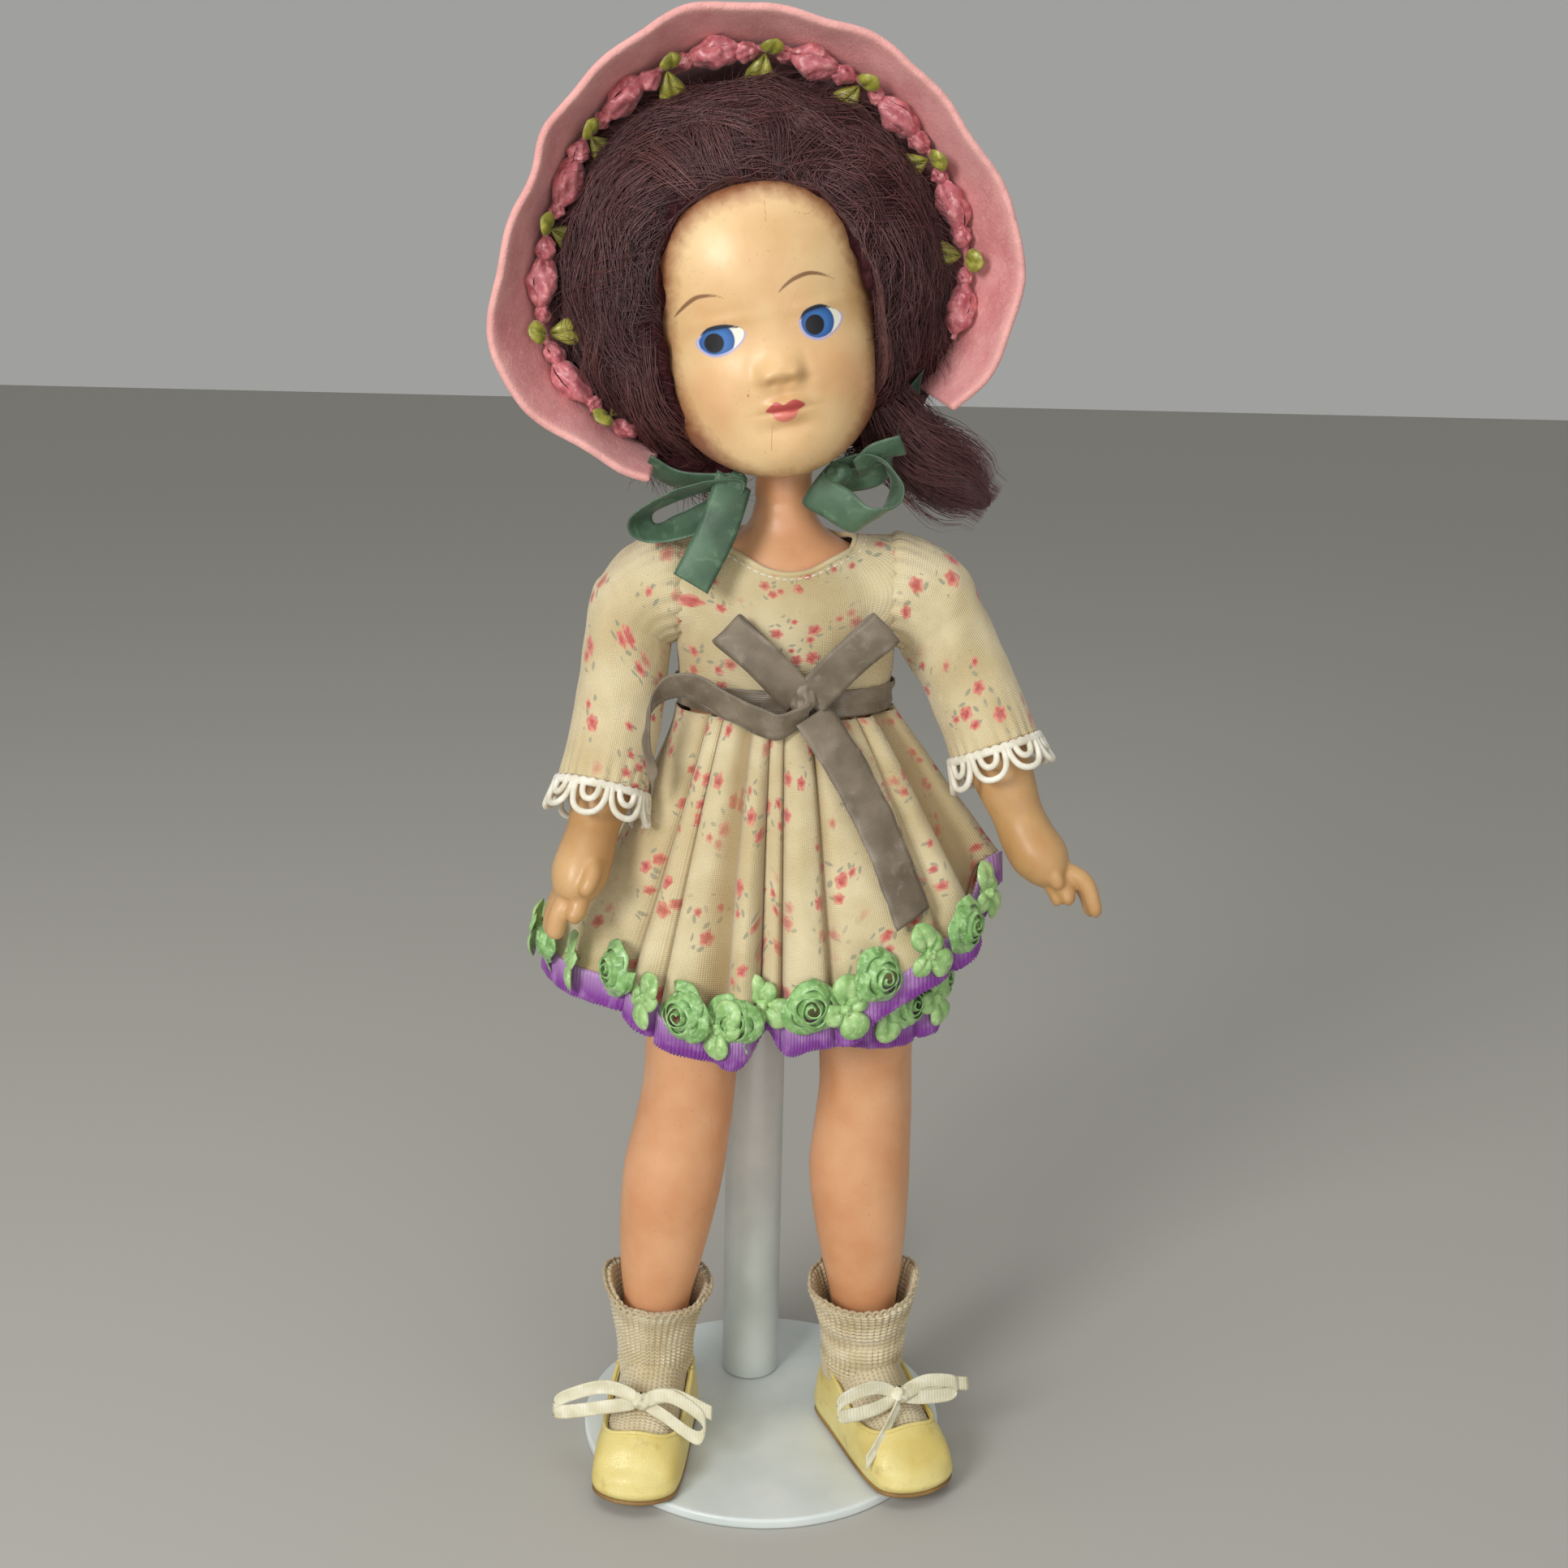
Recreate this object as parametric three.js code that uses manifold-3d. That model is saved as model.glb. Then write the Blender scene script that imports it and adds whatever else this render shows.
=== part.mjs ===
// A strung composition doll in a print dress and a felt bonnet, held by a waist-clip display stand.
// Millimetres, +Z up. The doll faces -Y; the origin is the centre of the stand base's underside.
import * as THREE from "three";
import { mergeVertices } from "three/addons/utils/BufferGeometryUtils.js";
import Module from "manifold-3d";

const wasm = await Module();
wasm.setup();

// Clearances and sheet thicknesses
const gap = 0.3; // between pieces that touch on the real doll
const jointGap = 0.4; // between a ball and its socket
const clothThickness = 1.2;
const feltThickness = 2;
const ribbonThickness = 0.9;
const leatherThickness = 1.2;
const knitThickness = 1.2;
const wallThickness = 3; // of the hollow composition torso and head

// Display stand
const baseRadius = 51;
const baseThickness = 3;
const baseChamfer = 0.8;
const postX = -4;
const postY = 23.5;
const postRadius = 8.3;
const postWall = 1.6;
const postTop = 118;
const stubHeight = 14;
const bushLength = 12;
const rodRadius = 3;
const rodLength = 104;
const rodTop = 174;
const clipWireRadius = 1.4;
const clipZ = 204;
const clipOpening = 100; // degrees left open at the front of the waist clip
const collarLength = 8;
const collarWall = 1.2;

// Doll: joint places
const dollX = 2; // the doll stands a little beside the base's centre
const dollY = -4;
const heelRoom = 0.6; // under the soles, so that a heel clears the base as the leg starts to swing
const soleZ = baseThickness + heelRoom;
const hipHeight = 160; // joint heights above the sole
const shoulderHeight = 241;
const neckHeight = 276;
const hipZ = soleZ + hipHeight;
const shoulderZ = soleZ + shoulderHeight;
const neckZ = soleZ + neckHeight;
const neckX = dollX - 1.4;
const neckY = dollY - 2;
const hipFace = 8.5; // from the middle to a leg's inner face
const shoulderFace = 27.5; // from the middle to an arm's inner face
const hipRadius = 17;
const shoulderRadius = 12;
const neckBallRadius = 9;
const neckRadius = 7;
const neckWall = 2.1;
const waistZ = 214;

// Head, in its own frame with the neck ball's centre at the origin
const headTilt = 11.5; // degrees towards the doll's right shoulder
const headTurn = 5; // degrees towards the doll's left
const headHeight = 79;
const chinDrop = 3; // the chin hangs this far below the ball's centre
const headHalfWidth = 30.4;
const faceDepth = 32;
const occiputDepth = 35;
const wigCapThickness = 0.8;
const wigHalfWidth = 45;
const wigTop = 85;
const wigBottom = -2;
const wigFront = -30;
const wigBack = 42;
const faceHalfWidth = 24.8; // of the opening that the wig leaves
const hairlineZ = 64;

// Felt bonnet, in the head's frame, round an axis that runs front to back
const hatCentreZ = 44;
const brimRadius = 58.4; // its mean reach; the table brimRows gives the waves
const brimFront = -14; // its outer edge, along the head's Y
const crownRadius = 48.5;
const crownFront = 9;
const crownDepth = 45;
const brimStart = -135; // degrees from the top, positive to the doll's right
const brimEnd = 142;
const garlandRadius = 2;
const garlandFlowers = 9;

// Stringing
const wireRadius = 0.9;
const elasticRadius = 1.2;
const elasticSpread = 3; // half the distance between the arm elastic's two runs
const stringHole = 5.6;
const neckBarRadius = 1.6;
const neckBarLength = 18;
const neckBarZ = 14; // above the ball's centre

// Dress
const dressEase = 1; // between the torso and the cloth
const necklineHalfWidth = 19;
const necklineHalfDepth = 14.5;
const sleeveRadius = 11;
const sleeveSides = 12;
const skirtEase = 1.5; // how far the gathered top stands off the bodice
const pleatCount = 16;
const pleatDepth = 2.2;
const hemRibbonWidth = 7;
const roseRadius = 3.6;
const roseCount = 16;
const sashWidth = 7;
const cuffDepth = 8;
const cuffScallops = 8;

// Feet
const footLength = 46;
const footHalfWidth = 8.6;
const soleThickness = 1.6;
const sockTop = 46;
const sockFlare = 3; // how far the loose rim stands off the leg
const tieWidth = 3.6;
const hatTieWidth = 8;

const turn = (degrees) => THREE.MathUtils.degToRad(degrees);
const vec = (x, y, z) => new THREE.Vector3(x, y, z);

// Solids: lofts, shells, tubes and ribbons, and the joins and cuts between them

// A closed mesh through rings of equally many points. A looped loft joins its last ring to its first.
function loft(rings, looped = false) {
  const count = rings[0].length;
  const points = rings.flat();
  const faces = [];
  const spans = looped ? rings.length : rings.length - 1;
  for (let i = 0; i < spans; i++) {
    const low = i * count;
    const high = ((i + 1) % rings.length) * count;
    for (let j = 0; j < count; j++) {
      const next = (j + 1) % count;
      faces.push(low + j, low + next, high + next, low + j, high + next, high + j);
    }
  }
  if (!looped) {
    const last = (rings.length - 1) * count;
    const ends = [rings[0], rings.at(-1)].map((ring) =>
      ring.reduce((sum, p) => sum.add(p), vec(0, 0, 0)).divideScalar(count),
    );
    points.push(...ends);
    for (let j = 0; j < count; j++) {
      const next = (j + 1) % count;
      faces.push(next, j, points.length - 2, last + j, last + next, points.length - 1);
    }
  }
  let volume = 0;
  for (let f = 0; f < faces.length; f += 3) {
    const [a, b, c] = [points[faces[f]], points[faces[f + 1]], points[faces[f + 2]]];
    volume += a.dot(vec(0, 0, 0).crossVectors(b, c));
  }
  if (volume < 0) faces.reverse();
  const geometry = new THREE.BufferGeometry();
  geometry.setFromPoints(points);
  geometry.setIndex(faces);
  return geometry;
}

// The wall between an outer and an inner stack of rings, open at both ends.
const shell = (outer, inner) => loft([...outer, ...inner.toReversed()], true);

function solid(geometry) {
  const bare = geometry.clone();
  bare.deleteAttribute("normal");
  bare.deleteAttribute("uv");
  const merged = mergeVertices(bare, 1e-4);
  return new wasm.Manifold(
    new wasm.Mesh({
      numProp: 3,
      vertProperties: new Float32Array(merged.attributes.position.array),
      triVerts: new Uint32Array(merged.index.array),
    }),
  );
}

function geometryOf(made) {
  const mesh = made.getMesh();
  const geometry = new THREE.BufferGeometry();
  geometry.setAttribute("position", new THREE.BufferAttribute(mesh.vertProperties, 3));
  geometry.setIndex(new THREE.BufferAttribute(mesh.triVerts, 1));
  return geometry;
}

const joined = (first, ...others) => others.reduce((sum, next) => sum.add(next), first);
const cut = (first, ...others) => others.reduce((rest, next) => rest.subtract(next), first);

// Smooth value of a table of [position, value, value, ...] rows at a position.
function along(table, position) {
  const last = table.length - 1;
  let i = table.findIndex((row) => row[0] >= position);
  if (i < 0) return table[last].slice(1);
  if (i === 0) return table[0].slice(1);
  i -= 1;
  const rows = [table[Math.max(i - 1, 0)], table[i], table[i + 1], table[Math.min(i + 2, last)]];
  const span = rows[2][0] - rows[1][0];
  const t = (position - rows[1][0]) / span;
  const slope = (a, b, k) => (b[0] === a[0] ? 0 : ((b[k] - a[k]) / (b[0] - a[0])) * span);
  return rows[1].slice(1).map((value, index) => {
    const k = index + 1;
    const end = rows[2][k];
    const leave = slope(rows[0], rows[2], k);
    const arrive = slope(rows[1], rows[3], k);
    return (
      value * (1 + 2 * t) * (1 - t) ** 2 +
      end * t * t * (3 - 2 * t) +
      leave * t * (1 - t) ** 2 -
      arrive * t * t * (1 - t)
    );
  });
}

const steps = (from, to, count) =>
  Array.from({ length: count + 1 }, (_, i) => from + ((to - from) * i) / count);

// A level oval ring.
function oval(x, y, z, halfWidth, halfDepth, count) {
  return steps(0, 2 * Math.PI, count)
    .slice(0, count)
    .map((a) => vec(x + halfWidth * Math.cos(a), y + halfDepth * Math.sin(a), z));
}

// Rings square to a path, with the half sizes that radiusAt(share) gives.
function ringsAlong(points, samples, count, radiusAt, side = vec(0, 1, 0)) {
  const curve = new THREE.CatmullRomCurve3(points);
  return steps(0, 1, samples).map((share) => {
    const centre = curve.getPointAt(share);
    const ahead = curve.getTangentAt(share);
    const across = vec(0, 0, 0).crossVectors(ahead, side).normalize();
    const up = vec(0, 0, 0).crossVectors(across, ahead).normalize();
    const [wide, deep] = radiusAt(share);
    return steps(0, 2 * Math.PI, count)
      .slice(0, count)
      .map((a) =>
        centre
          .clone()
          .addScaledVector(across, wide * Math.cos(a))
          .addScaledVector(up, deep * Math.sin(a)),
      );
  });
}

function tube(points, radius, samples, sides = 6) {
  const outline = new THREE.Shape();
  outline.absarc(0, 0, radius, 0, 2 * Math.PI);
  const path = new THREE.CatmullRomCurve3(points);
  const settings = { steps: samples, curveSegments: sides / 2, bevelEnabled: false, extrudePath: path };
  return new THREE.ExtrudeGeometry(outline, settings);
}

function closedTube(points, radius, samples, sides = 5) {
  const path = new THREE.CatmullRomCurve3(points, true);
  return new THREE.TubeGeometry(path, samples, radius, sides, true);
}

// A flat strip that follows points, with its width along the given direction.
function ribbon(points, width, across, samples, looped = false) {
  const curve = new THREE.CatmullRomCurve3(points, looped);
  const shares = steps(0, 1, samples);
  if (looped) shares.pop();
  const rings = shares.map((share) => {
    const centre = curve.getPointAt(share);
    const face = vec(0, 0, 0).crossVectors(curve.getTangentAt(share), across).normalize();
    return [
      [-1, -1],
      [1, -1],
      [1, 1],
      [-1, 1],
    ].map(([w, t]) =>
      centre
        .clone()
        .addScaledVector(across, (w * width) / 2)
        .addScaledVector(face, (t * ribbonThickness) / 2),
    );
  });
  return loft(rings, looped);
}

function cylinderX(fromX, toX, y, z, radius, sides = 18) {
  const geometry = new THREE.CylinderGeometry(radius, radius, Math.abs(toX - fromX), sides);
  geometry.rotateZ(Math.PI / 2);
  geometry.translate((fromX + toX) / 2, y, z);
  return solid(geometry);
}

function cylinderZ(x, y, fromZ, toZ, radius, sides = 18) {
  const geometry = new THREE.CylinderGeometry(radius, radius, toZ - fromZ, sides);
  geometry.rotateX(Math.PI / 2);
  geometry.translate(x, y, (fromZ + toZ) / 2);
  return solid(geometry);
}

function ball(x, y, z, radius, sides = 16) {
  const geometry = new THREE.SphereGeometry(radius, sides, sides / 2);
  geometry.rotateX(Math.PI / 2);
  geometry.translate(x, y, z);
  return solid(geometry);
}

function block(low, high) {
  const geometry = new THREE.BoxGeometry(high.x - low.x, high.y - low.y, high.z - low.z);
  geometry.translate((low.x + high.x) / 2, (low.y + high.y) / 2, (low.z + high.z) / 2);
  return solid(geometry);
}

// Finishes and the scene graph

const finish = (color, roughness, metalness = 0) =>
  new THREE.MeshStandardMaterial({ color, roughness, metalness });

const finishes = {
  paintedSteel: finish(0xd6dfe2, 0.45),
  springWire: finish(0xb9bcc0, 0.35, 1),
  nylon: finish(0xe8e6df, 0.5),
  composition: finish(0xd9a271, 0.4),
  facePaint: finish(0xe6bf8a, 0.38),
  elastic: finish(0xe9e2d2, 0.9),
  hardwood: finish(0xc9a26a, 0.7),
  gauze: finish(0x5b3a34, 0.9),
  mohair: finish(0x3d2122, 0.75),
  felt: finish(0xe2959a, 0.95),
  garland: finish(0xc8636b, 0.45),
  greenRibbon: finish(0x5c7f63, 0.4),
  voile: finish(0xdcc89a, 0.85),
  lace: finish(0xece6d2, 0.85),
  purpleRibbon: finish(0x7a3a8c, 0.5),
  roseRibbon: finish(0x6fae6a, 0.45),
  sashRibbon: finish(0x877a69, 0.5),
  knit: finish(0xdcc9a3, 0.9),
  shoeLeather: finish(0xe9d787, 0.5),
  soleLeather: finish(0x8a6a35, 0.8),
  tieRibbon: finish(0xece3c4, 0.7),
};

const doll = new THREE.Group();
const headGroup = new THREE.Group();
headGroup.position.set(neckX, neckY, neckZ);
headGroup.rotation.set(0, turn(-headTilt), turn(headTurn), "ZYX");
doll.add(headGroup);
headGroup.updateMatrixWorld(true);

function place(name, shape, material, parent = doll) {
  const mesh = new THREE.Mesh(shape.isBufferGeometry ? shape : geometryOf(shape), material);
  mesh.name = name;
  parent.add(mesh);
}

// Display stand: a disc with a stub, a tube on the stub, and a rod that slides in a bush in the tube

function makeStand() {
  const boreRadius = postRadius - postWall;
  const edge = baseRadius - baseChamfer;
  const outline = [
    [0, 0],
    [edge, 0],
    [baseRadius, baseChamfer],
    [baseRadius, baseThickness - baseChamfer],
    [edge, baseThickness],
    [0, baseThickness],
  ].map(([r, z]) => new THREE.Vector2(r, z));
  const disc = new THREE.LatheGeometry(outline, 36);
  disc.rotateX(Math.PI / 2);
  const stubFoot = baseThickness / 2;
  const stub = cylinderZ(postX, postY, stubFoot, baseThickness + stubHeight, boreRadius - gap);
  place("stand_base", solid(disc).add(stub), finishes.paintedSteel);

  const postFoot = baseThickness + gap;
  const post = cut(
    cylinderZ(postX, postY, postFoot, postTop, postRadius, 20),
    cylinderZ(postX, postY, postFoot - 1, postTop + 1, boreRadius, 20),
  );
  place("stand_post", post, finishes.paintedSteel);

  const bush = cut(
    cylinderZ(postX, postY, postTop - bushLength, postTop, boreRadius - gap),
    cylinderZ(postX, postY, postTop - bushLength - 1, postTop + 1, rodRadius + gap),
  );
  place("stand_bush", bush, finishes.nylon);
  const rod = cylinderZ(postX, postY, rodTop - rodLength, rodTop, rodRadius);
  place("stand_rod", rod, finishes.paintedSteel);
}

// The spring-wire clip: a collar over the rod's top, a stem, and two arms round the waist.
function makeClip() {
  const clearance = gap + clipWireRadius + 0.1;
  const [halfWidth, halfDepth] = torsoAt(clipZ);
  const from = clipOpening / 2 - 90;
  const arc = steps(from, from + 360 - clipOpening, 12).map((angle) =>
    vec(
      dollX + (halfWidth + clearance) * Math.cos(turn(angle)),
      dollY + (halfDepth + clearance) * Math.sin(turn(angle)),
      clipZ,
    ),
  );
  const collarRadius = rodRadius + gap + collarWall;
  const capThickness = 2;
  const collarTop = rodTop + gap + capThickness;
  const collar = cut(
    cylinderZ(postX, postY, collarTop - collarLength, collarTop, collarRadius, 12),
    cylinderZ(postX, postY, collarTop - collarLength - 1, rodTop + gap, rodRadius + gap, 12),
  );
  const ringBack = vec(dollX, dollY + halfDepth + clearance, clipZ);
  const stem = [
    vec(postX, postY, collarTop - capThickness / 2),
    vec(postX, postY - 1, collarTop + 4),
    vec((postX + dollX) / 2, ringBack.y + 1, clipZ - 9),
    ringBack,
  ];
  const clip = joined(
    collar,
    solid(tube(stem, clipWireRadius, 8)),
    solid(tube(arc, clipWireRadius, 16)),
  );
  place("stand_clip", clip, finishes.springWire);
}

// Torso: a hollow casting with a neck ball, shoulder and hip sockets and string holes

// Rows of height, half width and half depth.
const torsoRows = [
  [hipZ - 15, 13, 11],
  [hipZ - 9, 24, 15.5],
  [hipZ, 30, 18],
  [hipZ + 16, 31, 18],
  [hipZ + 32, 28, 16.8],
  [hipZ + 47, 24.5, 15.5],
  [shoulderZ - 22, 25.4, 16.5],
  [shoulderZ - 9, 26.6, 17.5],
  [shoulderZ + 2, 26.4, 16],
  [shoulderZ + 8, 23, 13.5],
  [shoulderZ + 12, 15, 11],
  [shoulderZ + 15, 10.5, 9],
  [shoulderZ + 19, 8, 7.7],
  [neckZ - 7, neckRadius, neckRadius],
  [neckZ, neckRadius, neckRadius],
];
const torsoAt = (z) => along(torsoRows, z);

function torsoLoft(extra, fromZ, toZ, samples, count) {
  const rings = steps(fromZ, toZ, samples).map((z) => {
    const [halfWidth, halfDepth] = torsoAt(z);
    const lean = THREE.MathUtils.smoothstep(z, shoulderZ, neckZ - 7);
    const x = dollX + lean * (neckX - dollX);
    const y = dollY + lean * (neckY - dollY);
    return oval(x, y, z, halfWidth + extra, halfDepth + extra, count);
  });
  return solid(loft(rings));
}

// What a leg needs clear as it swings forward, on the side given by the sign.
function hipClearance(sign) {
  const inner = dollX + sign * (hipFace - gap);
  const outer = dollX + sign * 60;
  const reach = hipRadius + gap + jointGap;
  const front = block(
    vec(Math.min(inner, outer), dollY - 60, hipZ - 60),
    vec(Math.max(inner, outer), dollY, hipZ + reach),
  );
  const below = block(
    vec(Math.min(inner, outer), dollY - 60, hipZ - 60),
    vec(Math.max(inner, outer), dollY + 60, hipZ),
  );
  return joined(cylinderX(inner, outer, dollY, hipZ, reach, 16), front, below);
}

function makeTorso() {
  const socketFace = shoulderFace - gap;
  const body = joined(
    torsoLoft(0, hipZ - 15, neckZ, 14, 16),
    cylinderX(dollX - socketFace, dollX + socketFace, dollY, shoulderZ, shoulderRadius),
    ball(neckX, neckY, neckZ, neckBallRadius),
  );
  const cavityFloor = hipZ + hipRadius + 7;
  const cavityTop = shoulderZ + 6;
  const slotHalf = hipFace - wallThickness - 0.5;
  const hollow = joined(
    torsoLoft(-wallThickness, cavityFloor, cavityTop, 5, 12),
    block(
      vec(dollX - slotHalf, dollY - 9, hipZ - 8),
      vec(dollX + slotHalf, dollY + 9, cavityFloor + 4),
    ),
    cylinderX(dollX - hipFace, dollX + hipFace, dollY, hipZ, stringHole, 12),
    cylinderX(dollX - shoulderFace, dollX + shoulderFace, dollY, shoulderZ, stringHole, 12),
    cylinderZ(
      (dollX + neckX) / 2,
      (dollY + neckY) / 2,
      cavityTop - 6,
      shoulderZ + 15,
      neckRadius - 0.6,
      12,
    ),
    cylinderZ(neckX, neckY, cavityTop, neckZ + neckBallRadius + 1, neckRadius - neckWall, 12),
  );
  place("torso", cut(body, hollow, hipClearance(-1), hipClearance(1)), finishes.composition);
}

// Legs: swing on the hip axis; each is one casting with its foot

// Rows of height above the hip axis, half width and half depth.
const legRows = [
  [-hipHeight + 4, 8.6, 8.6],
  [-hipHeight + 26, 8.4, 9.4],
  [-hipHeight + 40, 9.4, 9.6],
  [-hipHeight + 52, 11.4, 11],
  [-hipHeight + 65, 13, 12.6],
  [-hipHeight + 79, 13.9, 13.6],
  [-hipHeight + 92, 13.3, 13],
  [-hipHeight + 106, 12.6, 12.4],
  [-hipHeight + 120, 12.8, 13.2],
  [-hipHeight + 136, 13.3, 14.4],
  [-12, 13.5, 15.4],
  [0, 13.5, 16.4],
  [6, 13, 15.2],
  [11, 11.5, 12.2],
  [14.5, 9, 8],
  [16.5, 5, 2.5],
];

// Each leg's own set: how far its axis moves outward and forward going down, and the foot's turn.
const legSets = {
  right: { sign: -1, kneeOut: 2, calfOut: 6.2, ankleOut: 10.6, ankleForward: 3, toeOut: 6 },
  left: { sign: 1, kneeOut: 3, calfOut: 2.2, ankleOut: 4.6, ankleForward: -1, toeOut: 24 },
};

const hipX = (set) => dollX + set.sign * (hipFace + 13);

function legCentre(set, height) {
  const rows = [
    [-hipHeight, set.ankleOut, set.ankleForward],
    [-hipHeight + 38, set.ankleOut, set.ankleForward],
    [-hipHeight + 78, set.calfOut, set.ankleForward * 0.7],
    [-hipHeight + 106, set.kneeOut, set.ankleForward * 0.4],
    [0, 0, 0],
    [20, 0, 0],
  ];
  const [out, forward] = along(rows, height);
  return vec(hipX(set) + set.sign * out, dollY - forward, hipZ + height);
}

const legRing = (set, height, extra, count) => {
  const [halfWidth, halfDepth] = along(legRows, height);
  const centre = legCentre(set, height);
  return oval(centre.x, centre.y, centre.z, halfWidth + extra, halfDepth + extra, count);
};

// The foot from heel to toe: rows of share of its length, half width and height.
const footRows = [
  [0, 0.4, 9],
  [0.05, 0.72, 18],
  [0.15, 0.88, 25.5],
  [0.32, 0.92, 25.5],
  [0.5, 0.97, 18.5],
  [0.7, 1, 13.5],
  [0.85, 0.94, 10.5],
  [0.94, 0.72, 8.2],
  [1, 0.34, 5],
];
const heelBehind = 9; // the heel's distance behind the ankle's axis
const sockBottom = soleZ + soleThickness + gap;
const footBottom = sockBottom + knitThickness + gap;

function footLoft(set, extra, bottomZ) {
  const angle = turn(set.sign * set.toeOut);
  const ankle = legCentre(set, -hipHeight);
  const forward = vec(Math.sin(angle), -Math.cos(angle), 0);
  const sideways = vec(Math.cos(angle), Math.sin(angle), 0);
  const rings = footRows.map(([share, width, height]) => {
    const halfWidth = width * footHalfWidth + extra;
    const top = footBottom + height + extra;
    const reach = share * (footLength + 2 * extra) - heelBehind - extra;
    const centre = ankle.clone().addScaledVector(forward, reach);
    return steps(0, 2 * Math.PI, 10)
      .slice(0, 10)
      .map((a) => {
        const low = Math.sin(a) < 0;
        const flat = Math.sign(Math.cos(a)) * Math.abs(Math.cos(a)) ** 0.6;
        const middle = bottomZ + (top - bottomZ) * 0.4;
        const rise = low ? (middle - bottomZ) * Math.sin(a) : (top - middle) * Math.sin(a);
        return centre
          .clone()
          .addScaledVector(sideways, halfWidth * (low ? flat : Math.cos(a)))
          .setZ(middle + rise);
      });
  });
  return solid(loft(rings));
}

function makeLeg(side, set) {
  const hook = stringHook(set.sign, hipFace, hipZ, false);
  const inner = dollX + set.sign * hipFace;
  const far = dollX + set.sign * 60;
  const outside = block(
    vec(Math.min(inner, far), dollY - 90, 0),
    vec(Math.max(inner, far), dollY + 60, hipZ + 40),
  );
  const heights = steps(footBottom + 14 - hipZ, legRows.at(-1)[0], 11);
  const shank = solid(loft(heights.map((height) => legRing(set, height, 0, 12))));
  const leg = shank.add(footLoft(set, 0, footBottom)).intersect(outside);
  place(`leg_${side}`, cut(leg, hookPocket(set.sign, hipFace, hipZ)), finishes.composition);
  place(`leg_hook_${side}`, hook, finishes.springWire);
}

// Arms: swing on the shoulder axis; each is one casting with its hand

// Points of each arm's axis as [outward, forward, down] from its shoulder's centre.
const armSets = {
  right: {
    sign: -1,
    sleeveShare: 0.9,
    axis: [
      [6, 0, 0],
      [12.6, 2.5, 14.5],
      [14.8, 8, 35],
      [17.6, 15.5, 53],
      [20.6, 22, 67],
    ],
    hand: [
      [20.6, 22, 67],
      [23.5, 25, 75],
      [26, 30, 82],
      [27.4, 33, 88],
    ],
    thumb: [
      [21, 25, 70],
      [18.4, 30, 73],
      [18, 34, 79],
    ],
  },
  left: {
    sign: 1,
    sleeveShare: 0.78,
    axis: [
      [6, 0, 0],
      [15, 2, 14],
      [23.4, 6, 31],
      [29, 10, 46],
      [36.6, 14, 63],
    ],
    hand: [
      [36.6, 14, 63],
      [41.8, 16, 70],
      [48, 18, 76],
      [54.6, 19, 82],
    ],
    thumb: [
      [39, 18, 68],
      [41.4, 22, 74],
      [43.2, 24, 79],
    ],
  },
};

const armPoint = (set, [out, forward, down]) =>
  vec(dollX + set.sign * (shoulderFace + out), dollY - forward, shoulderZ - down);

// Rows of share of the arm's length and half sizes, from the shoulder to the wrist.
const armRows = [
  [0, 9.6, 9.6],
  [0.22, 7.7, 8],
  [0.4, 8, 8.4],
  [0.6, 7.8, 8.2],
  [0.75, 8.5, 8.5],
  [0.9, 7, 7.2],
  [1, 6, 6.2],
];
const handRows = [
  [0, 5.2, 5.6],
  [0.25, 5.2, 7.4],
  [0.5, 4.6, 7.4],
  [0.78, 3.6, 6],
  [1, 2.2, 3.8],
];

const armCurve = (set) => set.axis.map((point) => armPoint(set, point));

function makeArm(side, set) {
  const inner = dollX + set.sign * shoulderFace;
  const far = dollX + set.sign * 120;
  const outside = block(
    vec(Math.min(inner, far), dollY - 60, shoulderZ - 110),
    vec(Math.max(inner, far), dollY + 60, shoulderZ + 40),
  );
  const upper = solid(loft(ringsAlong(armCurve(set), 7, 9, (share) => along(armRows, share))));
  const hand = solid(
    loft(
      ringsAlong(
        set.hand.map((point) => armPoint(set, point)),
        6,
        10,
        (share) => along(handRows, share),
      ),
    ),
  );
  const thumb = solid(
    loft(
      ringsAlong(
        set.thumb.map((point) => armPoint(set, point)),
        4,
        6,
        (share) => [2.6 - 0.9 * share, 2.6 - 0.9 * share],
      ),
    ),
  );
  const stub = shoulderRadius - 1.4;
  const shoulder = joined(
    cylinderX(inner, inner + set.sign * 3, dollY, shoulderZ, stub, 12),
    ball(inner + set.sign * 3, dollY, shoulderZ, stub, 12),
  );
  const arm = joined(upper, shoulder, hand, thumb).intersect(outside);
  place(`arm_${side}`, cut(arm, hookPocket(set.sign, shoulderFace, shoulderZ)), finishes.composition);
  place(`arm_hook_${side}`, stringHook(set.sign, shoulderFace, shoulderZ, true), finishes.springWire);
}

// Stringing: wire hooks in the limbs and head, and two elastic loops inside the torso

// The blind hole for a hook's shank, with a wider mouth where the hook bends.
function hookPocket(sign, face, axisZ) {
  const inner = dollX + sign * face;
  return joined(
    cylinderX(inner - sign, inner + sign * 13, dollY, axisZ, wireRadius + 2 * gap, 8),
    cylinderX(inner - sign, inner + sign * 3, dollY, axisZ, wireRadius + 3, 12),
  );
}

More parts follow.
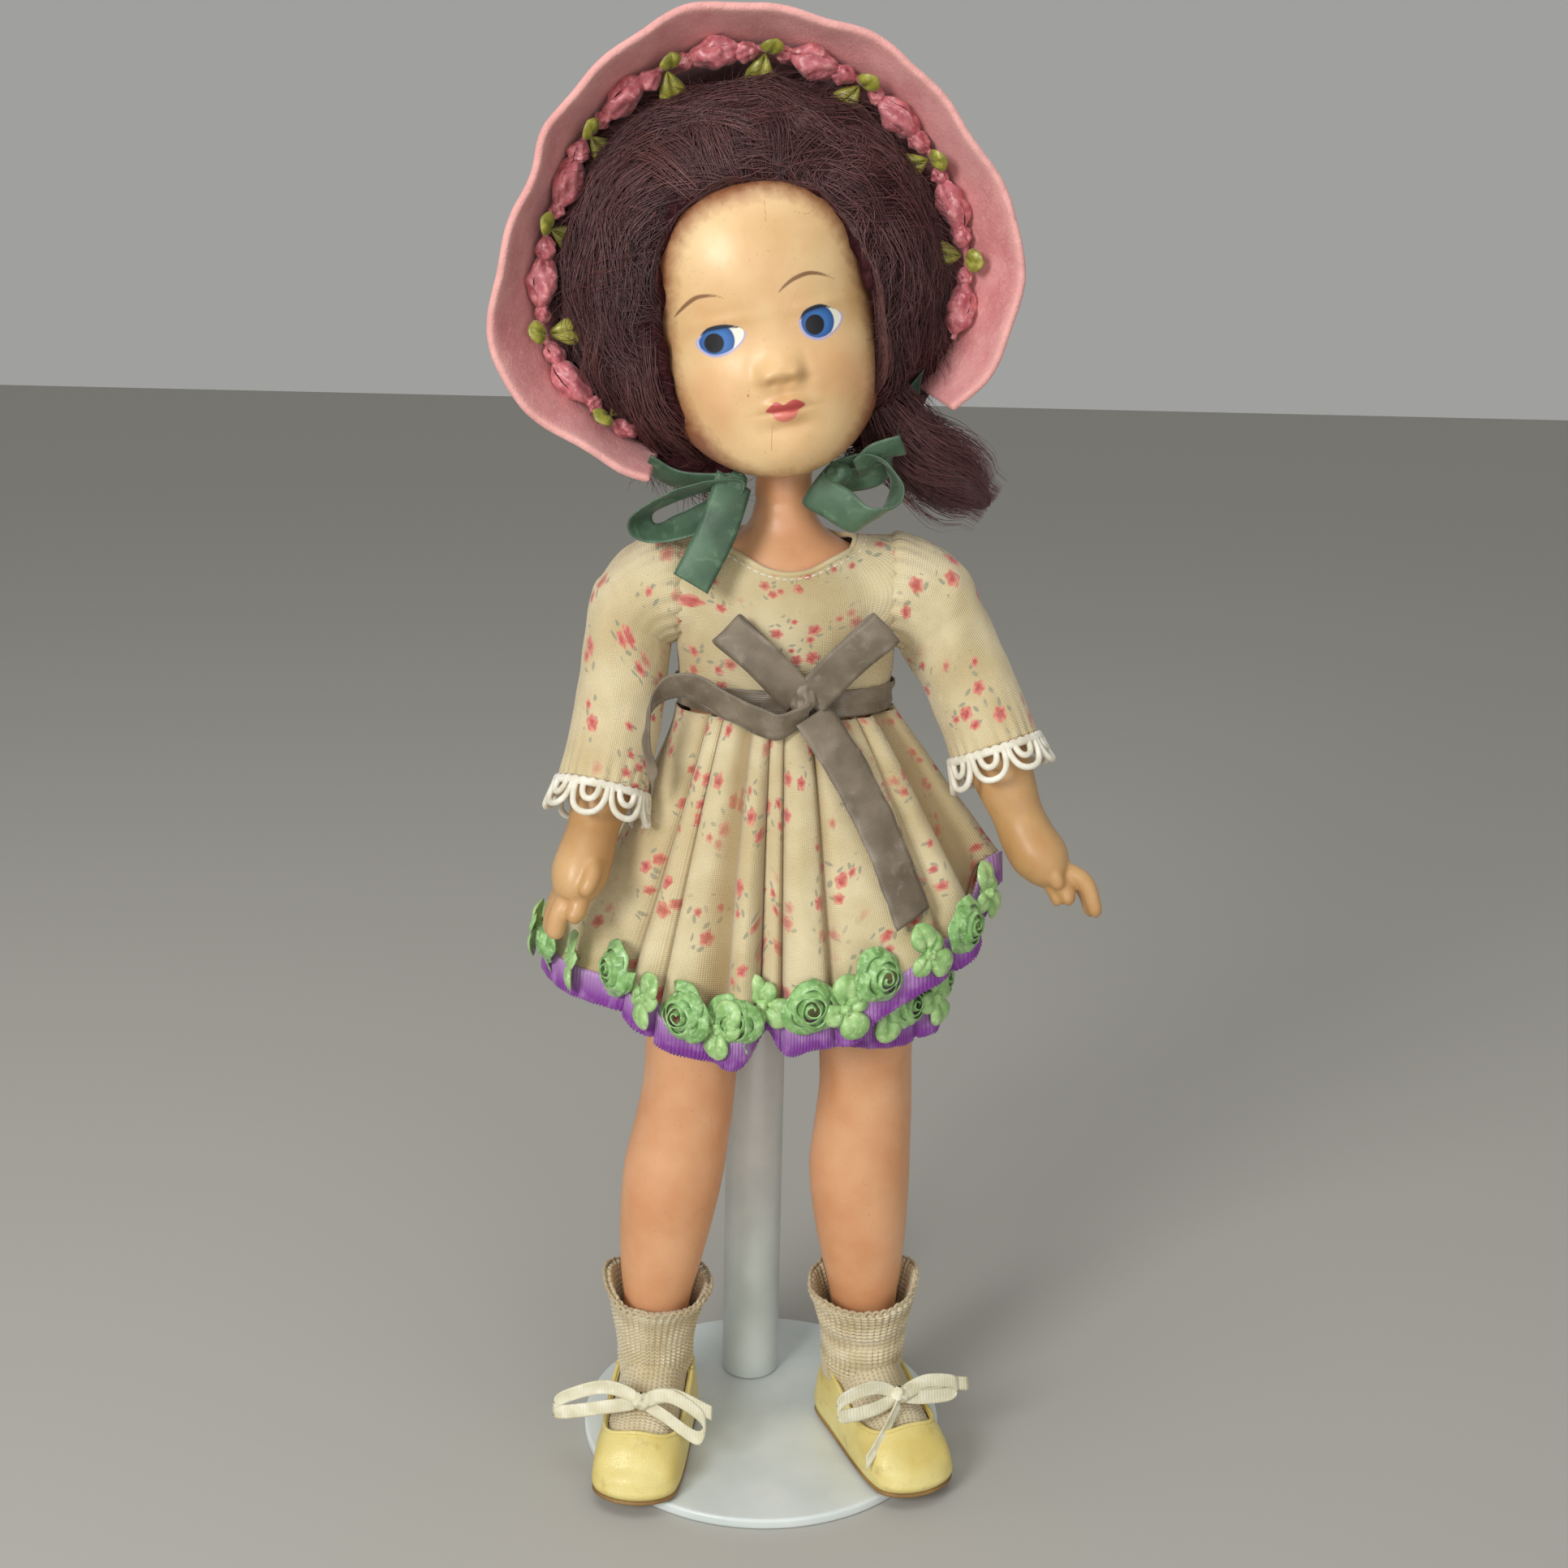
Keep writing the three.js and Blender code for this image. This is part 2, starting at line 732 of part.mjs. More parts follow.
// A J-hook set in a limb: its shank lies on the joint's axis and its end goes round a strand.
function stringHook(sign, face, axisZ, upright) {
  const lift = elasticRadius + wireRadius + 0.8;
  const strand = upright ? -6 : -3; // the strand's place, outward from the limb's face
  const route = [
    [12, 0],
    [2, 0],
    [strand + 3.5, 0.4 * lift],
    [strand, lift],
    [strand - 3, 0.3 * lift],
    [strand - 2.6, -0.7 * lift],
  ];
  const points = route.map(([out, aside]) =>
    vec(
      dollX + sign * (face + out),
      dollY - (upright ? 0 : aside),
      axisZ + (upright ? aside : 0),
    ),
  );
  return tube(points, wireRadius, 9);
}

function makeStringing() {
  const armEnd = shoulderFace - 6 - elasticSpread;
  const loop = [];
  for (const angle of steps(-90, 90, 4)) {
    const x = armEnd + elasticSpread * Math.cos(turn(angle));
    loop.push(vec(dollX + x, dollY + elasticSpread * Math.sin(turn(angle)), shoulderZ));
  }
  for (const angle of steps(90, 270, 4)) {
    const x = -armEnd + elasticSpread * Math.cos(turn(angle));
    loop.push(vec(dollX + x, dollY + elasticSpread * Math.sin(turn(angle)), shoulderZ));
  }
  place("arm_elastic", closedTube(loop, elasticRadius, 20), finishes.elastic);

  const hookFoot = neckZ - 12.8;
  const strandX = hipFace - 3;
  const half = [
    [neckX, 0, neckY, hookFoot],
    [neckX, 2.3, neckY, hookFoot - 1.4],
    [dollX, 2.3, dollY, shoulderZ + 5],
    [dollX, 2.6, dollY, shoulderZ - 6],
    [dollX, 2.8, dollY, hipZ + 30],
    [dollX, 2.5, dollY, hipZ + 8],
    [dollX, strandX, dollY, hipZ + 1.5],
    [dollX, strandX, dollY, hipZ - 1],
    [dollX, 2.4, dollY, hipZ - 4.6],
  ];
  const mirrored = half.slice(1).toReversed();
  const triangle = [
    ...half.map(([middle, aside, y, z]) => vec(middle + aside, y, z)),
    ...mirrored.map(([middle, aside, y, z]) => vec(middle - aside, y, z)),
  ];
  place("body_elastic", closedTube(triangle, elasticRadius, 36), finishes.elastic);

  const hookRoute = [
    [2.8, 13.4],
    [2.7, 15.1],
    [0, 17],
    [-2.9, 14.8],
    [-1.2, 10.5],
    [0, 6],
    [0, -7],
    [-1.4, -10.2],
    [-3.2, -13.4],
    [0, -17.9],
    [2.9, -14.8],
  ];
  const hook = hookRoute.map(([y, z]) => {
    const point = vec(0, y, z);
    if (z > 0) point.applyQuaternion(headGroup.quaternion);
    return point.add(headGroup.position);
  });
  place("neck_hook", tube(hook, wireRadius, 22), finishes.springWire);
  const barEnd = neckBarLength / 2;
  const bar = cylinderX(-barEnd, barEnd, 0, neckBarZ, neckBarRadius, 10);
  place("neck_bar", bar, finishes.hardwood, headGroup);
}

// Head: a hollow casting with a modelled face; wig cap, wig and bonnet follow its shape

// Rows of share of the head's height, share of its half width, and front and back as shares of depth.
const headRows = [
  [0.005, 0.16, -0.72, 0.4],
  [0.023, 0.33, -0.81, 0.25],
  [0.057, 0.51, -0.885, 0.03],
  [0.1, 0.66, -0.93, -0.29],
  [0.15, 0.77, -0.955, -0.54],
  [0.23, 0.87, -0.98, -0.74],
  [0.32, 0.94, -0.99, -0.87],
  [0.42, 0.98, -0.985, -0.96],
  [0.53, 1, -1, -1],
  [0.645, 1, -0.99, -1],
  [0.747, 0.955, -0.915, -0.955],
  [0.835, 0.85, -0.77, -0.845],
  [0.91, 0.675, -0.56, -0.68],
  [0.962, 0.46, -0.33, -0.47],
  [0.992, 0.23, -0.11, -0.26],
];

// Raised and sunk places of the face: middle x and z in shares, their spreads in mm, and height in mm.
const faceForms = [
  { x: 0, z: 0.32, wide: 3.2, tall: 3, height: 4.4 }, // nose tip
  { x: 0, z: 0.38, wide: 2.6, tall: 6, height: 1.6 }, // bridge
  { x: 0.1, z: 0.305, wide: 1.9, tall: 1.8, height: 1.2 }, // nostril wing
  { x: 0.38, z: 0.435, wide: 6, tall: 4, height: -1.5 }, // eye socket
  { x: 0.38, z: 0.44, wide: 3.8, tall: 2.6, height: 0.8 }, // eyeball
  { x: 0.45, z: 0.29, wide: 8, tall: 8, height: 1.2 }, // cheek
  { x: 0, z: 0.23, wide: 4.2, tall: 1.3, height: 1.2 }, // upper lip
  { x: 0, z: 0.196, wide: 3.4, tall: 1.4, height: 1.3 }, // lower lip
  { x: 0, z: 0.07, wide: 6, tall: 4, height: 1.4 }, // chin
];

function faceRise(x, z) {
  return faceForms.reduce((sum, form) => {
    const middleX = form.x * headHalfWidth;
    const middleZ = form.z * headHeight - chinDrop;
    const dz = (z - middleZ) / form.tall;
    const one = (side) => Math.exp(-(((x - side * middleX) / form.wide) ** 2 + dz ** 2) / 2);
    return sum + form.height * (form.x === 0 ? one(1) : one(1) + one(-1));
  }, 0);
}

function headRing(share, extra, count, crowding) {
  const [width, front, back] = along(headRows, share);
  const halfWidth = width * headHalfWidth + extra;
  const frontY = front * faceDepth - extra;
  const backY = -back * occiputDepth + extra;
  const z = share * headHeight - chinDrop + extra * (2 * share - 1);
  const middleY = (frontY + backY) / 2;
  const halfDepth = (backY - frontY) / 2;
  return steps(0, 2 * Math.PI, count)
    .slice(0, count)
    .map((t) => {
      const a = Math.PI / 2 + t + crowding * Math.sin(t);
      const x = halfWidth * Math.cos(a);
      const y = middleY + halfDepth * Math.sin(a);
      const facing = THREE.MathUtils.smoothstep(-Math.sin(a), 0.25, 0.7);
      return vec(x, y - facing * faceRise(x, z), z);
    });
}

const headShares = steps(headRows[0][0], headRows.at(-1)[0], 18);
const coarseShares = steps(headRows[0][0], headRows.at(-1)[0], 9);
// The fine head has its points crowded towards the face; linings are coarse and even.
const headSolid = (extra, count, shares, crowding = 0) =>
  solid(loft(shares.map((share) => headRing(share, extra, count, crowding))));

// The egg-shaped opening that the hair leaves round the face, as a prism along Y.
function faceOpening(extra, depth) {
  const half = faceHalfWidth + extra;
  const top = hairlineZ + extra;
  const outline = new THREE.Shape();
  const low = -chinDrop - 25;
  outline.moveTo(-0.5 * half, low);
  outline.lineTo(0.5 * half, low);
  outline.lineTo(0.6 * half, -chinDrop);
  outline.bezierCurveTo(1.04 * half, 8, 1.06 * half, 38, 0.8 * half, 0.81 * top);
  outline.bezierCurveTo(0.6 * half, 0.97 * top, 0.25 * half, top, 0, top);
  outline.bezierCurveTo(-0.25 * half, top, -0.6 * half, 0.97 * top, -0.8 * half, 0.81 * top);
  outline.bezierCurveTo(-1.06 * half, 38, -1.04 * half, 8, -0.6 * half, -chinDrop);
  const prism = new THREE.ExtrudeGeometry(outline, {
    depth,
    curveSegments: 8,
    bevelEnabled: false,
  });
  prism.rotateX(Math.PI / 2);
  prism.translate(0, -4, 0);
  return solid(prism);
}

function wigOuter(extra) {
  const middleZ = (wigTop + wigBottom) / 2;
  const tall = (wigTop - wigBottom) / 2 + extra;
  const middleY = (wigFront + wigBack) / 2;
  const deep = (wigBack - wigFront) / 2 + extra;
  const rings = steps(-82, 82, 9).map((angle) => {
    const fall = Math.cos(turn(angle));
    const z = middleZ + tall * Math.sin(turn(angle));
    const lobe = 1 - 0.05 * Math.sin(turn(angle)); // fuller below than on top
    const wide = (wigHalfWidth + extra) * fall ** 0.8 * lobe;
    return oval(0, middleY, z, wide, deep * fall ** 0.85, 16);
  });
  return solid(loft(rings));
}

function makeHead() {
  const cavityFloor = neckBarZ - neckBarRadius - gap;
  const inside = joined(
    headSolid(-wallThickness, 12, coarseShares).intersect(
      block(vec(-60, -60, cavityFloor), vec(60, 60, headHeight)),
    ),
    cylinderZ(0, 0, 0, cavityFloor + 1, stringHole, 16),
    ball(0, 0, 0, neckBallRadius + jointGap),
    // the flared mouth lets the head nod on the ball
    solid(new THREE.ConeGeometry(24, 24, 16).rotateX(Math.PI / 2).translate(0, 0, -9.5)),
  );
  place("head", cut(headSolid(0, 26, headShares, 0.4), inside), finishes.facePaint, headGroup);

  const capGap = 1.5; // room for the wig's lining
  const capInside = headSolid(capGap, 14, coarseShares);
  const capOutside = headSolid(capGap + wigCapThickness, 14, coarseShares);
  const aboveNape = block(vec(-70, -70, 16), vec(70, 70, 120));
  const cap = cut(capOutside, capInside, faceOpening(3, 60)).intersect(aboveNape);
  place("wig_cap", cap, finishes.gauze, headGroup);

  const underWig = headSolid(capGap + wigCapThickness + gap, 14, coarseShares);
  const neckRoom = cylinderZ(0, 0, -30, 14, 19, 14);
  const wig = cut(wigOuter(0), underWig, faceOpening(0, 60), neckRoom);
  place("wig", wig, finishes.mohair, headGroup);
}

// Bonnet: a domed crown, a waved brim sewn to it, a flower garland on the brim's inner face

// The waved edge: degrees from the top and the edge's distance beyond the mean reach.
const brimRows = [
  [-135, -1.6],
  [-119, 3.8],
  [-101, 4.2],
  [-77, 1],
  [-50, -1.3],
  [-23, -1],
  [2, -0.6],
  [27, -1],
  [46, -2.3],
  [56, -4],
  [67, -1.6],
  [90, 4.4],
  [104, 5.4],
  [122, 1],
  [142, -4],
];
const hatPoint = (angle, radius, y) =>
  vec(-radius * Math.sin(turn(angle)), y, hatCentreZ + radius * Math.cos(turn(angle)));

function makeBonnet() {
  const seamY = crownFront + gap;
  const dome = steps(0, 90, 5).map((angle) => [
    Math.cos(turn(angle)) ** 0.75,
    seamY + crownDepth * Math.sin(turn(angle)),
  ]);
  const outside = dome.map(([share, y]) => [share * (crownRadius + feltThickness), y]);
  const inside = dome.map(([share, y], i) => [
    share * crownRadius,
    y - (feltThickness * i) / (dome.length - 1),
  ]);
  const profile = [...outside, ...inside.toReversed()].map(([r, y]) => new THREE.Vector2(r, y));
  profile.push(profile[0].clone());
  const crown = new THREE.LatheGeometry(profile, 24);
  crown.applyMatrix4(new THREE.Matrix4().makeTranslation(0, 0, hatCentreZ));
  place("hat_crown", solid(crown), finishes.felt, headGroup);

  const slant = vec(brimRadius - crownRadius, brimFront - crownFront, 0).normalize();
  const outward = vec(-slant.y, slant.x, 0); // across the felt, away from the face
  const brimPoint = (angle, share, lift) => {
    const reach = brimRadius + along(brimRows, angle)[0];
    const radius = crownRadius + feltThickness / 2 + (reach - crownRadius) * share;
    const y = crownFront - 0.2 * feltThickness + (brimFront - crownFront) * share;
    return hatPoint(angle, radius + lift * outward.x, y + lift * outward.y);
  };
  const shares = steps(0, 1, 2);
  const rings = steps(brimStart, brimEnd, 34).map((angle) => [
    ...shares.map((share) => brimPoint(angle, share, -feltThickness / 2)),
    ...shares.toReversed().map((share) => brimPoint(angle, share, feltThickness / 2)),
  ]);
  place("hat_brim", loft(rings), finishes.felt, headGroup);

  const seatShare = 0.42;
  const fullest = garlandRadius * 1.7;
  const lift = fullest + feltThickness / 2 + gap + 0.6;
  const garlandPath = steps(brimStart + 16, brimEnd - 12, 40).map((angle) =>
    brimPoint(angle, seatShare, -lift),
  );
  const garland = ringsAlong(
    garlandPath,
    garlandFlowers * 4,
    5,
    (share) => {
      const swell = 0.5 - 0.5 * Math.cos(share * garlandFlowers * 2 * Math.PI);
      const radius = garlandRadius * (0.75 + 0.95 * swell);
      return [radius, radius];
    },
  );
  place("hat_garland", loft(garland), finishes.garland, headGroup);
}

// Soft pieces that hang from the head: a lock of hair and the two chin ribbons

function makeHairTail() {
  const path = [
    vec(dollX + 24, dollY - 2, shoulderZ + 46),
    vec(dollX + 32, dollY + 1, shoulderZ + 35),
    vec(dollX + 42, dollY + 3, shoulderZ + 28),
    vec(dollX + 52, dollY + 2, shoulderZ + 21),
  ];
  const rows = [
    [0, 5, 5],
    [0.5, 7.2, 7],
    [0.8, 6.4, 6.4],
    [1, 2, 2],
  ];
  const lock = solid(loft(ringsAlong(path, 7, 9, (share) => along(rows, share))));
  const wigInWorld = geometryOf(wigOuter(gap + 0.1)).applyMatrix4(headGroup.matrixWorld);
  place("hair_tail", cut(lock, solid(wigInWorld)), finishes.mohair);
}

// Each chin ribbon starts on an end of the brim, runs under the hair and ends in a loop or a tail.
function makeHatTies() {
  const seat = (angle, radius, y) => hatPoint(angle, radius, y).applyMatrix4(headGroup.matrixWorld);
  const leaveBrim = (angle, way, radius, y) => {
    const end = seat(angle, radius, y);
    const away = seat(angle + way, radius, y).sub(end).normalize();
    return [2 * gap, 7].map((distance) => end.clone().addScaledVector(away, distance));
  };
  const chestY = dollY - 23;
  const flat = vec(0.2, -0.95, 0.2).normalize();

  const rightStrap = ribbon(
    [...leaveBrim(brimEnd, 1, 53, -6), vec(dollX - 12, chestY + 8, shoulderZ + 28)],
    hatTieWidth * 0.7,
    vec(0.3, -0.8, 0.5).normalize(),
    5,
  );
  const tail = ribbon(
    [
      vec(dollX - 13.4, chestY + 7.4, shoulderZ + 28.4),
      vec(dollX - 17, chestY + 2, shoulderZ + 17),
      vec(dollX - 23, chestY - 1, shoulderZ + 5),
    ],
    hatTieWidth,
    vec(0.87, 0, -0.5).normalize(),
    5,
  );
  const loop = ribbon(
    [
      vec(dollX - 13, chestY + 7, shoulderZ + 27),
      vec(dollX - 25, chestY + 6, shoulderZ + 24),
      vec(dollX - 35, chestY + 8, shoulderZ + 18.5),
      vec(dollX - 33, chestY + 9, shoulderZ + 16),
      vec(dollX - 23, chestY + 8, shoulderZ + 19.5),
    ],
    hatTieWidth * 0.8,
    vec(-0.1, -0.9, 0.4).normalize(),
    12,
    true,
  );
  const right = joined(solid(tail), solid(loop), solid(rightStrap));
  place("hat_tie_right", right, finishes.greenRibbon);

  const leftStrap = ribbon(
    [
      ...leaveBrim(brimStart, -1, 55, -11),
      vec(dollX + 22, chestY + 6.5, shoulderZ + 29),
      vec(dollX + 9.5, chestY + 8, shoulderZ + 28),
    ],
    hatTieWidth * 0.7,
    vec(0.1, -0.7, 0.7).normalize(),
    8,
  );
  const bow = ribbon(
    [
      vec(dollX + 17, chestY + 5.4, shoulderZ + 29),
      vec(dollX + 25, chestY + 5, shoulderZ + 30),
      vec(dollX + 28, chestY + 5, shoulderZ + 24.5),
      vec(dollX + 21, chestY + 5.2, shoulderZ + 19.5),
      vec(dollX + 16, chestY + 5.4, shoulderZ + 23.5),
    ],
    hatTieWidth * 0.8,
    flat,
    12,
    true,
  );
  place("hat_tie_left", solid(leftStrap).add(solid(bow)), finishes.greenRibbon);
}

// Dress: bodice, sleeves with lace cuffs, a pleated skirt with two hem trims, and a sash

const bodiceInner = dressEase;
const bodiceOuter = dressEase + clothThickness;

function makeBodice() {
  const edge = shoulderFace + gap;
  const top = shoulderZ + 15;
  const layer = (extra, low, reach) =>
    joined(
      torsoLoft(extra, low, top, 6, 16),
      cylinderX(dollX - reach, dollX + reach, dollY, shoulderZ, shoulderRadius + extra, 14),
    );
  const between = block(vec(dollX - edge, -100, 0), vec(dollX + edge, 100, 300));
  const neckline = solid(
    loft(
      steps(shoulderZ - 2, shoulderZ + 30, 1).map((z) =>
        oval(dollX, dollY - 3.5, z, necklineHalfWidth, necklineHalfDepth, 16),
      ),
    ),
  );
  const cloth = cut(
    layer(bodiceOuter, waistZ, edge + 1).intersect(between),
    layer(bodiceInner, waistZ - 2, edge + 2),
    neckline,
  );
  place("dress_bodice", cloth, finishes.voile);
}

// Rings from the armhole to the cuff: they fan out round a point under the armpit, then follow the arm.
function sleeveRings(set, inset) {
  const armhole = shoulderRadius + bodiceOuter;
  const outward = vec(set.sign, 0, 0);
  const up = vec(0, 0, 1);
  const pivotDrop = armhole + 1.5;
  const pivot = armPoint(set, [2 * gap + 0.2, 0, pivotDrop]);
  const fan = steps(0, 60, 4).map((angle) => {
    const radius = armhole + (sleeveRadius + 0.5 - armhole) * (angle / 60) - inset;
    const away = outward.clone().multiplyScalar(Math.sin(turn(angle)));
    away.addScaledVector(up, Math.cos(turn(angle)));
    const centre = pivot.clone().addScaledVector(away, radius + inset + 1.5);
    centre.y -= (set.axis[1][1] * angle) / 60;
    return steps(0, 2 * Math.PI, sleeveSides)
      .slice(0, sleeveSides)
      .map((a) =>
        centre
          .clone()
          .addScaledVector(away, radius * Math.cos(a))
          .add(vec(0, -set.sign * radius * Math.sin(a), 0)),
      );
  });
  const curve = new THREE.CatmullRomCurve3(armCurve(set).slice(1, 4));
  const lower = [0.35, 0.68, 1].map((part) => {
    const share = part * set.sleeveShare;
    const centre = curve.getPointAt(share);
    const ahead = curve.getTangentAt(share);
    const aside = vec(0, -set.sign, 0);
    aside.addScaledVector(ahead, -aside.dot(ahead)).normalize();
    const away = vec(0, 0, 0).crossVectors(aside, ahead).multiplyScalar(-1);
    if (away.dot(outward) < 0) away.multiplyScalar(-1);
    return steps(0, 2 * Math.PI, sleeveSides)
      .slice(0, sleeveSides)
      .map((a) =>
        centre
          .clone()
          .addScaledVector(away, (sleeveRadius - inset) * Math.cos(a))
          .addScaledVector(aside, (sleeveRadius - inset) * Math.sin(a)),
      );
  });
  return [...fan, ...lower];
}

function makeSleeve(side, set) {
  const outer = sleeveRings(set, 0);
  const inner = sleeveRings(set, clothThickness);
  place(`dress_sleeve_${side}`, shell(outer, inner), finishes.voile);

  // The lace continues past the sleeve's end, with a scalloped edge.
  const end = outer.at(-1);
  const middle = end.reduce((sum, p) => sum.add(p), vec(0, 0, 0)).divideScalar(sleeveSides);
  const across = end[0].clone().sub(middle).normalize();
  const aside = end[sleeveSides / 4].clone().sub(middle).normalize();
  const ahead = vec(0, 0, 0).crossVectors(across, aside);
  if (ahead.z > 0) ahead.negate();
  const sides = cuffScallops * 3;
  const move = (share, inset) =>
    steps(0, 2 * Math.PI, sides)
      .slice(0, sides)
      .map((a) => {
        const scallop = 0.72 + 0.28 * Math.abs(Math.sin((a * cuffScallops) / 2));
        const reach = gap + share * cuffDepth * (share === 1 ? scallop : 1);
        const radius = sleeveRadius + 0.4 - inset;
        return middle
          .clone()
          .addScaledVector(across, radius * Math.cos(a))
          .addScaledVector(aside, radius * Math.sin(a))
          .addScaledVector(ahead, reach);
      });
  const shares = [0, 1];
  const cuff = shell(
    shares.map((share) => move(share, 0)),
    shares.map((share) => move(share, clothThickness)),
  );
  place(`lace_cuff_${side}`, cuff, finishes.lace);
}

// The hem as it hangs: degrees from the front towards the doll's left, reach from the skirt's axis,
// height, and how early the gathers spread below the waist (less is earlier).
const hemRows = [
  [-180, 45, 136, 0.6],
  [-140, 50, 136, 0.65],
  [-112, 57, 138, 0.9],
  [-92, 58, 140, 1.05],
  [-70, 54, 141, 1.05],
  [-48, 47, 139, 0.9],
  [-24, 42, 136, 0.75],
  [-9, 36, 142, 0.75],
  [8, 39, 140, 0.75],
  [30, 44, 142, 0.75],
  [48, 49, 148, 0.8],
  [66, 53, 161, 0.9],
  [82, 54, 172, 0.95],
  [98, 54, 158, 0.9],
  [114, 54, 137, 0.8],
  [142, 50, 134, 0.65],
  [180, 45, 136, 0.6],
];
const skirtX = dollX + 1;
const skirtY = dollY + 2;
const skirtSides = pleatCount * 4;

// One ring of the skirt: share 0 at the waist and 1 at the hem, moved outward by extra and down by drop.
function skirtRing(share, extra, drop = 0, swell = () => 0) {
  const [waistWidth, waistDepth] = torsoAt(waistZ).map((r) => r + bodiceOuter + skirtEase);
  return steps(-180, 180, skirtSides)
    .slice(0, skirtSides)
    .map((angle) => {
      const [reach, hemZ, early] = along(hemRows, angle);
      const [sin, cos] = [Math.sin(turn(angle)), Math.cos(turn(angle))];
      const top = 1 / Math.hypot(sin / waistWidth, cos / waistDepth);
      const pleat = Math.cos(turn(angle) * pleatCount) * pleatDepth * (0.35 + 0.65 * share);
      const radius = top + (reach - top) * share ** early + pleat + extra + swell(angle);
      const x = dollX + (skirtX - dollX) * share;
      const y = dollY + (skirtY - dollY) * share;
      return vec(x + radius * sin, y - radius * cos, waistZ - gap + (hemZ - waistZ) * share - drop);
    });
}

function makeSkirt() {
  const shares = steps(0, 1, 4);
  const outer = shares.map((share) => skirtRing(share, 0));
  const inner = shares.map((share) => skirtRing(share, -clothThickness));
  place("dress_skirt", shell(outer, inner), finishes.voile);

  const ribbonTop = gap;
  const ruffle = (angle) => 0.8 * Math.cos(turn(angle) * pleatCount * 2);
  const flare = (drop) => (drop / hemRibbonWidth) * 1.5;
  const drops = [ribbonTop, ribbonTop + hemRibbonWidth];
  const ribbonOuter = drops.map((drop) => skirtRing(1, flare(drop), drop, ruffle));
  const ribbonInner = drops.map((drop) => skirtRing(1, flare(drop) - clothThickness, drop, ruffle));
  place("hem_ribbon", shell(ribbonOuter, ribbonInner), finishes.purpleRibbon);

  // A bead of ribbon roses round the outside of the hem.
  const swell = (angle) => 0.62 + 0.38 * Math.cos(turn(angle) * roseCount);
  const rim = skirtRing(1, 0);
  const bead = rim.map((p, j) => {
    const angle = -180 + (360 * j) / skirtSides;
    const outward = vec(p.x - skirtX, p.y - skirtY, 0).normalize();
    const radius = roseRadius * swell(angle);
    const centre = p.clone().addScaledVector(outward, radius + 2 * gap);
    centre.z += roseRadius;
    return steps(0, 2 * Math.PI, 4)
      .slice(0, 4)
      .map((a) =>
        centre
          .clone()
          .addScaledVector(outward, radius * Math.cos(a))
          .add(vec(0, 0, radius * 1.3 * Math.sin(a))),
      );
  });
  place("hem_roses", loft(bead, true), finishes.roseRibbon);
}

function makeSash() {
  const inside = bodiceOuter + gap;
  const outside = inside + ribbonThickness;
  const [low, high] = [waistZ + gap, waistZ + gap + sashWidth];
  const ring = (z, extra) => {
    const [halfWidth, halfDepth] = torsoAt(z).map((r) => r + extra);
    return oval(dollX, dollY, z, halfWidth, halfDepth, 24);
  };
  const heights = [low, high];
  const band = shell(
    heights.map((z) => ring(z, outside)),
    heights.map((z) => ring(z, inside)),
  );
  place("sash_band", band, finishes.sashRibbon);

  const [, halfDepth] = torsoAt((low + high) / 2);
  const knotY = dollY - halfDepth - outside - gap - 2.6;
  const knotX = dollX + 5;
  const knotZ = (low + high) / 2 + 2;
  const tilt = (side) => vec(-0.68 * side, -0.1, 0.72).normalize();
  const bowLoop = (side, reach, rise) => {
    const mid = [
      [1, 0, 0],
      [reach * 0.55, -2.4, rise * 0.6],
      [reach, -1.2, rise],
      [reach * 0.96, 1, rise],
      [reach * 0.5, 1, rise * 0.5],
    ];
    const points = mid.map(([x, y, z]) => vec(knotX + side * x, knotY + y, knotZ + z));
    return solid(ribbon(points, sashWidth, tilt(side), 10, true));
  };
  const knot = ball(knotX, knotY - 0.4, knotZ, 3.2, 8);
  const bow = joined(knot, bowLoop(-1, 19, 17), bowLoop(1, 19, 18));
  place("sash_bow", bow, finishes.sashRibbon);

  // The long tail falls over the skirt's front; the short one hangs in a curl at the doll's right side.
  const longTail = ribbon(
    [
      vec(knotX + 2.2, knotY - 1, knotZ - 3.2),
      vec(knotX + 12, knotY - 13, knotZ - 16),
      vec(knotX + 19.5, knotY - 20, knotZ - 31),
      vec(knotX + 26, knotY - 23.5, knotZ - 48),
    ],
    sashWidth * 1.25,
    vec(0.92, 0, 0.39).normalize(),
    10,
  );
  place("sash_tail_long", longTail, finishes.sashRibbon);
  const shortTail = ribbon(
    [
      vec(knotX - 5, knotY - 1, knotZ - 5),
      vec(knotX - 16, knotY - 2, knotZ - 1.5),
      vec(knotX - 29, knotY - 1, knotZ + 3),
      vec(knotX - 38, knotY - 1, knotZ - 4),
      vec(knotX - 37, knotY - 2, knotZ - 20),
    ],
    sashWidth,
    vec(0.15, -0.6, 0.78).normalize(),
    10,
  );
  place("sash_tail_short", shortTail, finishes.sashRibbon);
}

// Socks, shoes and their ribbon ties

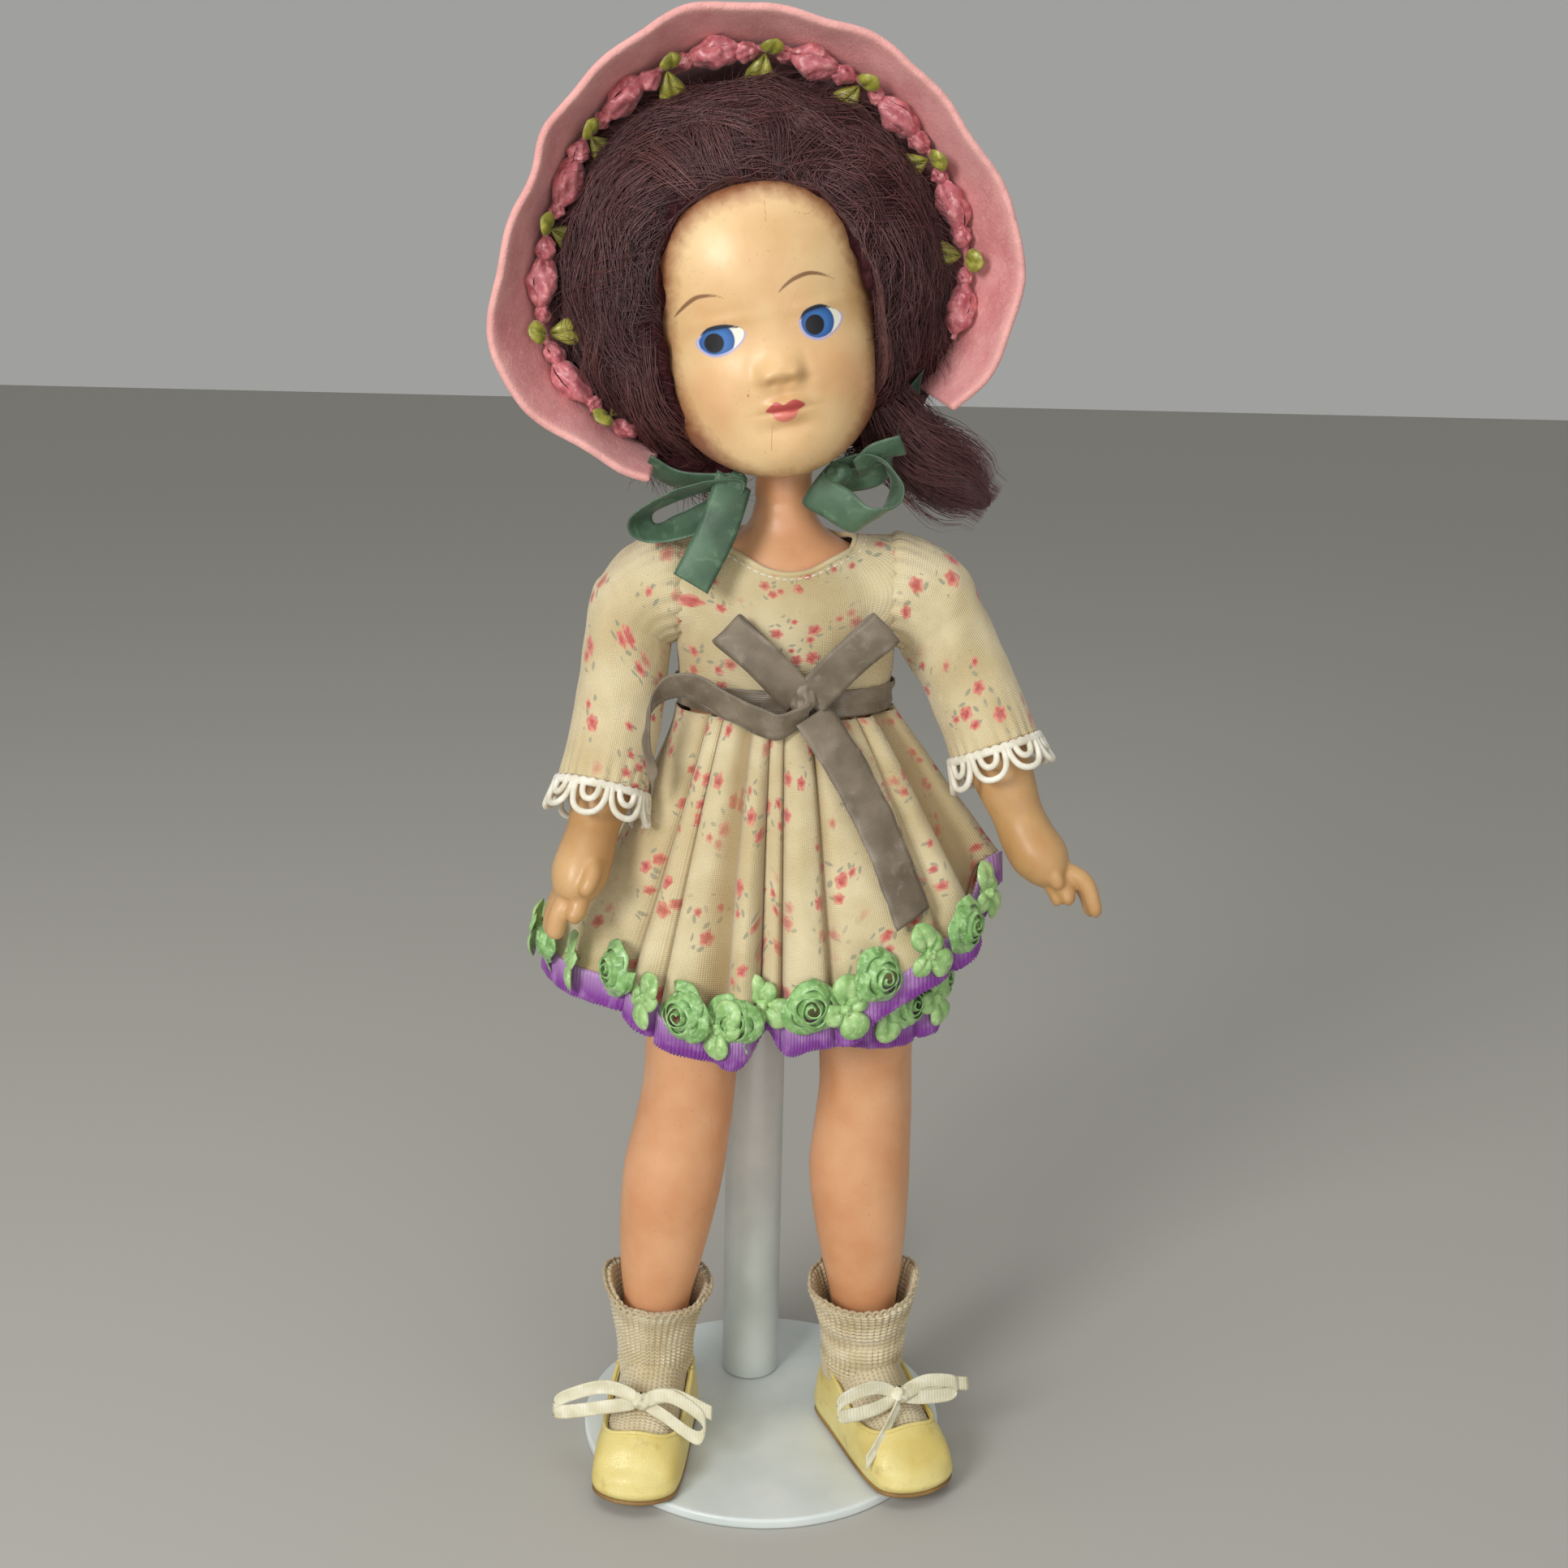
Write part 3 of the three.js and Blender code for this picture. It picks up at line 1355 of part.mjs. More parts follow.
function makeFootwear(side, set) {
  const rimHeight = sockTop - hipZ;
  const ankleHeight = sockBottom + 14 - hipZ;
  const cuffRing = (height, extra, inset) => {
    const share = (height - ankleHeight) / (rimHeight - ankleHeight);
    const ring = legRing(set, height, extra + sockFlare * share ** 2 - inset, 12);
    ring.forEach((p) => {
      p.z += share ** 4 * 0.35 * (p.y - dollY + set.ankleForward); // the rim dips in front
    });
    return ring;
  };
  const heights = steps(ankleHeight, rimHeight, 4);
  const skin = gap + 0.1;
  const cuffSolid = (inset) =>
    solid(loft(heights.map((height) => cuffRing(height, skin + knitThickness, inset))));
  const rimLift = vec(0, 0, 6);
  const hollowHeights = heights.map((height) => cuffRing(height, skin + knitThickness, knitThickness));
  hollowHeights.push(hollowHeights.at(-1).map((p) => p.clone().add(rimLift)));
  const hollow = solid(loft(hollowHeights)).add(footLoft(set, skin, footBottom - gap));
  const sockOuter = cuffSolid(0).add(footLoft(set, skin + knitThickness, sockBottom));
  place(`sock_${side}`, cut(sockOuter, hollow), finishes.knit);

  const overSock = skin + knitThickness + 2 * gap;
  const bootOutside = footLoft(set, overSock + leatherThickness, sockBottom);
  const bootInside = footLoft(set, overSock, sockBottom - 2);
  const ankle = legCentre(set, -hipHeight);
  const angle = turn(set.sign * set.toeOut);
  const throatMiddle = 0.3 * footLength - heelBehind;
  const throat = solid(
    loft(
      [sockBottom + 6.5, sockBottom + 60].map((z) =>
        oval(0, -throatMiddle, z, footHalfWidth - 1.5, 0.29 * footLength, 14),
      ),
    )
      .rotateZ(angle)
      .translate(ankle.x, ankle.y, 0),
  );
  const topline = block(vec(-120, -120, 0), vec(120, 120, sockBottom + 17));
  const ankleRoom = solid(
    loft(steps(ankleHeight - 4, rimHeight, 3).map((height) => legRing(set, height, overSock + 1, 10))),
  );
  const upper = cut(bootOutside.intersect(topline), bootInside, throat, ankleRoom);
  place(`shoe_upper_${side}`, upper, finishes.shoeLeather);

  const rim = overSock + leatherThickness;
  const outline = footRows.map(([share, width]) => {
    return [share * (footLength + 2 * rim) - heelBehind - rim, width * footHalfWidth + rim];
  });
  const shape = new THREE.Shape([
    ...outline.map(([reach, half]) => new THREE.Vector2(half, -reach)),
    ...outline.toReversed().map(([reach, half]) => new THREE.Vector2(-half, -reach)),
  ]);
  const sole = new THREE.ExtrudeGeometry(shape, { depth: soleThickness, bevelEnabled: false });
  sole.rotateZ(angle).translate(ankle.x, ankle.y, soleZ);
  place(`shoe_sole_${side}`, sole, finishes.soleLeather);
  makeShoeTie(side, set);
}

// A ribbon bow in front of the ankle: two loops, two tails and a knot.
function makeShoeTie(side, set) {
  const angle = turn(set.sign * set.toeOut);
  const forward = vec(Math.sin(angle), -Math.cos(angle), 0);
  const sideways = vec(Math.cos(angle), Math.sin(angle), 0);
  const reach = 0.52 * footLength;
  const [, instep] = along(footRows, (reach + heelBehind) / footLength);
  const knotRadius = 2.4;
  const knotZ = footBottom + instep + knitThickness + 4 * gap + knotRadius;
  const knotAt = legCentre(set, -hipHeight).setZ(knotZ).addScaledVector(forward, reach);
  const spot = ([x, y, z]) =>
    knotAt.clone().addScaledVector(sideways, x).addScaledVector(forward, y).add(vec(0, 0, z));
  const flat = vec(0, 0, 1).addScaledVector(forward, 0.5).normalize();
  const loops = [-1, 1].map((way) =>
    solid(
      ribbon(
        [
          [way, 0.2 * way, 0],
          [way * 9, -0.5, 4],
          [way * 19, -1, 1.5],
          [way * 19.5, -0.5, -1.5],
          [way * 9, 0, 0.4],
        ].map(spot),
        tieWidth,
        flat,
        7,
        true,
      ),
    ),
  );
  const tails = [-1, 1].map((way) =>
    solid(
      ribbon(
        [
          [way, 1.2 + 0.2 * way, -0.4],
          [way * 9, 3.5, -0.5],
          [way * 16, 3.5, -6],
          [way * 18, 4, -13],
        ].map(spot),
        tieWidth,
        flat,
        4,
      ),
    ),
  );
  const knot = ball(knotAt.x, knotAt.y, knotAt.z, knotRadius, 8);
  place(`shoe_tie_${side}`, joined(knot, ...loops, ...tails), finishes.tieRibbon);
}

makeStand();
makeClip();
makeTorso();
for (const [side, set] of Object.entries(legSets)) {
  makeLeg(side, set);
  makeFootwear(side, set);
}
for (const [side, set] of Object.entries(armSets)) {
  makeArm(side, set);
  makeSleeve(side, set);
}
makeStringing();
makeHead();
makeBonnet();
makeHairTail();
makeHatTies();
makeBodice();
makeSkirt();
makeSash();

export default doll;
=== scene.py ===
import math
import random

import bpy
import numpy as np
from mathutils import Matrix, Vector, noise

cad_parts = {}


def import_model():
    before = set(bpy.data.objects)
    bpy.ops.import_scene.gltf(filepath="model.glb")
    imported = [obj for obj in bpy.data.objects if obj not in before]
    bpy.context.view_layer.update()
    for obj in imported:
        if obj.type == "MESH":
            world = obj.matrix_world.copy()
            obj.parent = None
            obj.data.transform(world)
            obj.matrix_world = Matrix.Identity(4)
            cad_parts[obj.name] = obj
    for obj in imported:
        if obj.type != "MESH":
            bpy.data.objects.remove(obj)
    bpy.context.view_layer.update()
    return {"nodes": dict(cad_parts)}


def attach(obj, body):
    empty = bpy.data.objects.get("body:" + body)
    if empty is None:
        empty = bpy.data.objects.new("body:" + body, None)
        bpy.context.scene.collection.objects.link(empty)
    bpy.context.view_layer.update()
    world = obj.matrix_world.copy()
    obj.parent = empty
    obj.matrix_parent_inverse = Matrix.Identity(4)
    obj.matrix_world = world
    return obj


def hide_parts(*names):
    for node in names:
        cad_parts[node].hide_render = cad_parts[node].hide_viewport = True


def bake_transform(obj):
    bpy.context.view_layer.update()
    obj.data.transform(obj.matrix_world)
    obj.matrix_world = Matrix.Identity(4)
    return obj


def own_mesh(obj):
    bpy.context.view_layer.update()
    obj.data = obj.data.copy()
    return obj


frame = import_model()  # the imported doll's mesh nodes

mm = 0.001
random.seed(14)

# Joint places and main sizes, in mm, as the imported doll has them
doll = {"x": 2, "y": -4, "hipZ": 163.6, "shoulderZ": 244.6, "waistZ": 214, "hipFace": 8.5,
        "shoulderFace": 27.5}
neckAt = Vector((0.6, -6, 279.6))
headTurn = Matrix.Rotation(math.radians(5), 3, "Z") @ Matrix.Rotation(math.radians(-11.5), 3, "Y")


def toWorld(point):  # from the head's own frame
    return neckAt + headTurn @ Vector(point)


def toLinear(hexColour):
    channels = [int(hexColour[i:i + 2], 16) / 255 for i in (1, 3, 5)]
    return [c / 12.92 if c <= 0.04045 else ((c + 0.055) / 1.055) ** 2.4 for c in channels] + [1]


def smoothStep(x, low, high):
    t = min(max((x - low) / (high - low), 0), 1)
    return t * t * (3 - 2 * t)


def along(rows, x):  # smooth value of a table of [position, value, ...] rows
    last = len(rows) - 1
    i = next((k for k, row in enumerate(rows) if row[0] >= x), last + 1)
    if i > last:
        return rows[-1][1:]
    if i == 0:
        return rows[0][1:]
    a, b, c, d = rows[max(i - 2, 0)], rows[i - 1], rows[i], rows[min(i + 1, last)]
    span = c[0] - b[0]
    t = (x - b[0]) / span
    values = []
    for k in range(1, len(b)):
        leave = (c[k] - a[k]) / (c[0] - a[0]) * span
        arrive = (d[k] - b[k]) / (d[0] - b[0]) * span
        start = b[k] * (1 + 2 * t) * (1 - t) ** 2 + leave * t * (1 - t) ** 2
        values.append(start + c[k] * t * t * (3 - 2 * t) - arrive * t * t * (1 - t))
    return values


def curveThrough(points, count, looped=False):  # evenly spaced places on a smooth curve
    points = [Vector(p) for p in points]
    n = len(points)
    dense = []
    for i in range(n if looped else n - 1):
        b, c = points[i], points[(i + 1) % n]
        a = points[i - 1] if looped or i > 0 else 2 * b - c
        d = points[(i + 2) % n] if looped or i + 2 < n else 2 * c - b
        for k in range(24):
            t = k / 24
            dense.append(0.5 * (2 * b + (c - a) * t + (2 * a - 5 * b + 4 * c - d) * t * t
                                + (3 * b - a - 3 * c + d) * t ** 3))
    dense.append(points[0] if looped else points[-1])
    runs = [0]
    for p, q in zip(dense, dense[1:]):
        runs.append(runs[-1] + (q - p).length)
    marks = np.linspace(0, runs[-1], count + 1)
    columns = [np.interp(marks, runs, [p[k] for p in dense]) for k in range(len(points[0]))]
    return [Vector(p) for p in zip(*columns)]


def pathLength(points, looped=False):
    places = curveThrough(points, 200, looped)
    return sum((q - p).length for p, q in zip(places, places[1:]))


def framesAlong(points, count):  # centre, across and up at each step
    places = curveThrough(points, count)
    frames = []
    for i, centre in enumerate(places):
        ahead = (places[min(i + 1, count)] - places[max(i - 1, 0)]).normalized()
        across = ahead.cross(Vector((0, 1, 0))).normalized()
        frames.append((centre, across, across.cross(ahead).normalized()))
    return frames


def bisect(low, high, test, rounds=16):  # where test turns false
    for _ in range(rounds):
        middle = (low + high) / 2
        low, high = (middle, high) if test(middle) else (low, middle)
    return low


def only(*pieces):
    if bpy.context.object and bpy.context.object.mode != "OBJECT":
        bpy.ops.object.mode_set(mode="OBJECT")
    bpy.ops.object.select_all(action="DESELECT")
    for piece in pieces:
        piece.select_set(True)
    bpy.context.view_layer.objects.active = pieces[0]


# A primitive grid whose points go to place(u, v), u and v from 0 to 1; cloth is its flat size for the UV map
def shapeGrid(name, columns, rows, place, cloth=(1, 1), weld=True):
    bpy.ops.object.select_all(action="DESELECT")
    bpy.ops.mesh.primitive_grid_add(x_subdivisions=columns, y_subdivisions=rows, size=1)
    piece = bpy.context.object
    piece.name = piece.data.name = name
    for vertex in piece.data.vertices:
        vertex.co = Vector(place(vertex.co.x + 0.5, vertex.co.y + 0.5)) * mm
    layer = piece.data.uv_layers[0]
    layer.name = "cloth"
    for corner in layer.data:
        corner.uv = corner.uv[0] * cloth[0], corner.uv[1] * cloth[1]
    if weld:
        only(piece)
        bpy.ops.object.mode_set(mode="EDIT")
        bpy.ops.mesh.select_all(action="SELECT")
        bpy.ops.mesh.remove_doubles(threshold=2e-6)
        bpy.ops.mesh.normals_make_consistent(inside=False)
        bpy.ops.object.mode_set(mode="OBJECT")
    return piece


def joinPieces(name, pieces):
    only(*pieces)
    if len(pieces) > 1:
        bpy.ops.object.join()
    piece = bpy.context.object
    piece.name = piece.data.name = name
    return piece


def thicken(piece, thickness, offset=1, smoothed=0):
    only(piece)
    wall = piece.modifiers.new("wall", "SOLIDIFY")
    wall.thickness = thickness * mm
    wall.offset = offset
    bpy.ops.object.modifier_apply(modifier=wall.name)
    if smoothed:
        rounding = piece.modifiers.new("rounding", "SUBSURF")
        rounding.levels = rounding.render_levels = smoothed
        bpy.ops.object.modifier_apply(modifier=rounding.name)
    return piece


def finishPiece(piece, material, body, slot, *nodes):
    only(piece)
    bpy.ops.object.shade_smooth()
    if material:
        piece.data.materials.clear()
        piece.data.materials.append(material)
    if body:
        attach(piece, body)
    if nodes:
        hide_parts(*nodes)
    return piece


# Many thin round cords made as one bevelled curve and turned into a mesh
def cordMesh(name, paths, radius, sides=0, taper=None, tones=None):
    data = bpy.data.curves.new(name, "CURVE")
    data.dimensions = "3D"
    data.bevel_depth = radius * mm
    data.bevel_resolution = sides
    data.use_fill_caps = sides > 0
    for path in paths:
        spline = data.splines.new("POLY")
        spline.points.add(len(path) - 1)
        spline.points.foreach_set("co", [c for p in path for c in (p[0] * mm, p[1] * mm, p[2] * mm, 1)])
        if taper:
            shares = [i / (len(path) - 1) for i in range(len(path))]
            spline.points.foreach_set("radius", [taper(share) for share in shares])
    piece = bpy.data.objects.new(name, data)
    bpy.context.collection.objects.link(piece)
    only(piece)
    bpy.ops.object.convert(target="MESH")
    piece = bpy.context.object
    piece.name = piece.data.name = name
    if tones:  # one value for each path, for the material to shade by
        ring = len(piece.data.vertices) // sum(len(path) for path in paths)
        layer = piece.data.attributes.new("strand", "FLOAT", "POINT")
        each = np.repeat(tones, [ring * len(path) for path in paths])
        layer.data.foreach_set("value", each.astype(np.float32))
    return piece


def addNode(tree, kind, links=None, **settings):
    node = tree.nodes.new("ShaderNode" + kind)
    for key, value in settings.items():
        setattr(node, key, value)
    for socket, value in (links or {}).items():
        if isinstance(value, bpy.types.NodeSocket):
            tree.links.new(value, node.inputs[socket])
        else:
            node.inputs[socket].default_value = value
    return node


# A material with its shader's fixed values set; colour and bump are linked afterwards
def startMaterial(name, **values):
    material = bpy.data.materials.new(name)
    material.use_nodes = True
    shader = material.node_tree.nodes["Principled BSDF"]
    for key, value in values.items():
        shader.inputs[key.replace("_", " ")].default_value = value
    return material, material.node_tree, shader


# Two tones blended by a noise of the given grain size in mm
def twoTone(tree, coords, grain, dark, light, low=0.35, high=0.65):
    spots = addNode(tree, "TexNoise", {"Vector": coords, "Scale": 1000 / grain, "Detail": 3})
    share = addNode(tree, "MapRange", {0: spots.outputs[0], 1: low, 2: high})
    tones = {0: share.outputs[0], 6: dark, 7: light}
    return addNode(tree, "Mix", tones, data_type="RGBA").outputs[2]


def overlay(tree, factor, under, colour):  # colour laid over what is under it
    return addNode(tree, "Mix", {0: factor, 6: under, 7: colour}, data_type="RGBA").outputs[2]


def tint(tree, tone, source, low, high, strength, colour):  # colour over tone as source goes low to high
    cover = addNode(tree, "MapRange", {0: source, 1: low, 2: high, 4: strength})
    return overlay(tree, cover.outputs[0], tone, toLinear(colour))


def setBump(tree, shader, height, depth, strength):
    bump = addNode(tree, "Bump", {"Height": height, "Strength": strength, "Distance": depth * mm})
    tree.links.new(bump.outputs[0], shader.inputs["Normal"])


# Enamelled steel: smooth sprayed white, faintly cool, with a soft gloss and a fine orange peel
def makeEnamel():
    material, tree, shader = startMaterial("whiteEnamel", Roughness=0.34, Coat_Weight=0.25,
                                           Coat_Roughness=0.2)
    coords = addNode(tree, "TexCoord").outputs["Object"]
    tone = twoTone(tree, coords, 22, toLinear("#D3DBD8"), toLinear("#E3E9E6"))
    tree.links.new(tone, shader.inputs["Base Color"])
    peel = addNode(tree, "TexNoise", {"Vector": coords, "Scale": 1000 / 1.4, "Detail": 2})
    setBump(tree, shader, peel.outputs[0], 0.05, 0.25)
    return material


# Painted composition: warm flesh lacquer over pressed pulp, mottled, glossy, with a few hairline crazes
def makeFlesh(name, deep, light, blush, layers=()):
    material, tree, shader = startMaterial(
        name, Roughness=0.44, Coat_Weight=0.28, Coat_Roughness=0.3, Subsurface_Weight=0.05)
    shader.inputs["Subsurface Radius"].default_value = (0.002, 0.001, 0.0006)
    coords = addNode(tree, "TexCoord").outputs["Object"]
    tone = twoTone(tree, coords, 16, toLinear(deep), toLinear(light))
    patches = addNode(tree, "TexNoise", {"Vector": coords, "Scale": 1000 / 30, "Detail": 2})
    tone = tint(tree, tone, patches.outputs[0], 0.5, 0.75, 0.35, blush)
    specks = addNode(tree, "TexNoise", {"Vector": coords, "Scale": 1000 / 1.1, "Detail": 2})
    tone = tint(tree, tone, specks.outputs[0], 0.66, 0.76, 0.3, "#A87A4C")
    # crazes run mostly up and down, so the cells are drawn out along z
    drawn = addNode(tree, "Mapping", {"Vector": coords, "Scale": (1, 1, 0.28)})
    cells = addNode(tree, "TexVoronoi", {"Vector": drawn.outputs[0], "Scale": 1000 / 11},
                    feature="DISTANCE_TO_EDGE")
    crack = addNode(tree, "MapRange", {0: cells.outputs[0], 1: 0.012, 2: 0.0})
    where = addNode(tree, "MapRange", {0: patches.outputs[0], 1: 0.6, 2: 0.74, 4: 0.22})
    craze = addNode(tree, "Math", {0: crack.outputs[0], 1: where.outputs[0]}, operation="MULTIPLY")
    tone = overlay(tree, craze.outputs[0], tone, toLinear("#8F6238"))
    for attribute, colour, edge, strength in layers:  # painted features, by their distance in mm
        reach = addNode(tree, "Attribute", attribute_name=attribute)
        tone = tint(tree, tone, reach.outputs["Fac"], edge, -edge, strength, colour)
    tree.links.new(tone, shader.inputs["Base Color"])
    gloss = addNode(tree, "MapRange", {0: specks.outputs[0], 1: 0.3, 2: 0.75, 3: 0.4, 4: 0.54})
    tree.links.new(gloss.outputs[0], shader.inputs["Roughness"])
    peel = addNode(tree, "TexNoise", {"Vector": coords, "Scale": 1000 / 2.6, "Detail": 3})
    relief = addNode(tree, "Math", {0: craze.outputs[0], 1: -1.5, 2: peel.outputs[0]},
                     operation="MULTIPLY_ADD")
    setBump(tree, shader, relief.outputs[0], 0.12, 0.3)
    return material


enamel = makeEnamel()
flesh = makeFlesh("paintedComposition", "#D8996A", "#E4AD80", "#DC9064")
tanFlesh = makeFlesh("agedComposition", "#BE905A", "#D2A873", "#C08858")
print("materials for stand and body ready")

# Display stand
stand = {"baseRadius": 51, "baseThickness": 3, "edge": 0.9, "postX": -4, "postY": 23.5, "postRadius": 8.3,
         "postWall": 1.6, "postFoot": 3.3, "postTop": 118, "rodRadius": 3, "rodFoot": 70, "rodTop": 174}


# A turned solid about an upright axis from an outline of [radius, height]
def turned(name, outline, x, y, sides):
    def place(u, v):
        spot = v * (len(outline) - 1)
        i = min(int(spot), len(outline) - 2)
        radius, z = (a + (b - a) * (spot - i) for a, b in zip(outline[i], outline[i + 1]))
        return x + radius * math.cos(u * math.tau), y + radius * math.sin(u * math.tau), z
    return shapeGrid(name, sides, len(outline) - 1, place)


def makeStand():
    r, t, edge = stand["baseRadius"], stand["baseThickness"], stand["edge"]
    arc = [math.radians(a) for a in range(0, 91, 15)]
    corner = [(r - edge + edge * math.sin(a), edge - edge * math.cos(a)) for a in arc]
    upper = [(r - edge + edge * math.cos(a), t - edge + edge * math.sin(a)) for a in arc]
    disc = [(0, 0), (r * 0.5, 0), (r - 2.2, 0)] + corner + upper
    disc += [(r - 2.2, t), (r * 0.7, t), (r * 0.3, t), (0, t)]
    base = turned("stand_base_disc", disc, 0, 0, 160)
    inner = stand["postRadius"] - stand["postWall"]
    collar = [(0, 1.5), (inner - 0.3, 1.5), (inner - 0.3, t + 13.5), (inner - 0.8, t + 14), (0, t + 14)]
    stub = turned("stub", collar, stand["postX"], stand["postY"], 48)
    finishPiece(joinPieces("stand_base_disc", [base, stub]), enamel, "stand", "stand_paint", "stand_base")

    outer, low, high = stand["postRadius"], stand["postFoot"], stand["postTop"]
    wall = [(inner, low), (outer - 0.4, low), (outer, low + 0.4), (outer, (low + high) / 2),
            (outer, high - 0.5), (outer - 0.2, high - 0.15), (outer - 0.5, high), (inner + 0.3, high),
            (inner, high - 0.3), (inner, low)]
    post = turned("stand_tube", wall, stand["postX"], stand["postY"], 72)
    finishPiece(post, enamel, "stand", "stand_paint", "stand_post")
    rodRadius, rodLow, rodHigh = stand["rodRadius"], stand["rodFoot"], stand["rodTop"]
    rod = [(0, rodLow), (rodRadius - 0.4, rodLow), (rodRadius, rodLow + 0.4), (rodRadius, rodHigh - 0.4),
           (rodRadius - 0.4, rodHigh), (0, rodHigh)]
    slider = turned("stand_slide_rod", rod, stand["postX"], stand["postY"], 40)
    finishPiece(slider, enamel, "torso", "stand_paint", "stand_rod")


makeStand()
print("stand made")

# Torso: rows of height, half width and half depth
torso = {"rows": [[148.6, 13, 11], [154.6, 24, 15.5], [163.6, 30, 18], [179.6, 31, 18], [195.6, 28, 16.8],
                  [210.6, 24.5, 15.5], [222.6, 25.4, 16.5], [235.6, 26.6, 17.5], [246.6, 26.4, 16],
                  [252.6, 23, 13.5], [256.6, 15, 11], [259.6, 10.5, 9], [263.6, 8, 7.7], [272.6, 7, 7],
                  [279.6, 7, 7]],
         "neckBall": 9, "hipRoom": 17.7, "creaseZ": 266.5, "creaseDepth": 0.5}


def torsoPoint(angle, z, extra=0):
    halfWidth, halfDepth = along(torso["rows"], z)
    lean = smoothStep(z, doll["shoulderZ"], neckAt.z - 7)
    x = doll["x"] + lean * (neckAt.x - doll["x"])
    y = doll["y"] + lean * (neckAt.y - doll["y"])
    return Vector((x + (halfWidth + extra) * math.cos(angle), y + (halfDepth + extra) * math.sin(angle), z))


def makeTorso():
    low, high = torso["rows"][0][0], neckAt.z

    def place(u, v):
        angle = u * math.tau
        if v < 0.02:  # the closed crotch end
            point = torsoPoint(angle, low)
            return point.lerp(Vector((doll["x"], doll["y"], low)), 1 - v / 0.02)
        if v > 0.9:  # the neck ball closes the top
            fall = math.radians(-38 + 128 * (v - 0.9) / 0.1)
            ball = torso["neckBall"]
            ring = max(ball * math.cos(fall), 1e-4)
            return neckAt + Vector((ring * math.cos(angle), ring * math.sin(angle), ball * math.sin(fall)))
        z = low + (high - 6 - low) * (v - 0.02) / 0.88
        crease = torso["creaseDepth"] * math.exp(-((z - torso["creaseZ"]) / 0.7) ** 2)
        return torsoPoint(angle, z, -crease)

    body = shapeGrid("torso_casting", 96, 150, place)
    cutters = []
    for sign in (-1, 1):  # room for a leg that swings forward
        inner = doll["x"] + sign * (doll["hipFace"] - 0.3)
        middle = (inner + sign * 30) * mm
        bpy.ops.mesh.primitive_cylinder_add(
            vertices=64, radius=torso["hipRoom"] * mm, depth=60 * mm,
            location=(middle, doll["y"] * mm, doll["hipZ"] * mm), rotation=(0, math.pi / 2, 0))
        cutters.append(bpy.context.object)
        for depth, y, z in ((60, -30, torso["hipRoom"] - 30), (120, 0, -30)):
            spot = (middle, (doll["y"] + y) * mm, (doll["hipZ"] + z) * mm)
            bpy.ops.mesh.primitive_cube_add(size=mm, location=spot)
            box = bpy.context.object
            box.scale = 60, depth, 60
            cutters.append(box)
    for cutter in cutters:
        only(cutter)
        bpy.ops.object.transform_apply(location=True, rotation=True, scale=True)
        only(body)
        hollow = body.modifiers.new("hip", "BOOLEAN")
        hollow.object = cutter
        hollow.operation = "DIFFERENCE"
        bpy.ops.object.modifier_apply(modifier=hollow.name)
        bpy.data.objects.remove(cutter)
    finishPiece(body, flesh, "torso", "composition", "torso")
    only(body)
    bpy.ops.object.shade_smooth_by_angle(angle=math.radians(40))


makeTorso()
print("torso made")

# Legs: rows of height above the hip axis, half width and half depth, and each leg's own set
legs = {"rows": [[-156, 8.6, 8.6], [-134, 8.4, 9.4], [-120, 9.4, 9.6], [-108, 11.4, 11], [-95, 13, 12.6],
                 [-81, 13.9, 13.6], [-68, 13.3, 13], [-54, 12.6, 12.4], [-40, 12.8, 13.2],
                 [-24, 13.3, 14.4], [-12, 13.5, 15.4], [0, 13.5, 16.4], [6, 13, 15.2], [11, 11.5, 12.2],
                 [14.5, 9, 8], [16.5, 5, 2.5]],
        "right": {"sign": -1, "knee": 2, "calf": 6.2, "ankle": 10.6, "forward": 3, "toeOut": 6},
        "left": {"sign": 1, "knee": 3, "calf": 2.2, "ankle": 4.6, "forward": -1, "toeOut": 24}}
foot = {"length": 46, "halfWidth": 8.6, "heelBehind": 9, "bottom": 7, "height": 160,
        "rows": [[0, 0.4, 9], [0.05, 0.72, 18], [0.15, 0.88, 25.5], [0.32, 0.92, 25.5], [0.5, 0.97, 18.5],
                 [0.7, 1, 13.5], [0.85, 0.94, 10.5], [0.94, 0.72, 8.2], [1, 0.34, 5]]}


def legCentre(leg, height):
    rows = [[-160, leg["ankle"], leg["forward"]], [-122, leg["ankle"], leg["forward"]],
            [-82, leg["calf"], leg["forward"] * 0.7], [-54, leg["knee"], leg["forward"] * 0.4], [0, 0, 0],
            [20, 0, 0]]
    out, forward = along(rows, height)
    x = doll["x"] + leg["sign"] * (doll["hipFace"] + 13 + out)
    return Vector((x, doll["y"] - forward, doll["hipZ"] + height))


def legPoint(leg, height, angle, extra):
    halfWidth, halfDepth = along(legs["rows"], height)
    offset = Vector(((halfWidth + extra) * math.cos(angle), (halfDepth + extra) * math.sin(angle), 0))
    return legCentre(leg, height) + offset


def footFrame(leg):  # ankle point, forward and sideways on the floor
    turn = math.radians(leg["sign"] * leg["toeOut"])
    ankle = legCentre(leg, -foot["height"])
    return ankle, Vector((math.sin(turn), -math.cos(turn), 0)), Vector((math.cos(turn), math.sin(turn), 0))


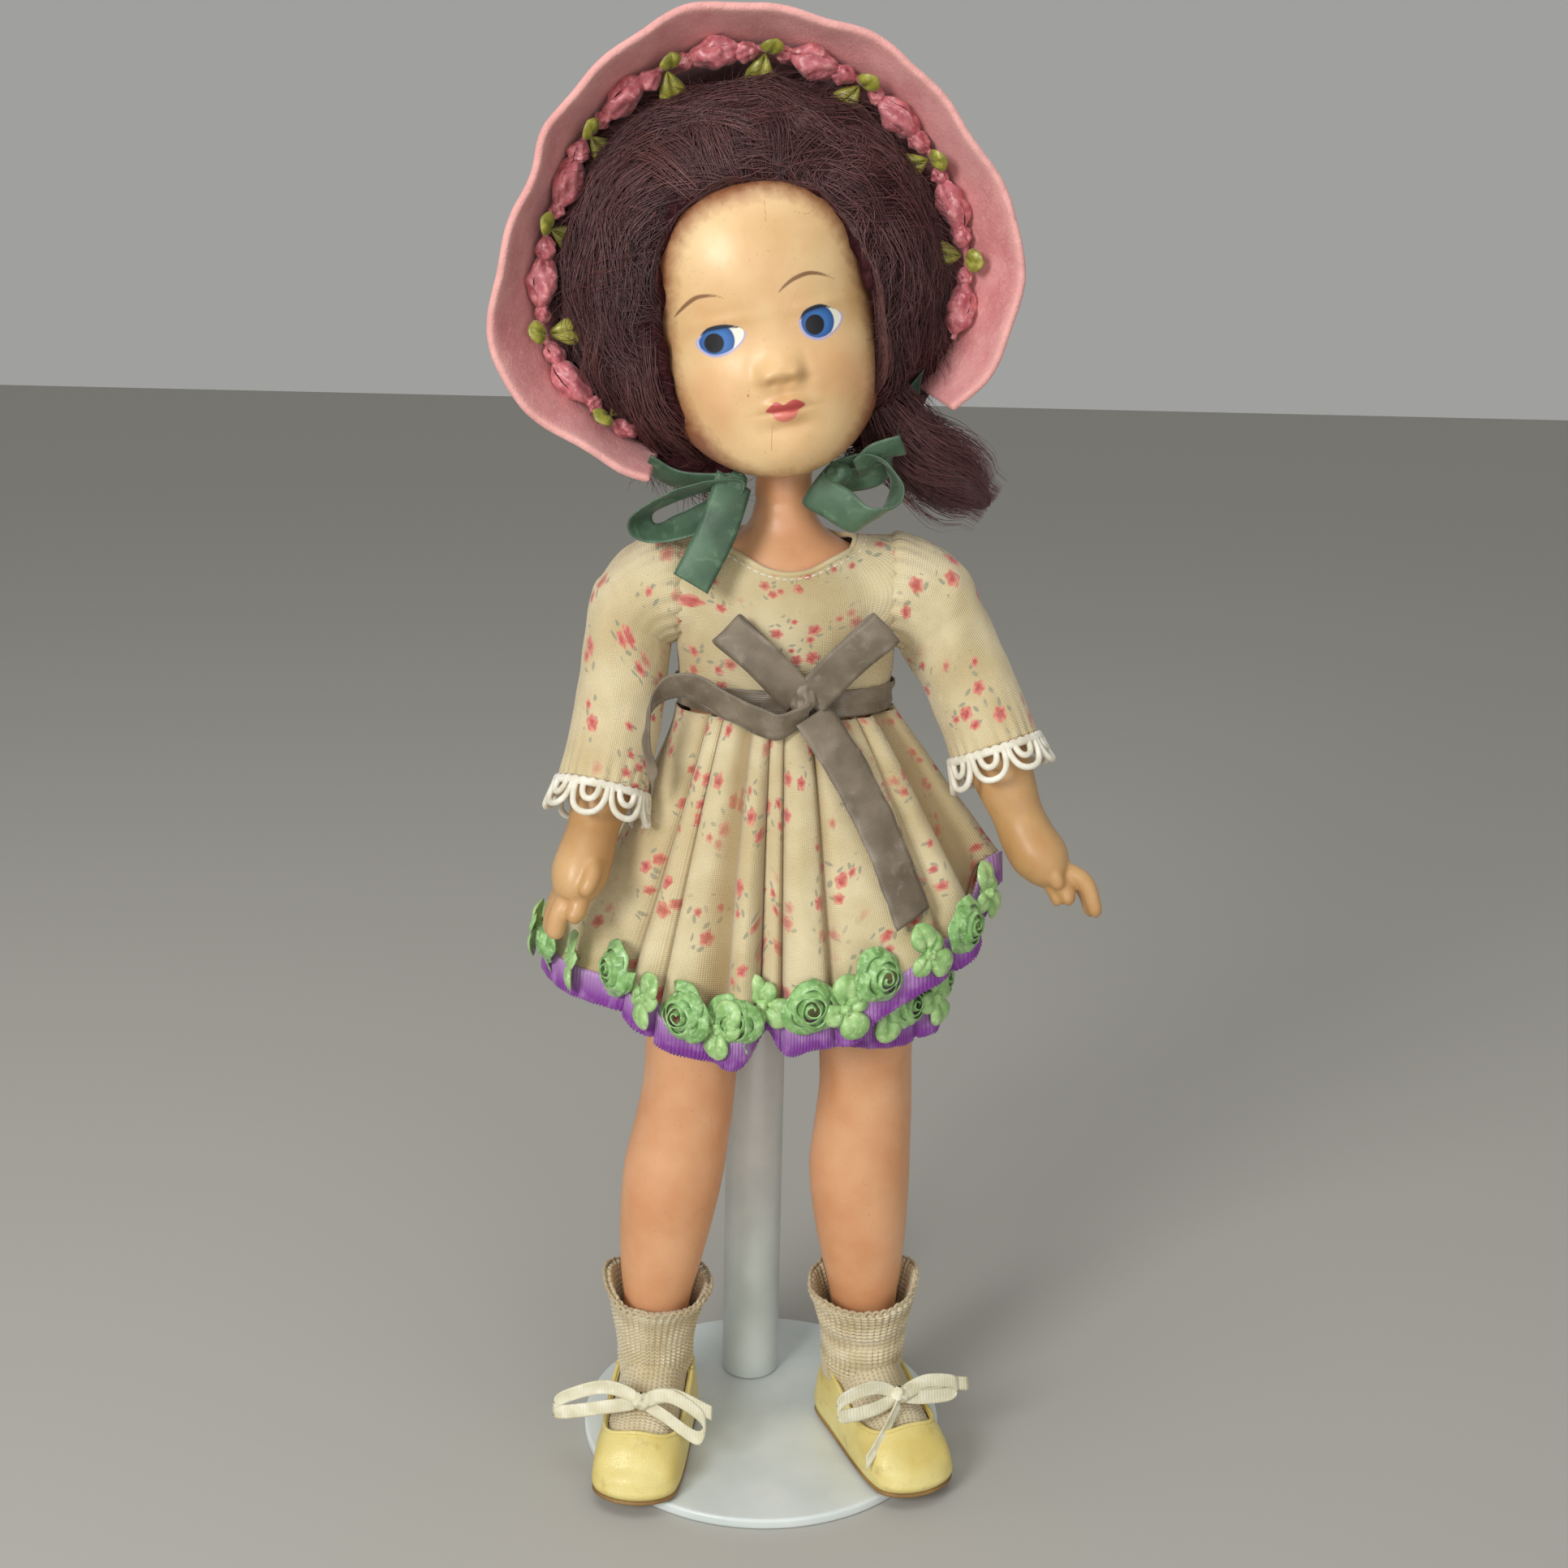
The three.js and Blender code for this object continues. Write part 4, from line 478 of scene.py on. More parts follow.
# A rounded foot form from heel to toe, grown by extra all round
def footPoint(leg, u, v, extra, bottom):
    ankle, forward, sideways = footFrame(leg)
    share = min(max(v, 0.004), 0.996)
    width, height = along(foot["rows"], share)
    rounding = math.sqrt(max(1 - max((share - 0.9) / 0.1, (0.06 - share) / 0.06, 0) ** 2, 0.0))
    half = (width * foot["halfWidth"] + extra) * max(rounding, 0.02)
    reach = share * (foot["length"] + 2 * extra) - foot["heelBehind"] - extra
    top = bottom + (height + extra) * max(rounding, 0.05)
    angle = u * math.tau
    low = math.sin(angle) < 0
    flat = math.copysign(abs(math.cos(angle)) ** 0.6, math.cos(angle)) if low else math.cos(angle)
    middle = bottom + (top - bottom) * 0.4
    z = middle + ((middle - bottom) if low else (top - middle)) * math.sin(angle)
    point = ankle + forward * reach + sideways * half * flat
    point.z = z
    return point


def makeLeg(side):
    leg = legs[side]
    lowest, top = -142, legs["rows"][-1][0]

    def place(u, v):
        angle = u * math.tau
        if v < 0.02:
            height, shrink = lowest, v / 0.02
        elif v > 0.97:
            height, shrink = top, (1 - v) / 0.03
        else:
            height, shrink = lowest + (top - lowest) * (v - 0.02) / 0.95, 1
        knee = math.exp(-((height + 50) / 9) ** 2)  # a shallow kneecap and the dents beside it
        facing = -math.sin(angle)
        swell = 0.7 * knee * smoothStep(facing, 0.55, 0.95)
        swell -= 0.35 * knee * math.exp(-((facing - 0.35) / 0.2) ** 2)
        point = legPoint(leg, height, angle, swell)
        centre = legCentre(leg, height)
        point = centre + (point - centre) * max(shrink, 0.001)
        inner = doll["x"] + leg["sign"] * doll["hipFace"]
        point.x = max(point.x, inner) if leg["sign"] > 0 else min(point.x, inner)
        return point

    shank = shapeGrid("shank", 72, 150, place)
    sole = shapeGrid("sole", 32, 40, lambda u, v: footPoint(leg, u, v, -1, foot["bottom"]))
    finishPiece(joinPieces("leg_casting_" + side, [shank, sole]), flesh, "leg_" + side, "composition",
                "leg_" + side)


for side in ("right", "left"):
    makeLeg(side)
print("legs made")

# Arms: points of each axis as [outward, forward, down] from the shoulder's centre, then fingers and radii
arms = {"rows": [[0, 9.6, 9.6], [0.17, 7.7, 8], [0.31, 8, 8.4], [0.46, 7.8, 8.2], [0.57, 8.3, 8.4],
                 [0.68, 7.4, 7.6], [0.76, 6.6, 7], [0.83, 7, 7.8], [0.91, 7.2, 8.2], [0.97, 5.4, 6.8],
                 [1, 3.2, 4.6]], "voxel": 0.55,
        "right": {"sign": -1, "axis": [[6, 0, 0], [12.6, 2.5, 14.5], [15.4, 8, 35], [19, 15.5, 54],
                                       [21.6, 22, 65], [23.6, 26, 71.5], [25.6, 28.4, 77]],
                  "fingers": [([25, 28, 75], [28, 29.4, 80.5], [29.2, 29.4, 86.4], 3.3),
                              ([26.6, 26, 75.5], [29.4, 27, 81], [30.4, 27.4, 86], 3.1),
                              ([27.4, 24, 75], [30, 25, 80.4], [30.6, 25.6, 84.6], 2.8),
                              ([22.6, 29, 73], [23, 32, 78], [25.6, 33, 79.6], 3),
                              ([19.4, 28, 66], [19.2, 33, 68.6], [21.4, 35, 73], 2.7)]},
        "left": {"sign": 1, "axis": [[6, 0, 0], [15, 2, 14], [23.4, 6, 31], [29, 10, 46], [35.6, 13.4, 61],
                                     [40.4, 16, 67.4], [44, 17.4, 71.4]],
                 "fingers": [([44.6, 17.5, 68.5], [50.4, 19.6, 71.4], [53.8, 21, 80.4], 2.6),
                             ([45, 15.6, 70], [50.2, 17.6, 73.6], [52.8, 18.6, 81], 2.4),
                             ([42.6, 18.6, 70.4], [45.6, 21, 74.2], [44.2, 21.6, 76], 3),
                             ([41.6, 17.4, 71], [43.4, 19.4, 75], [41.6, 20, 76.2], 2.8),
                             ([39.8, 18.6, 64.6], [42, 21.8, 68.6], [43.6, 22.4, 72.4], 2.4)]}}


def armPoint(arm, spot):
    out, forward, down = spot
    return Vector((doll["x"] + arm["sign"] * (doll["shoulderFace"] + out), doll["y"] - forward,
                   doll["shoulderZ"] - down))


# A closed round form along a path; radii(share) gives its half sizes and it tapers shut at both ends
def limb(name, points, columns, rows, radii):
    steps = framesAlong(points, rows)

    def place(u, v):
        centre, across, up = steps[round(v * rows)]
        wide, deep = radii(v)
        end = 1e-3 if v < 1e-6 or v > 1 - 1e-6 else 1
        return centre + end * (across * wide * math.cos(u * math.tau) + up * deep * math.sin(u * math.tau))

    return shapeGrid(name, columns, rows, place)


def fingerRadii(radius):  # tapers to a round tip
    def radii(v):
        tip = math.sqrt(max(1 - max((v - 0.82) / 0.18, 0) ** 2, 0.02))
        return [radius * (1 - 0.3 * v) * tip] * 2
    return radii


def makeArm(side):
    arm = arms[side]
    sign = arm["sign"]
    axis = [armPoint(arm, spot) for spot in arm["axis"]]
    pieces = [limb("upper", axis, 40, 90, lambda v: along(arms["rows"], v))]
    shoulder = armPoint(arm, [3, 0, 0])
    bpy.ops.mesh.primitive_uv_sphere_add(segments=48, ring_count=24, radius=10.6 * mm,
                                         location=shoulder * mm)
    pieces.append(bpy.context.object)
    for root, middle, tip, radius in arm["fingers"]:
        path = [armPoint(arm, spot) for spot in (root, middle, tip)]
        pieces.append(limb("finger", path, 16, 18, fingerRadii(radius)))
    for piece in pieces:
        only(piece)
        bpy.ops.object.transform_apply(location=True, rotation=True, scale=True)
    whole = joinPieces("arm_casting_" + side, pieces)
    fuse = whole.modifiers.new("fuse", "REMESH")
    fuse.mode = "VOXEL"
    fuse.voxel_size = arms["voxel"] * mm
    bpy.ops.object.modifier_apply(modifier=fuse.name)
    soften = whole.modifiers.new("soften", "SMOOTH")
    soften.factor = 0.5
    soften.iterations = 5
    bpy.ops.object.modifier_apply(modifier=soften.name)
    inner = (doll["x"] + sign * doll["shoulderFace"]) * mm
    for vertex in whole.data.vertices:  # the flat face that meets the shoulder socket
        vertex.co.x = max(vertex.co.x, inner) if sign > 0 else min(vertex.co.x, inner)
    finishPiece(whole, tanFlesh, "arm_" + side, "composition", "arm_" + side)


for side in ("right", "left"):
    makeArm(side)
print("arms made")

# Head: rows of share of height, share of half width, and front and back as shares of depth
head = {"height": 80.8, "chinDrop": 4.8, "halfWidth": 30.4, "faceDepth": 32, "backDepth": 35,
        "rows": [[0.005, 0.16, -0.72, 0.4], [0.023, 0.33, -0.81, 0.25], [0.057, 0.51, -0.885, 0.03],
                 [0.1, 0.66, -0.93, -0.29], [0.15, 0.77, -0.955, -0.54], [0.23, 0.87, -0.98, -0.74],
                 [0.32, 0.94, -0.99, -0.87], [0.42, 0.98, -0.985, -0.96], [0.53, 1, -1, -1],
                 [0.645, 1, -0.99, -1], [0.747, 0.955, -0.915, -0.955], [0.835, 0.85, -0.77, -0.845],
                 [0.91, 0.675, -0.56, -0.68], [0.962, 0.46, -0.33, -0.47], [0.992, 0.23, -0.11, -0.26]],
        # raised and sunk places: x, z, spreads across and up, height, all in mm; paired ones have x above 0
        "forms": [[0, 22.4, 2.5, 2.3, 2.9], [0, 27, 3, 4, 0.2], [3.6, 21.4, 1.6, 1.6, 1.9],
                  [6.1, 22.2, 1.1, 2.4, -0.45], [0, 19.5, 4.2, 0.8, -0.6], [2.1, 19.9, 0.9, 0.6, -0.6],
                  [11.8, 31.4, 6.2, 4.2, -1.5], [11.6, 31.6, 4.3, 3, 1], [11.6, 35.4, 5, 1, 0.35],
                  [14, 19, 8, 8, 1.2], [1.8, 15, 1.9, 0.9, 0.8], [0, 14.4, 3.8, 1.2, 0.8],
                  [0, 13.1, 4.2, 0.35, -0.5], [0, 11.9, 2.8, 1.1, 1.2], [0, 9.2, 3.4, 1, -0.5],
                  [0, 3, 6, 4, 1.4], [0, 17.6, 0.9, 1.4, -0.35]]}


# Painted features in the head's frame, x and z in mm
face = {
    "eyes": [[(-17.1, 31.9), (-15.6, 33.5), (-14.2, 34.1), (-11.6, 34.3), (-9.1, 34), (-7, 33.5),
              (-6.4, 32.3), (-7, 30.9), (-8.4, 29.7), (-10.4, 28.6), (-12.7, 28.2), (-14.7, 28.5),
              (-16.3, 29.7), (-17.1, 31)],
             [(6.9, 32.4), (7.6, 33.7), (8.9, 34.5), (11.4, 34.8), (14, 34.3), (15.9, 33.2), (16.8, 31.9),
              (16.6, 30.9), (15.5, 29.6), (13.7, 28.5), (11.7, 27.8), (9.7, 28), (7.9, 29.1), (7, 30.7)]],
    "irises": [(-12.8, 31.4, 3.9), (10.9, 31.4, 3.85)],
    "pupils": [(-13.5, 31, 2.25), (10.1, 31, 2.3)],
    "lids": [[(-16.2, 33.1), (-14.3, 34.2), (-11.5, 34.4), (-9.1, 34.1), (-6.6, 33.4)],
             [(6.9, 32.9), (8.3, 34.2), (10.5, 34.8), (12.5, 34.8), (15.2, 33.8)]],
    "brows": [[(-21.3, 38.2), (-20.1, 39.2), (-18.1, 40.6), (-15.8, 41.7), (-13.8, 41.8), (-11.6, 41.5),
               (-9.7, 40.7)],
              [(3, 39.7), (4.5, 40.8), (7, 42), (10.1, 42.6), (12.6, 42.2), (14.9, 41.2), (16.6, 40.2)]],
    "upperLip": [(-4.9, 13.8), (-3.7, 14.8), (-2.4, 15.6), (-1.3, 15.2), (-0.5, 14.7), (0.7, 15.2),
                 (2.2, 15.5), (3.6, 14.8), (4.6, 13.8), (3.3, 13.1), (1.4, 12.7), (-0.3, 13), (-2, 13.2),
                 (-3.7, 13.3)],
    "lowerLip": [(-3.4, 13.5), (-1.7, 13.5), (-0.3, 13.3), (1.4, 13), (2.8, 13), (1.9, 11.5), (0.4, 10.7),
                 (-1.2, 10.7), (-2.6, 11.4), (-3.2, 12.4)],
    "cracks": [[(3.7, 60.5), (3.4, 58), (3, 55.5)], [(-3.7, 10.4), (-4.4, 7.7), (-5, 4.5)],
               [(16, 57), (13, 55.5), (10, 56.5)]],
    "drop": 1.25, "spot": (-8.1, 18.1, 0.32), "lidWidth": 0.5, "browWidth": 0.48, "crackWidth": 0.07}

# How far the hair stands from the middle of the face at each degree from the top
hairline = [[0, 20.3], [15, 20.6], [30, 21.4], [50, 22.6], [65, 23.4], [90, 24.4], [105, 26.6], [125, 31.4],
            [140, 37], [150, 40.6], [158, 44.5], [170, 49]]
faceMiddleZ = 44


def faceRise(x, z):
    rise, z = 0, z + face["drop"]
    for formX, formZ, wide, tall, height in head["forms"]:
        upright = ((z - formZ) / tall) ** 2
        if upright > 18:
            continue
        for middle in ((formX, -formX) if formX else (0,)):
            rise += height * math.exp(-(((x - middle) / wide) ** 2 + upright) / 2)
    return rise


def headPoint(angle, share):  # angle 0 at the back, half a turn at the face
    width, front, back = along(head["rows"], share)
    frontY = front * head["faceDepth"]
    backY = -back * head["backDepth"]
    x = width * head["halfWidth"] * math.sin(-angle)
    y = (frontY + backY) / 2 + (backY - frontY) / 2 * math.cos(angle)
    z = share * head["height"] - head["chinDrop"]
    facing = smoothStep(-math.cos(angle), 0.2, 0.65)
    rise = facing * faceRise(x, z) if facing > 0 else 0
    return Vector((x, y - rise, z))


def outlineDistance(x, z, outline, looped=True):  # signed distance in mm, below 0 inside
    places = np.array([tuple(p) for p in curveThrough([(a, b, 0) for a, b in outline], 96, looped)])[:, :2]
    nearest = np.full(x.shape, 1e9)
    share = np.zeros(x.shape)
    inside = np.zeros(x.shape, bool)
    for i, (a, b) in enumerate(zip(places[:-1], places[1:])):
        run = b - a
        t = np.clip(((x - a[0]) * run[0] + (z - a[1]) * run[1]) / max(run @ run, 1e-12), 0, 1)
        gap = np.hypot(x - a[0] - t * run[0], z - a[1] - t * run[1])
        closer = gap < nearest
        nearest = np.where(closer, gap, nearest)
        share = np.where(closer, (i + t) / (len(places) - 1), share)
        if a[1] != b[1]:
            crosses = (a[1] > z) != (b[1] > z)
            inside ^= crosses & (x < a[0] + (z - a[1]) / (b[1] - a[1]) * run[0])
    return (np.where(inside, -nearest, nearest), share) if looped else (nearest, share)


def paintFace(piece, places):
    x, z = places[:, 0], places[:, 2] + face["drop"]
    front = places[:, 1] < 0

    def store(name, distance):
        layer = piece.data.attributes.new(name, "FLOAT", "POINT")
        layer.data.foreach_set("value", np.where(front, distance, 9.0).astype(np.float32))

    eye = np.minimum(*[outlineDistance(x, z, outline)[0] for outline in face["eyes"]])
    store("eyeWhite", eye)
    # painted shade: lavender along the lower rim of each eye white and in its corner beside the iris
    store("eyeRimShade", np.maximum(eye - 0.4, z - 32.6))
    store("eyeShade", np.maximum(eye, np.minimum(*[np.abs(x - cx + 3) - 3 for cx, _, _ in face["irises"]])))
    iris = np.minimum(*[np.hypot((x - cx) / 1.04, z - cz) - r for cx, cz, r in face["irises"]])
    store("iris", np.maximum(iris, eye + 0.1))
    store("irisInner", np.maximum(iris + 0.9, eye + 0.3))
    pupil = np.minimum(*[np.hypot(x - cx, z - cz) - r for cx, cz, r in face["pupils"]])
    store("pupil", np.maximum(pupil, eye + 0.15))
    for name, lines, width in (("lid", face["lids"], face["lidWidth"]),
                               ("brow", face["brows"], face["browWidth"])):
        reach = np.full(x.shape, 9.0)
        for line in lines:
            gap, share = outlineDistance(x, z, line, False)
            thick = width * (0.25 + 0.75 * np.sin(np.pi * np.clip(share * 1.1, 0, 1)) ** 0.8)
            reach = np.minimum(reach, gap - thick)
        store(name, reach)
    store("upperLip", outlineDistance(x, z, face["upperLip"])[0])
    store("lowerLip", outlineDistance(x, z, face["lowerLip"])[0])
    cracks = np.min([outlineDistance(x, z, line, False)[0] for line in face["cracks"]], axis=0)
    spotX, spotZ, spotRadius = face["spot"]
    spot = np.hypot(x - spotX, z - spotZ) - spotRadius
    store("crack", np.minimum(cracks - face["crackWidth"], spot))
    # hair dye that bled along the hairline, stronger at the top and at the doll's right
    z = places[:, 2]
    angle = np.degrees(np.arctan2(np.abs(x), z - faceMiddleZ))
    edge = np.interp(angle, [row[0] for row in hairline], [row[1] for row in hairline])
    ragged = np.array([1.1 * noise.noise((a * 0.45, b * 0.45, 3)) + 0.7 * noise.noise((a * 1.3, b * 1.3, 7))
                       for a, b in zip(x, z)])
    fade = np.where(x < 0, -0.2, 0.3) + np.clip((36 - z) / 24, 0, 1) * 2.6
    store("stain", edge - np.hypot(x, z - faceMiddleZ) + ragged - 3.7 + fade)
    cheeks = np.minimum(np.hypot(x + 15.5, z - 18), np.hypot(x - 15.5, z - 18))
    store("blush", cheeks - 5)


def makeHead():
    columns, rows = 300, 190
    low, high = head["rows"][0][0], head["rows"][-1][0]

    def place(u, v):
        t = (u - 0.5) * math.tau
        angle = math.pi + t - 0.45 * math.sin(t)  # points crowd towards the face
        if v < 0.01 or v > 0.99:  # the closed chin underside and crown
            share = low if v < 0.5 else high
            shrink = v / 0.01 if v < 0.5 else (1 - v) / 0.01
            rim = headPoint(angle, share)
            middle = Vector((0, -6, rim.z)) if v < 0.5 else Vector((0, 2, rim.z + 0.4))
            return middle.lerp(rim, shrink)
        return headPoint(angle, low + (high - low) * (v - 0.01) / 0.98)

    piece = shapeGrid("head_casting", columns, rows, place)
    places = np.array([tuple(vertex.co) for vertex in piece.data.vertices]) / mm
    paintFace(piece, places)
    for vertex in piece.data.vertices:
        vertex.co = toWorld(vertex.co / mm) * mm
    # the two lavender eye layers are painted shade round the eye whites
    layers = [("blush", "#E3A070", 5, 0.42), ("stain", "#8A4427", 2.4, 0.85),
              ("crack", "#7A4E2C", 0.12, 0.75), ("brow", "#7B5233", 0.16, 0.9),
              ("eyeRimShade", "#A9A4E0", 0.3, 0.85), ("eyeWhite", "#F1EEDF", 0.12, 1),
              ("eyeShade", "#A7A9E6", 0.5, 0.95), ("iris", "#24508F", 0.14, 1),
              ("irisInner", "#3F7CC4", 0.9, 0.8), ("pupil", "#0A0711", 0.16, 1),
              ("lid", "#15243C", 0.14, 1), ("lowerLip", "#DE7A6A", 0.2, 0.95),
              ("upperLip", "#BC4444", 0.16, 0.97)]
    paint = makeFlesh("paintedFace", "#DBB07A", "#E9C793", "#DDA56D", layers)
    finishPiece(piece, paint, "head", "face_paint", "head")


makeHead()
print("head made")

# Mohair wig: an oval mass round the head, open at the face, in the head's frame
wig = {"middleZ": 41.5, "tall": 42.4, "halfWidth": 45, "middleY": 6, "deep": 36, "end": 162, "lump": 1.8,
       "full": 1.8, "sunk": -2.2, "pieces": 4, "tufts": 84, "strandsEach": 31, "strandRadius": 0.105,
       "segments": 7, "fuzz": 4300, "wisps": 520, "hang": 0.11}


# Brushed mohair: dark burgundy brown, each strand a little different, with a soft silky shine along the hair
# Packed mohair, the mass below the strands, is the same hair without the shine; with no strand tone it keeps
# the darkest tone, painted shade in the gaps between strands
def makeMohair(name, roughness, specular):
    material, tree, shader = startMaterial(
        name, Roughness=roughness, Specular_IOR_Level=specular, Sheen_Weight=specular * 0.6,
        Sheen_Roughness=0.4)
    shader.inputs["Sheen Tint"].default_value = toLinear("#9A6A66")
    coords = addNode(tree, "TexCoord").outputs["Object"]
    tone = twoTone(tree, coords, 2.2, toLinear("#241012"), toLinear("#462427"), 0.3, 0.7)
    strand = addNode(tree, "Attribute", attribute_name="strand")
    tone = tint(tree, tone, strand.outputs["Fac"], 0.15, 1.0, 0.8, "#80524F")
    tree.links.new(tone, shader.inputs["Base Color"])
    drawn = addNode(tree, "Mapping", {"Vector": coords, "Scale": (1, 1, 0.12)})
    hairs = addNode(tree, "TexNoise", {"Vector": drawn.outputs[0], "Scale": 1000 / 0.7, "Detail": 2})
    setBump(tree, shader, hairs.outputs[0], 0.4, 0.6)
    return material


mohair = makeMohair("brushedMohair", 0.42, 0.55)
shadedMohair = makeMohair("shadedMohair", 0.95, 0.04)


def wigSize(z):
    rise = min(max((z - wig["middleZ"]) / wig["tall"], -0.9995), 0.9995)
    fall = math.sqrt(1 - rise * rise)
    return wig["halfWidth"] * fall ** 0.8 * (1 - 0.05 * rise), wig["deep"] * fall ** 0.85


def insideWig(degree, reach):
    turn = math.radians(degree)
    x, z = reach * math.sin(turn), faceMiddleZ + reach * math.cos(turn)
    return abs(z - wig["middleZ"]) <= wig["tall"] * 0.9995 and x <= wigSize(z)[0]


def widestHair(degree):  # reach of the hair at a degree from the top, fuller where it hangs
    reach = bisect(10.0, 60.0, lambda r: insideWig(degree, r), 30)
    return reach * (1 + wig["hang"] * smoothStep(degree, 122, 152))


wigReach = [widestHair(degree) for degree in range(181)]


def wigPoint(degree, share, lift):  # share 0 at the face, 1 at the widest, 2 at the back
    reach = np.interp(abs(degree), range(181), wigReach)
    opening = min(along(hairline, abs(degree))[0], reach * 0.97)
    first = math.asin(opening / reach)
    swing = first + (math.pi / 2 - first) * share if share < 1 else math.pi / 2 * share
    radius = reach * math.sin(swing)
    turn = math.radians(degree)
    x, z = -radius * math.sin(turn), faceMiddleZ + radius * math.cos(turn)
    halfWidth, halfDepth = wigSize(z)
    depth = halfDepth * math.sqrt(max(1 - (x / max(halfWidth, 1)) ** 2, 0))
    point = Vector((x, wig["middleY"] + (depth if share > 1 else -depth), z))
    lump = wig["lump"] * noise.noise(point * 0.09) + 0.7 * noise.noise(point * 0.3)
    lump += wig["full"] * smoothStep(share, 0.45, 0.95) * (1 - smoothStep(share, 1, 1.3))
    away = (point - Vector((0, wig["middleY"] + 4, wig["middleZ"]))).normalized()
    return point + away * (lump + lift)


def makeWig():
    def place(u, v):  # closed below the nape, open at the face
        limit = wig["end"] + (180 - wig["end"]) * smoothStep(v * 1.98, 0.98, 1.25)
        return toWorld(wigPoint((2 * u - 1) * limit, v * 1.98, wig["sunk"] * smoothStep(v, 0.02, 0.2)))
    base = thicken(shapeGrid("wig_mass", 150, 70, place), 3, -1)
    # the mass keeps the darkest hair tone as painted shade below the strands
    finishPiece(base, shadedMohair, "head", "mohair", "wig")
    for index in range(wig["pieces"]):
        paths, tones = [], []
        for _ in range(wig["tufts"]):  # a tuft of strands that share a course
            side = random.choice((-1, 1))
            begin, sweep = random.uniform(-24, 128), random.uniform(20, 52)
            depth, drift = random.random() ** 0.85 * 1.08, random.uniform(-0.3, 0.34)
            raised, tuftTone = random.uniform(-1.6, 1.9), random.uniform(0, 0.55)
            lifted = begin < 80 and random.random() < 0.22  # combed up and back from the hairline
            swing, bend = random.uniform(0, 6.3), random.uniform(0.01, 0.05)
            for _ in range(wig["strandsEach"]):
                spread, shift = random.gauss(0, 4.6), random.gauss(0, 0.055)
                lift, phase = raised + random.uniform(-0.7, 1.1), random.uniform(0, 6.3)
                curl, length = random.uniform(0.003, 0.02), random.uniform(0.6, 1.1)
                path = []
                for step in range(wig["segments"] + 1):
                    t = step / wig["segments"] * length
                    wave = curl * math.sin(phase + 11 * t) + bend * math.sin(swing + 7 * t)
                    share = 0.02 + shift + 0.8 * t if lifted else depth + shift + drift * t
                    degree = begin + spread * (1 - 0.3 * t) + (14 if lifted else sweep) * t + 60 * wave
                    rise = -1.4 + (lift + 1.6) * math.sin(math.pi * (0.12 + 0.8 * t / length))
                    share = min(max(share + wave, 0), 1.12)
                    path.append(toWorld(wigPoint(side * min(degree, wig["end"]), share, rise)))
                paths.append(path)
                tones.append(tuftTone + random.uniform(0, 0.45))
        strands = cordMesh("wig_strands_%d" % (index + 1), paths, wig["strandRadius"], 0,
                           lambda t: 1.05 - 0.85 * t ** 3, tones)
        finishPiece(strands, mohair, "head", "mohair", "wig")
    fuzz, tones = [], []
    for _ in range(wig["fuzz"]):  # fine curly ends that stand off the mass and soften its edge
        outer = random.random() < 0.72
        degree = random.uniform(-wig["end"], wig["end"])
        share = random.uniform(0.72, 1.12) if outer else random.uniform(0.02, 1)
        start = wigPoint(degree, share, -0.4)
        away = (start - Vector((0, wig["middleY"] + 4, wig["middleZ"]))).normalized()
        turn = math.radians(degree)
        around = Vector((-math.cos(turn), 0, -math.sin(turn))) * (1 if degree > 0 else -1)
        stray = Vector((random.gauss(0, 0.5), random.gauss(0, 0.5), random.gauss(0, 0.5)))
        ahead = Vector((0, -random.uniform(0.1, 1.1), 0)) if outer else Vector()
        way = (around + stray + ahead + away * random.uniform(0.1, 1.8 if outer else 0.6)).normalized()
        length, phase = random.uniform(3, 14 if outer else 7), random.uniform(0, 6.3)
        curl, bend = random.uniform(0.2, 1.0), way.cross(away)
        path = []
        for t in (0, 0.25, 0.5, 0.75, 1):
            coil = bend * curl * math.sin(phase + 6 * t) + away * curl * math.cos(phase + 5 * t)
            path.append(toWorld(start + way * length * t + coil - away * 0.27 * length * t * t))
        fuzz.append(path)
        tones.append(random.uniform(0.1, 1))
    fuzz = cordMesh("wig_fuzz", fuzz, 0.085, 0, lambda t: 1 - 0.7 * t, tones)
    finishPiece(fuzz, mohair, "head", "mohair", "wig")
    # short loose wisps along the hairline, over the painted edge
    wisps = []
    for _ in range(wig["wisps"]):
        degree = random.uniform(-135, 135)
        start = wigPoint(degree, random.uniform(0, 0.12), 0.4)
        lean = random.uniform(-0.5, 0.9) * (1 if degree > 0 else -1)
        turn = math.radians(degree)
        inward = Vector((math.sin(turn), -0.1, -math.cos(turn)))
        around = Vector((-math.cos(turn), 0, -math.sin(turn)))
        length = random.uniform(1, 3.6)
        path = [toWorld(start + inward * length * t * 0.6 + around * lean * length * t * (1 + t)
                        + Vector((0, -0.9 * math.sin(2.5 * t), 0))) for t in (0, 0.35, 0.7, 1)]
        wisps.append(path)
    finishPiece(cordMesh("wig_wisps", wisps, 0.09, 0, lambda t: 1 - 0.8 * t), mohair, "head", "mohair",
                "wig")


makeWig()
print("wig made")

# The lock of hair that falls over the doll's left shoulder
lock = {"path": [(24, -6, 292), (33, -3.4, 280.6), (43, -1.5, 273), (53, -2, 266)],
        "rows": [[0, 6, 6], [0.45, 8.6, 7.6], [0.8, 7.4, 6.4], [1, 2.4, 2.4]], "tufts": 70,
        "strandsEach": 32}


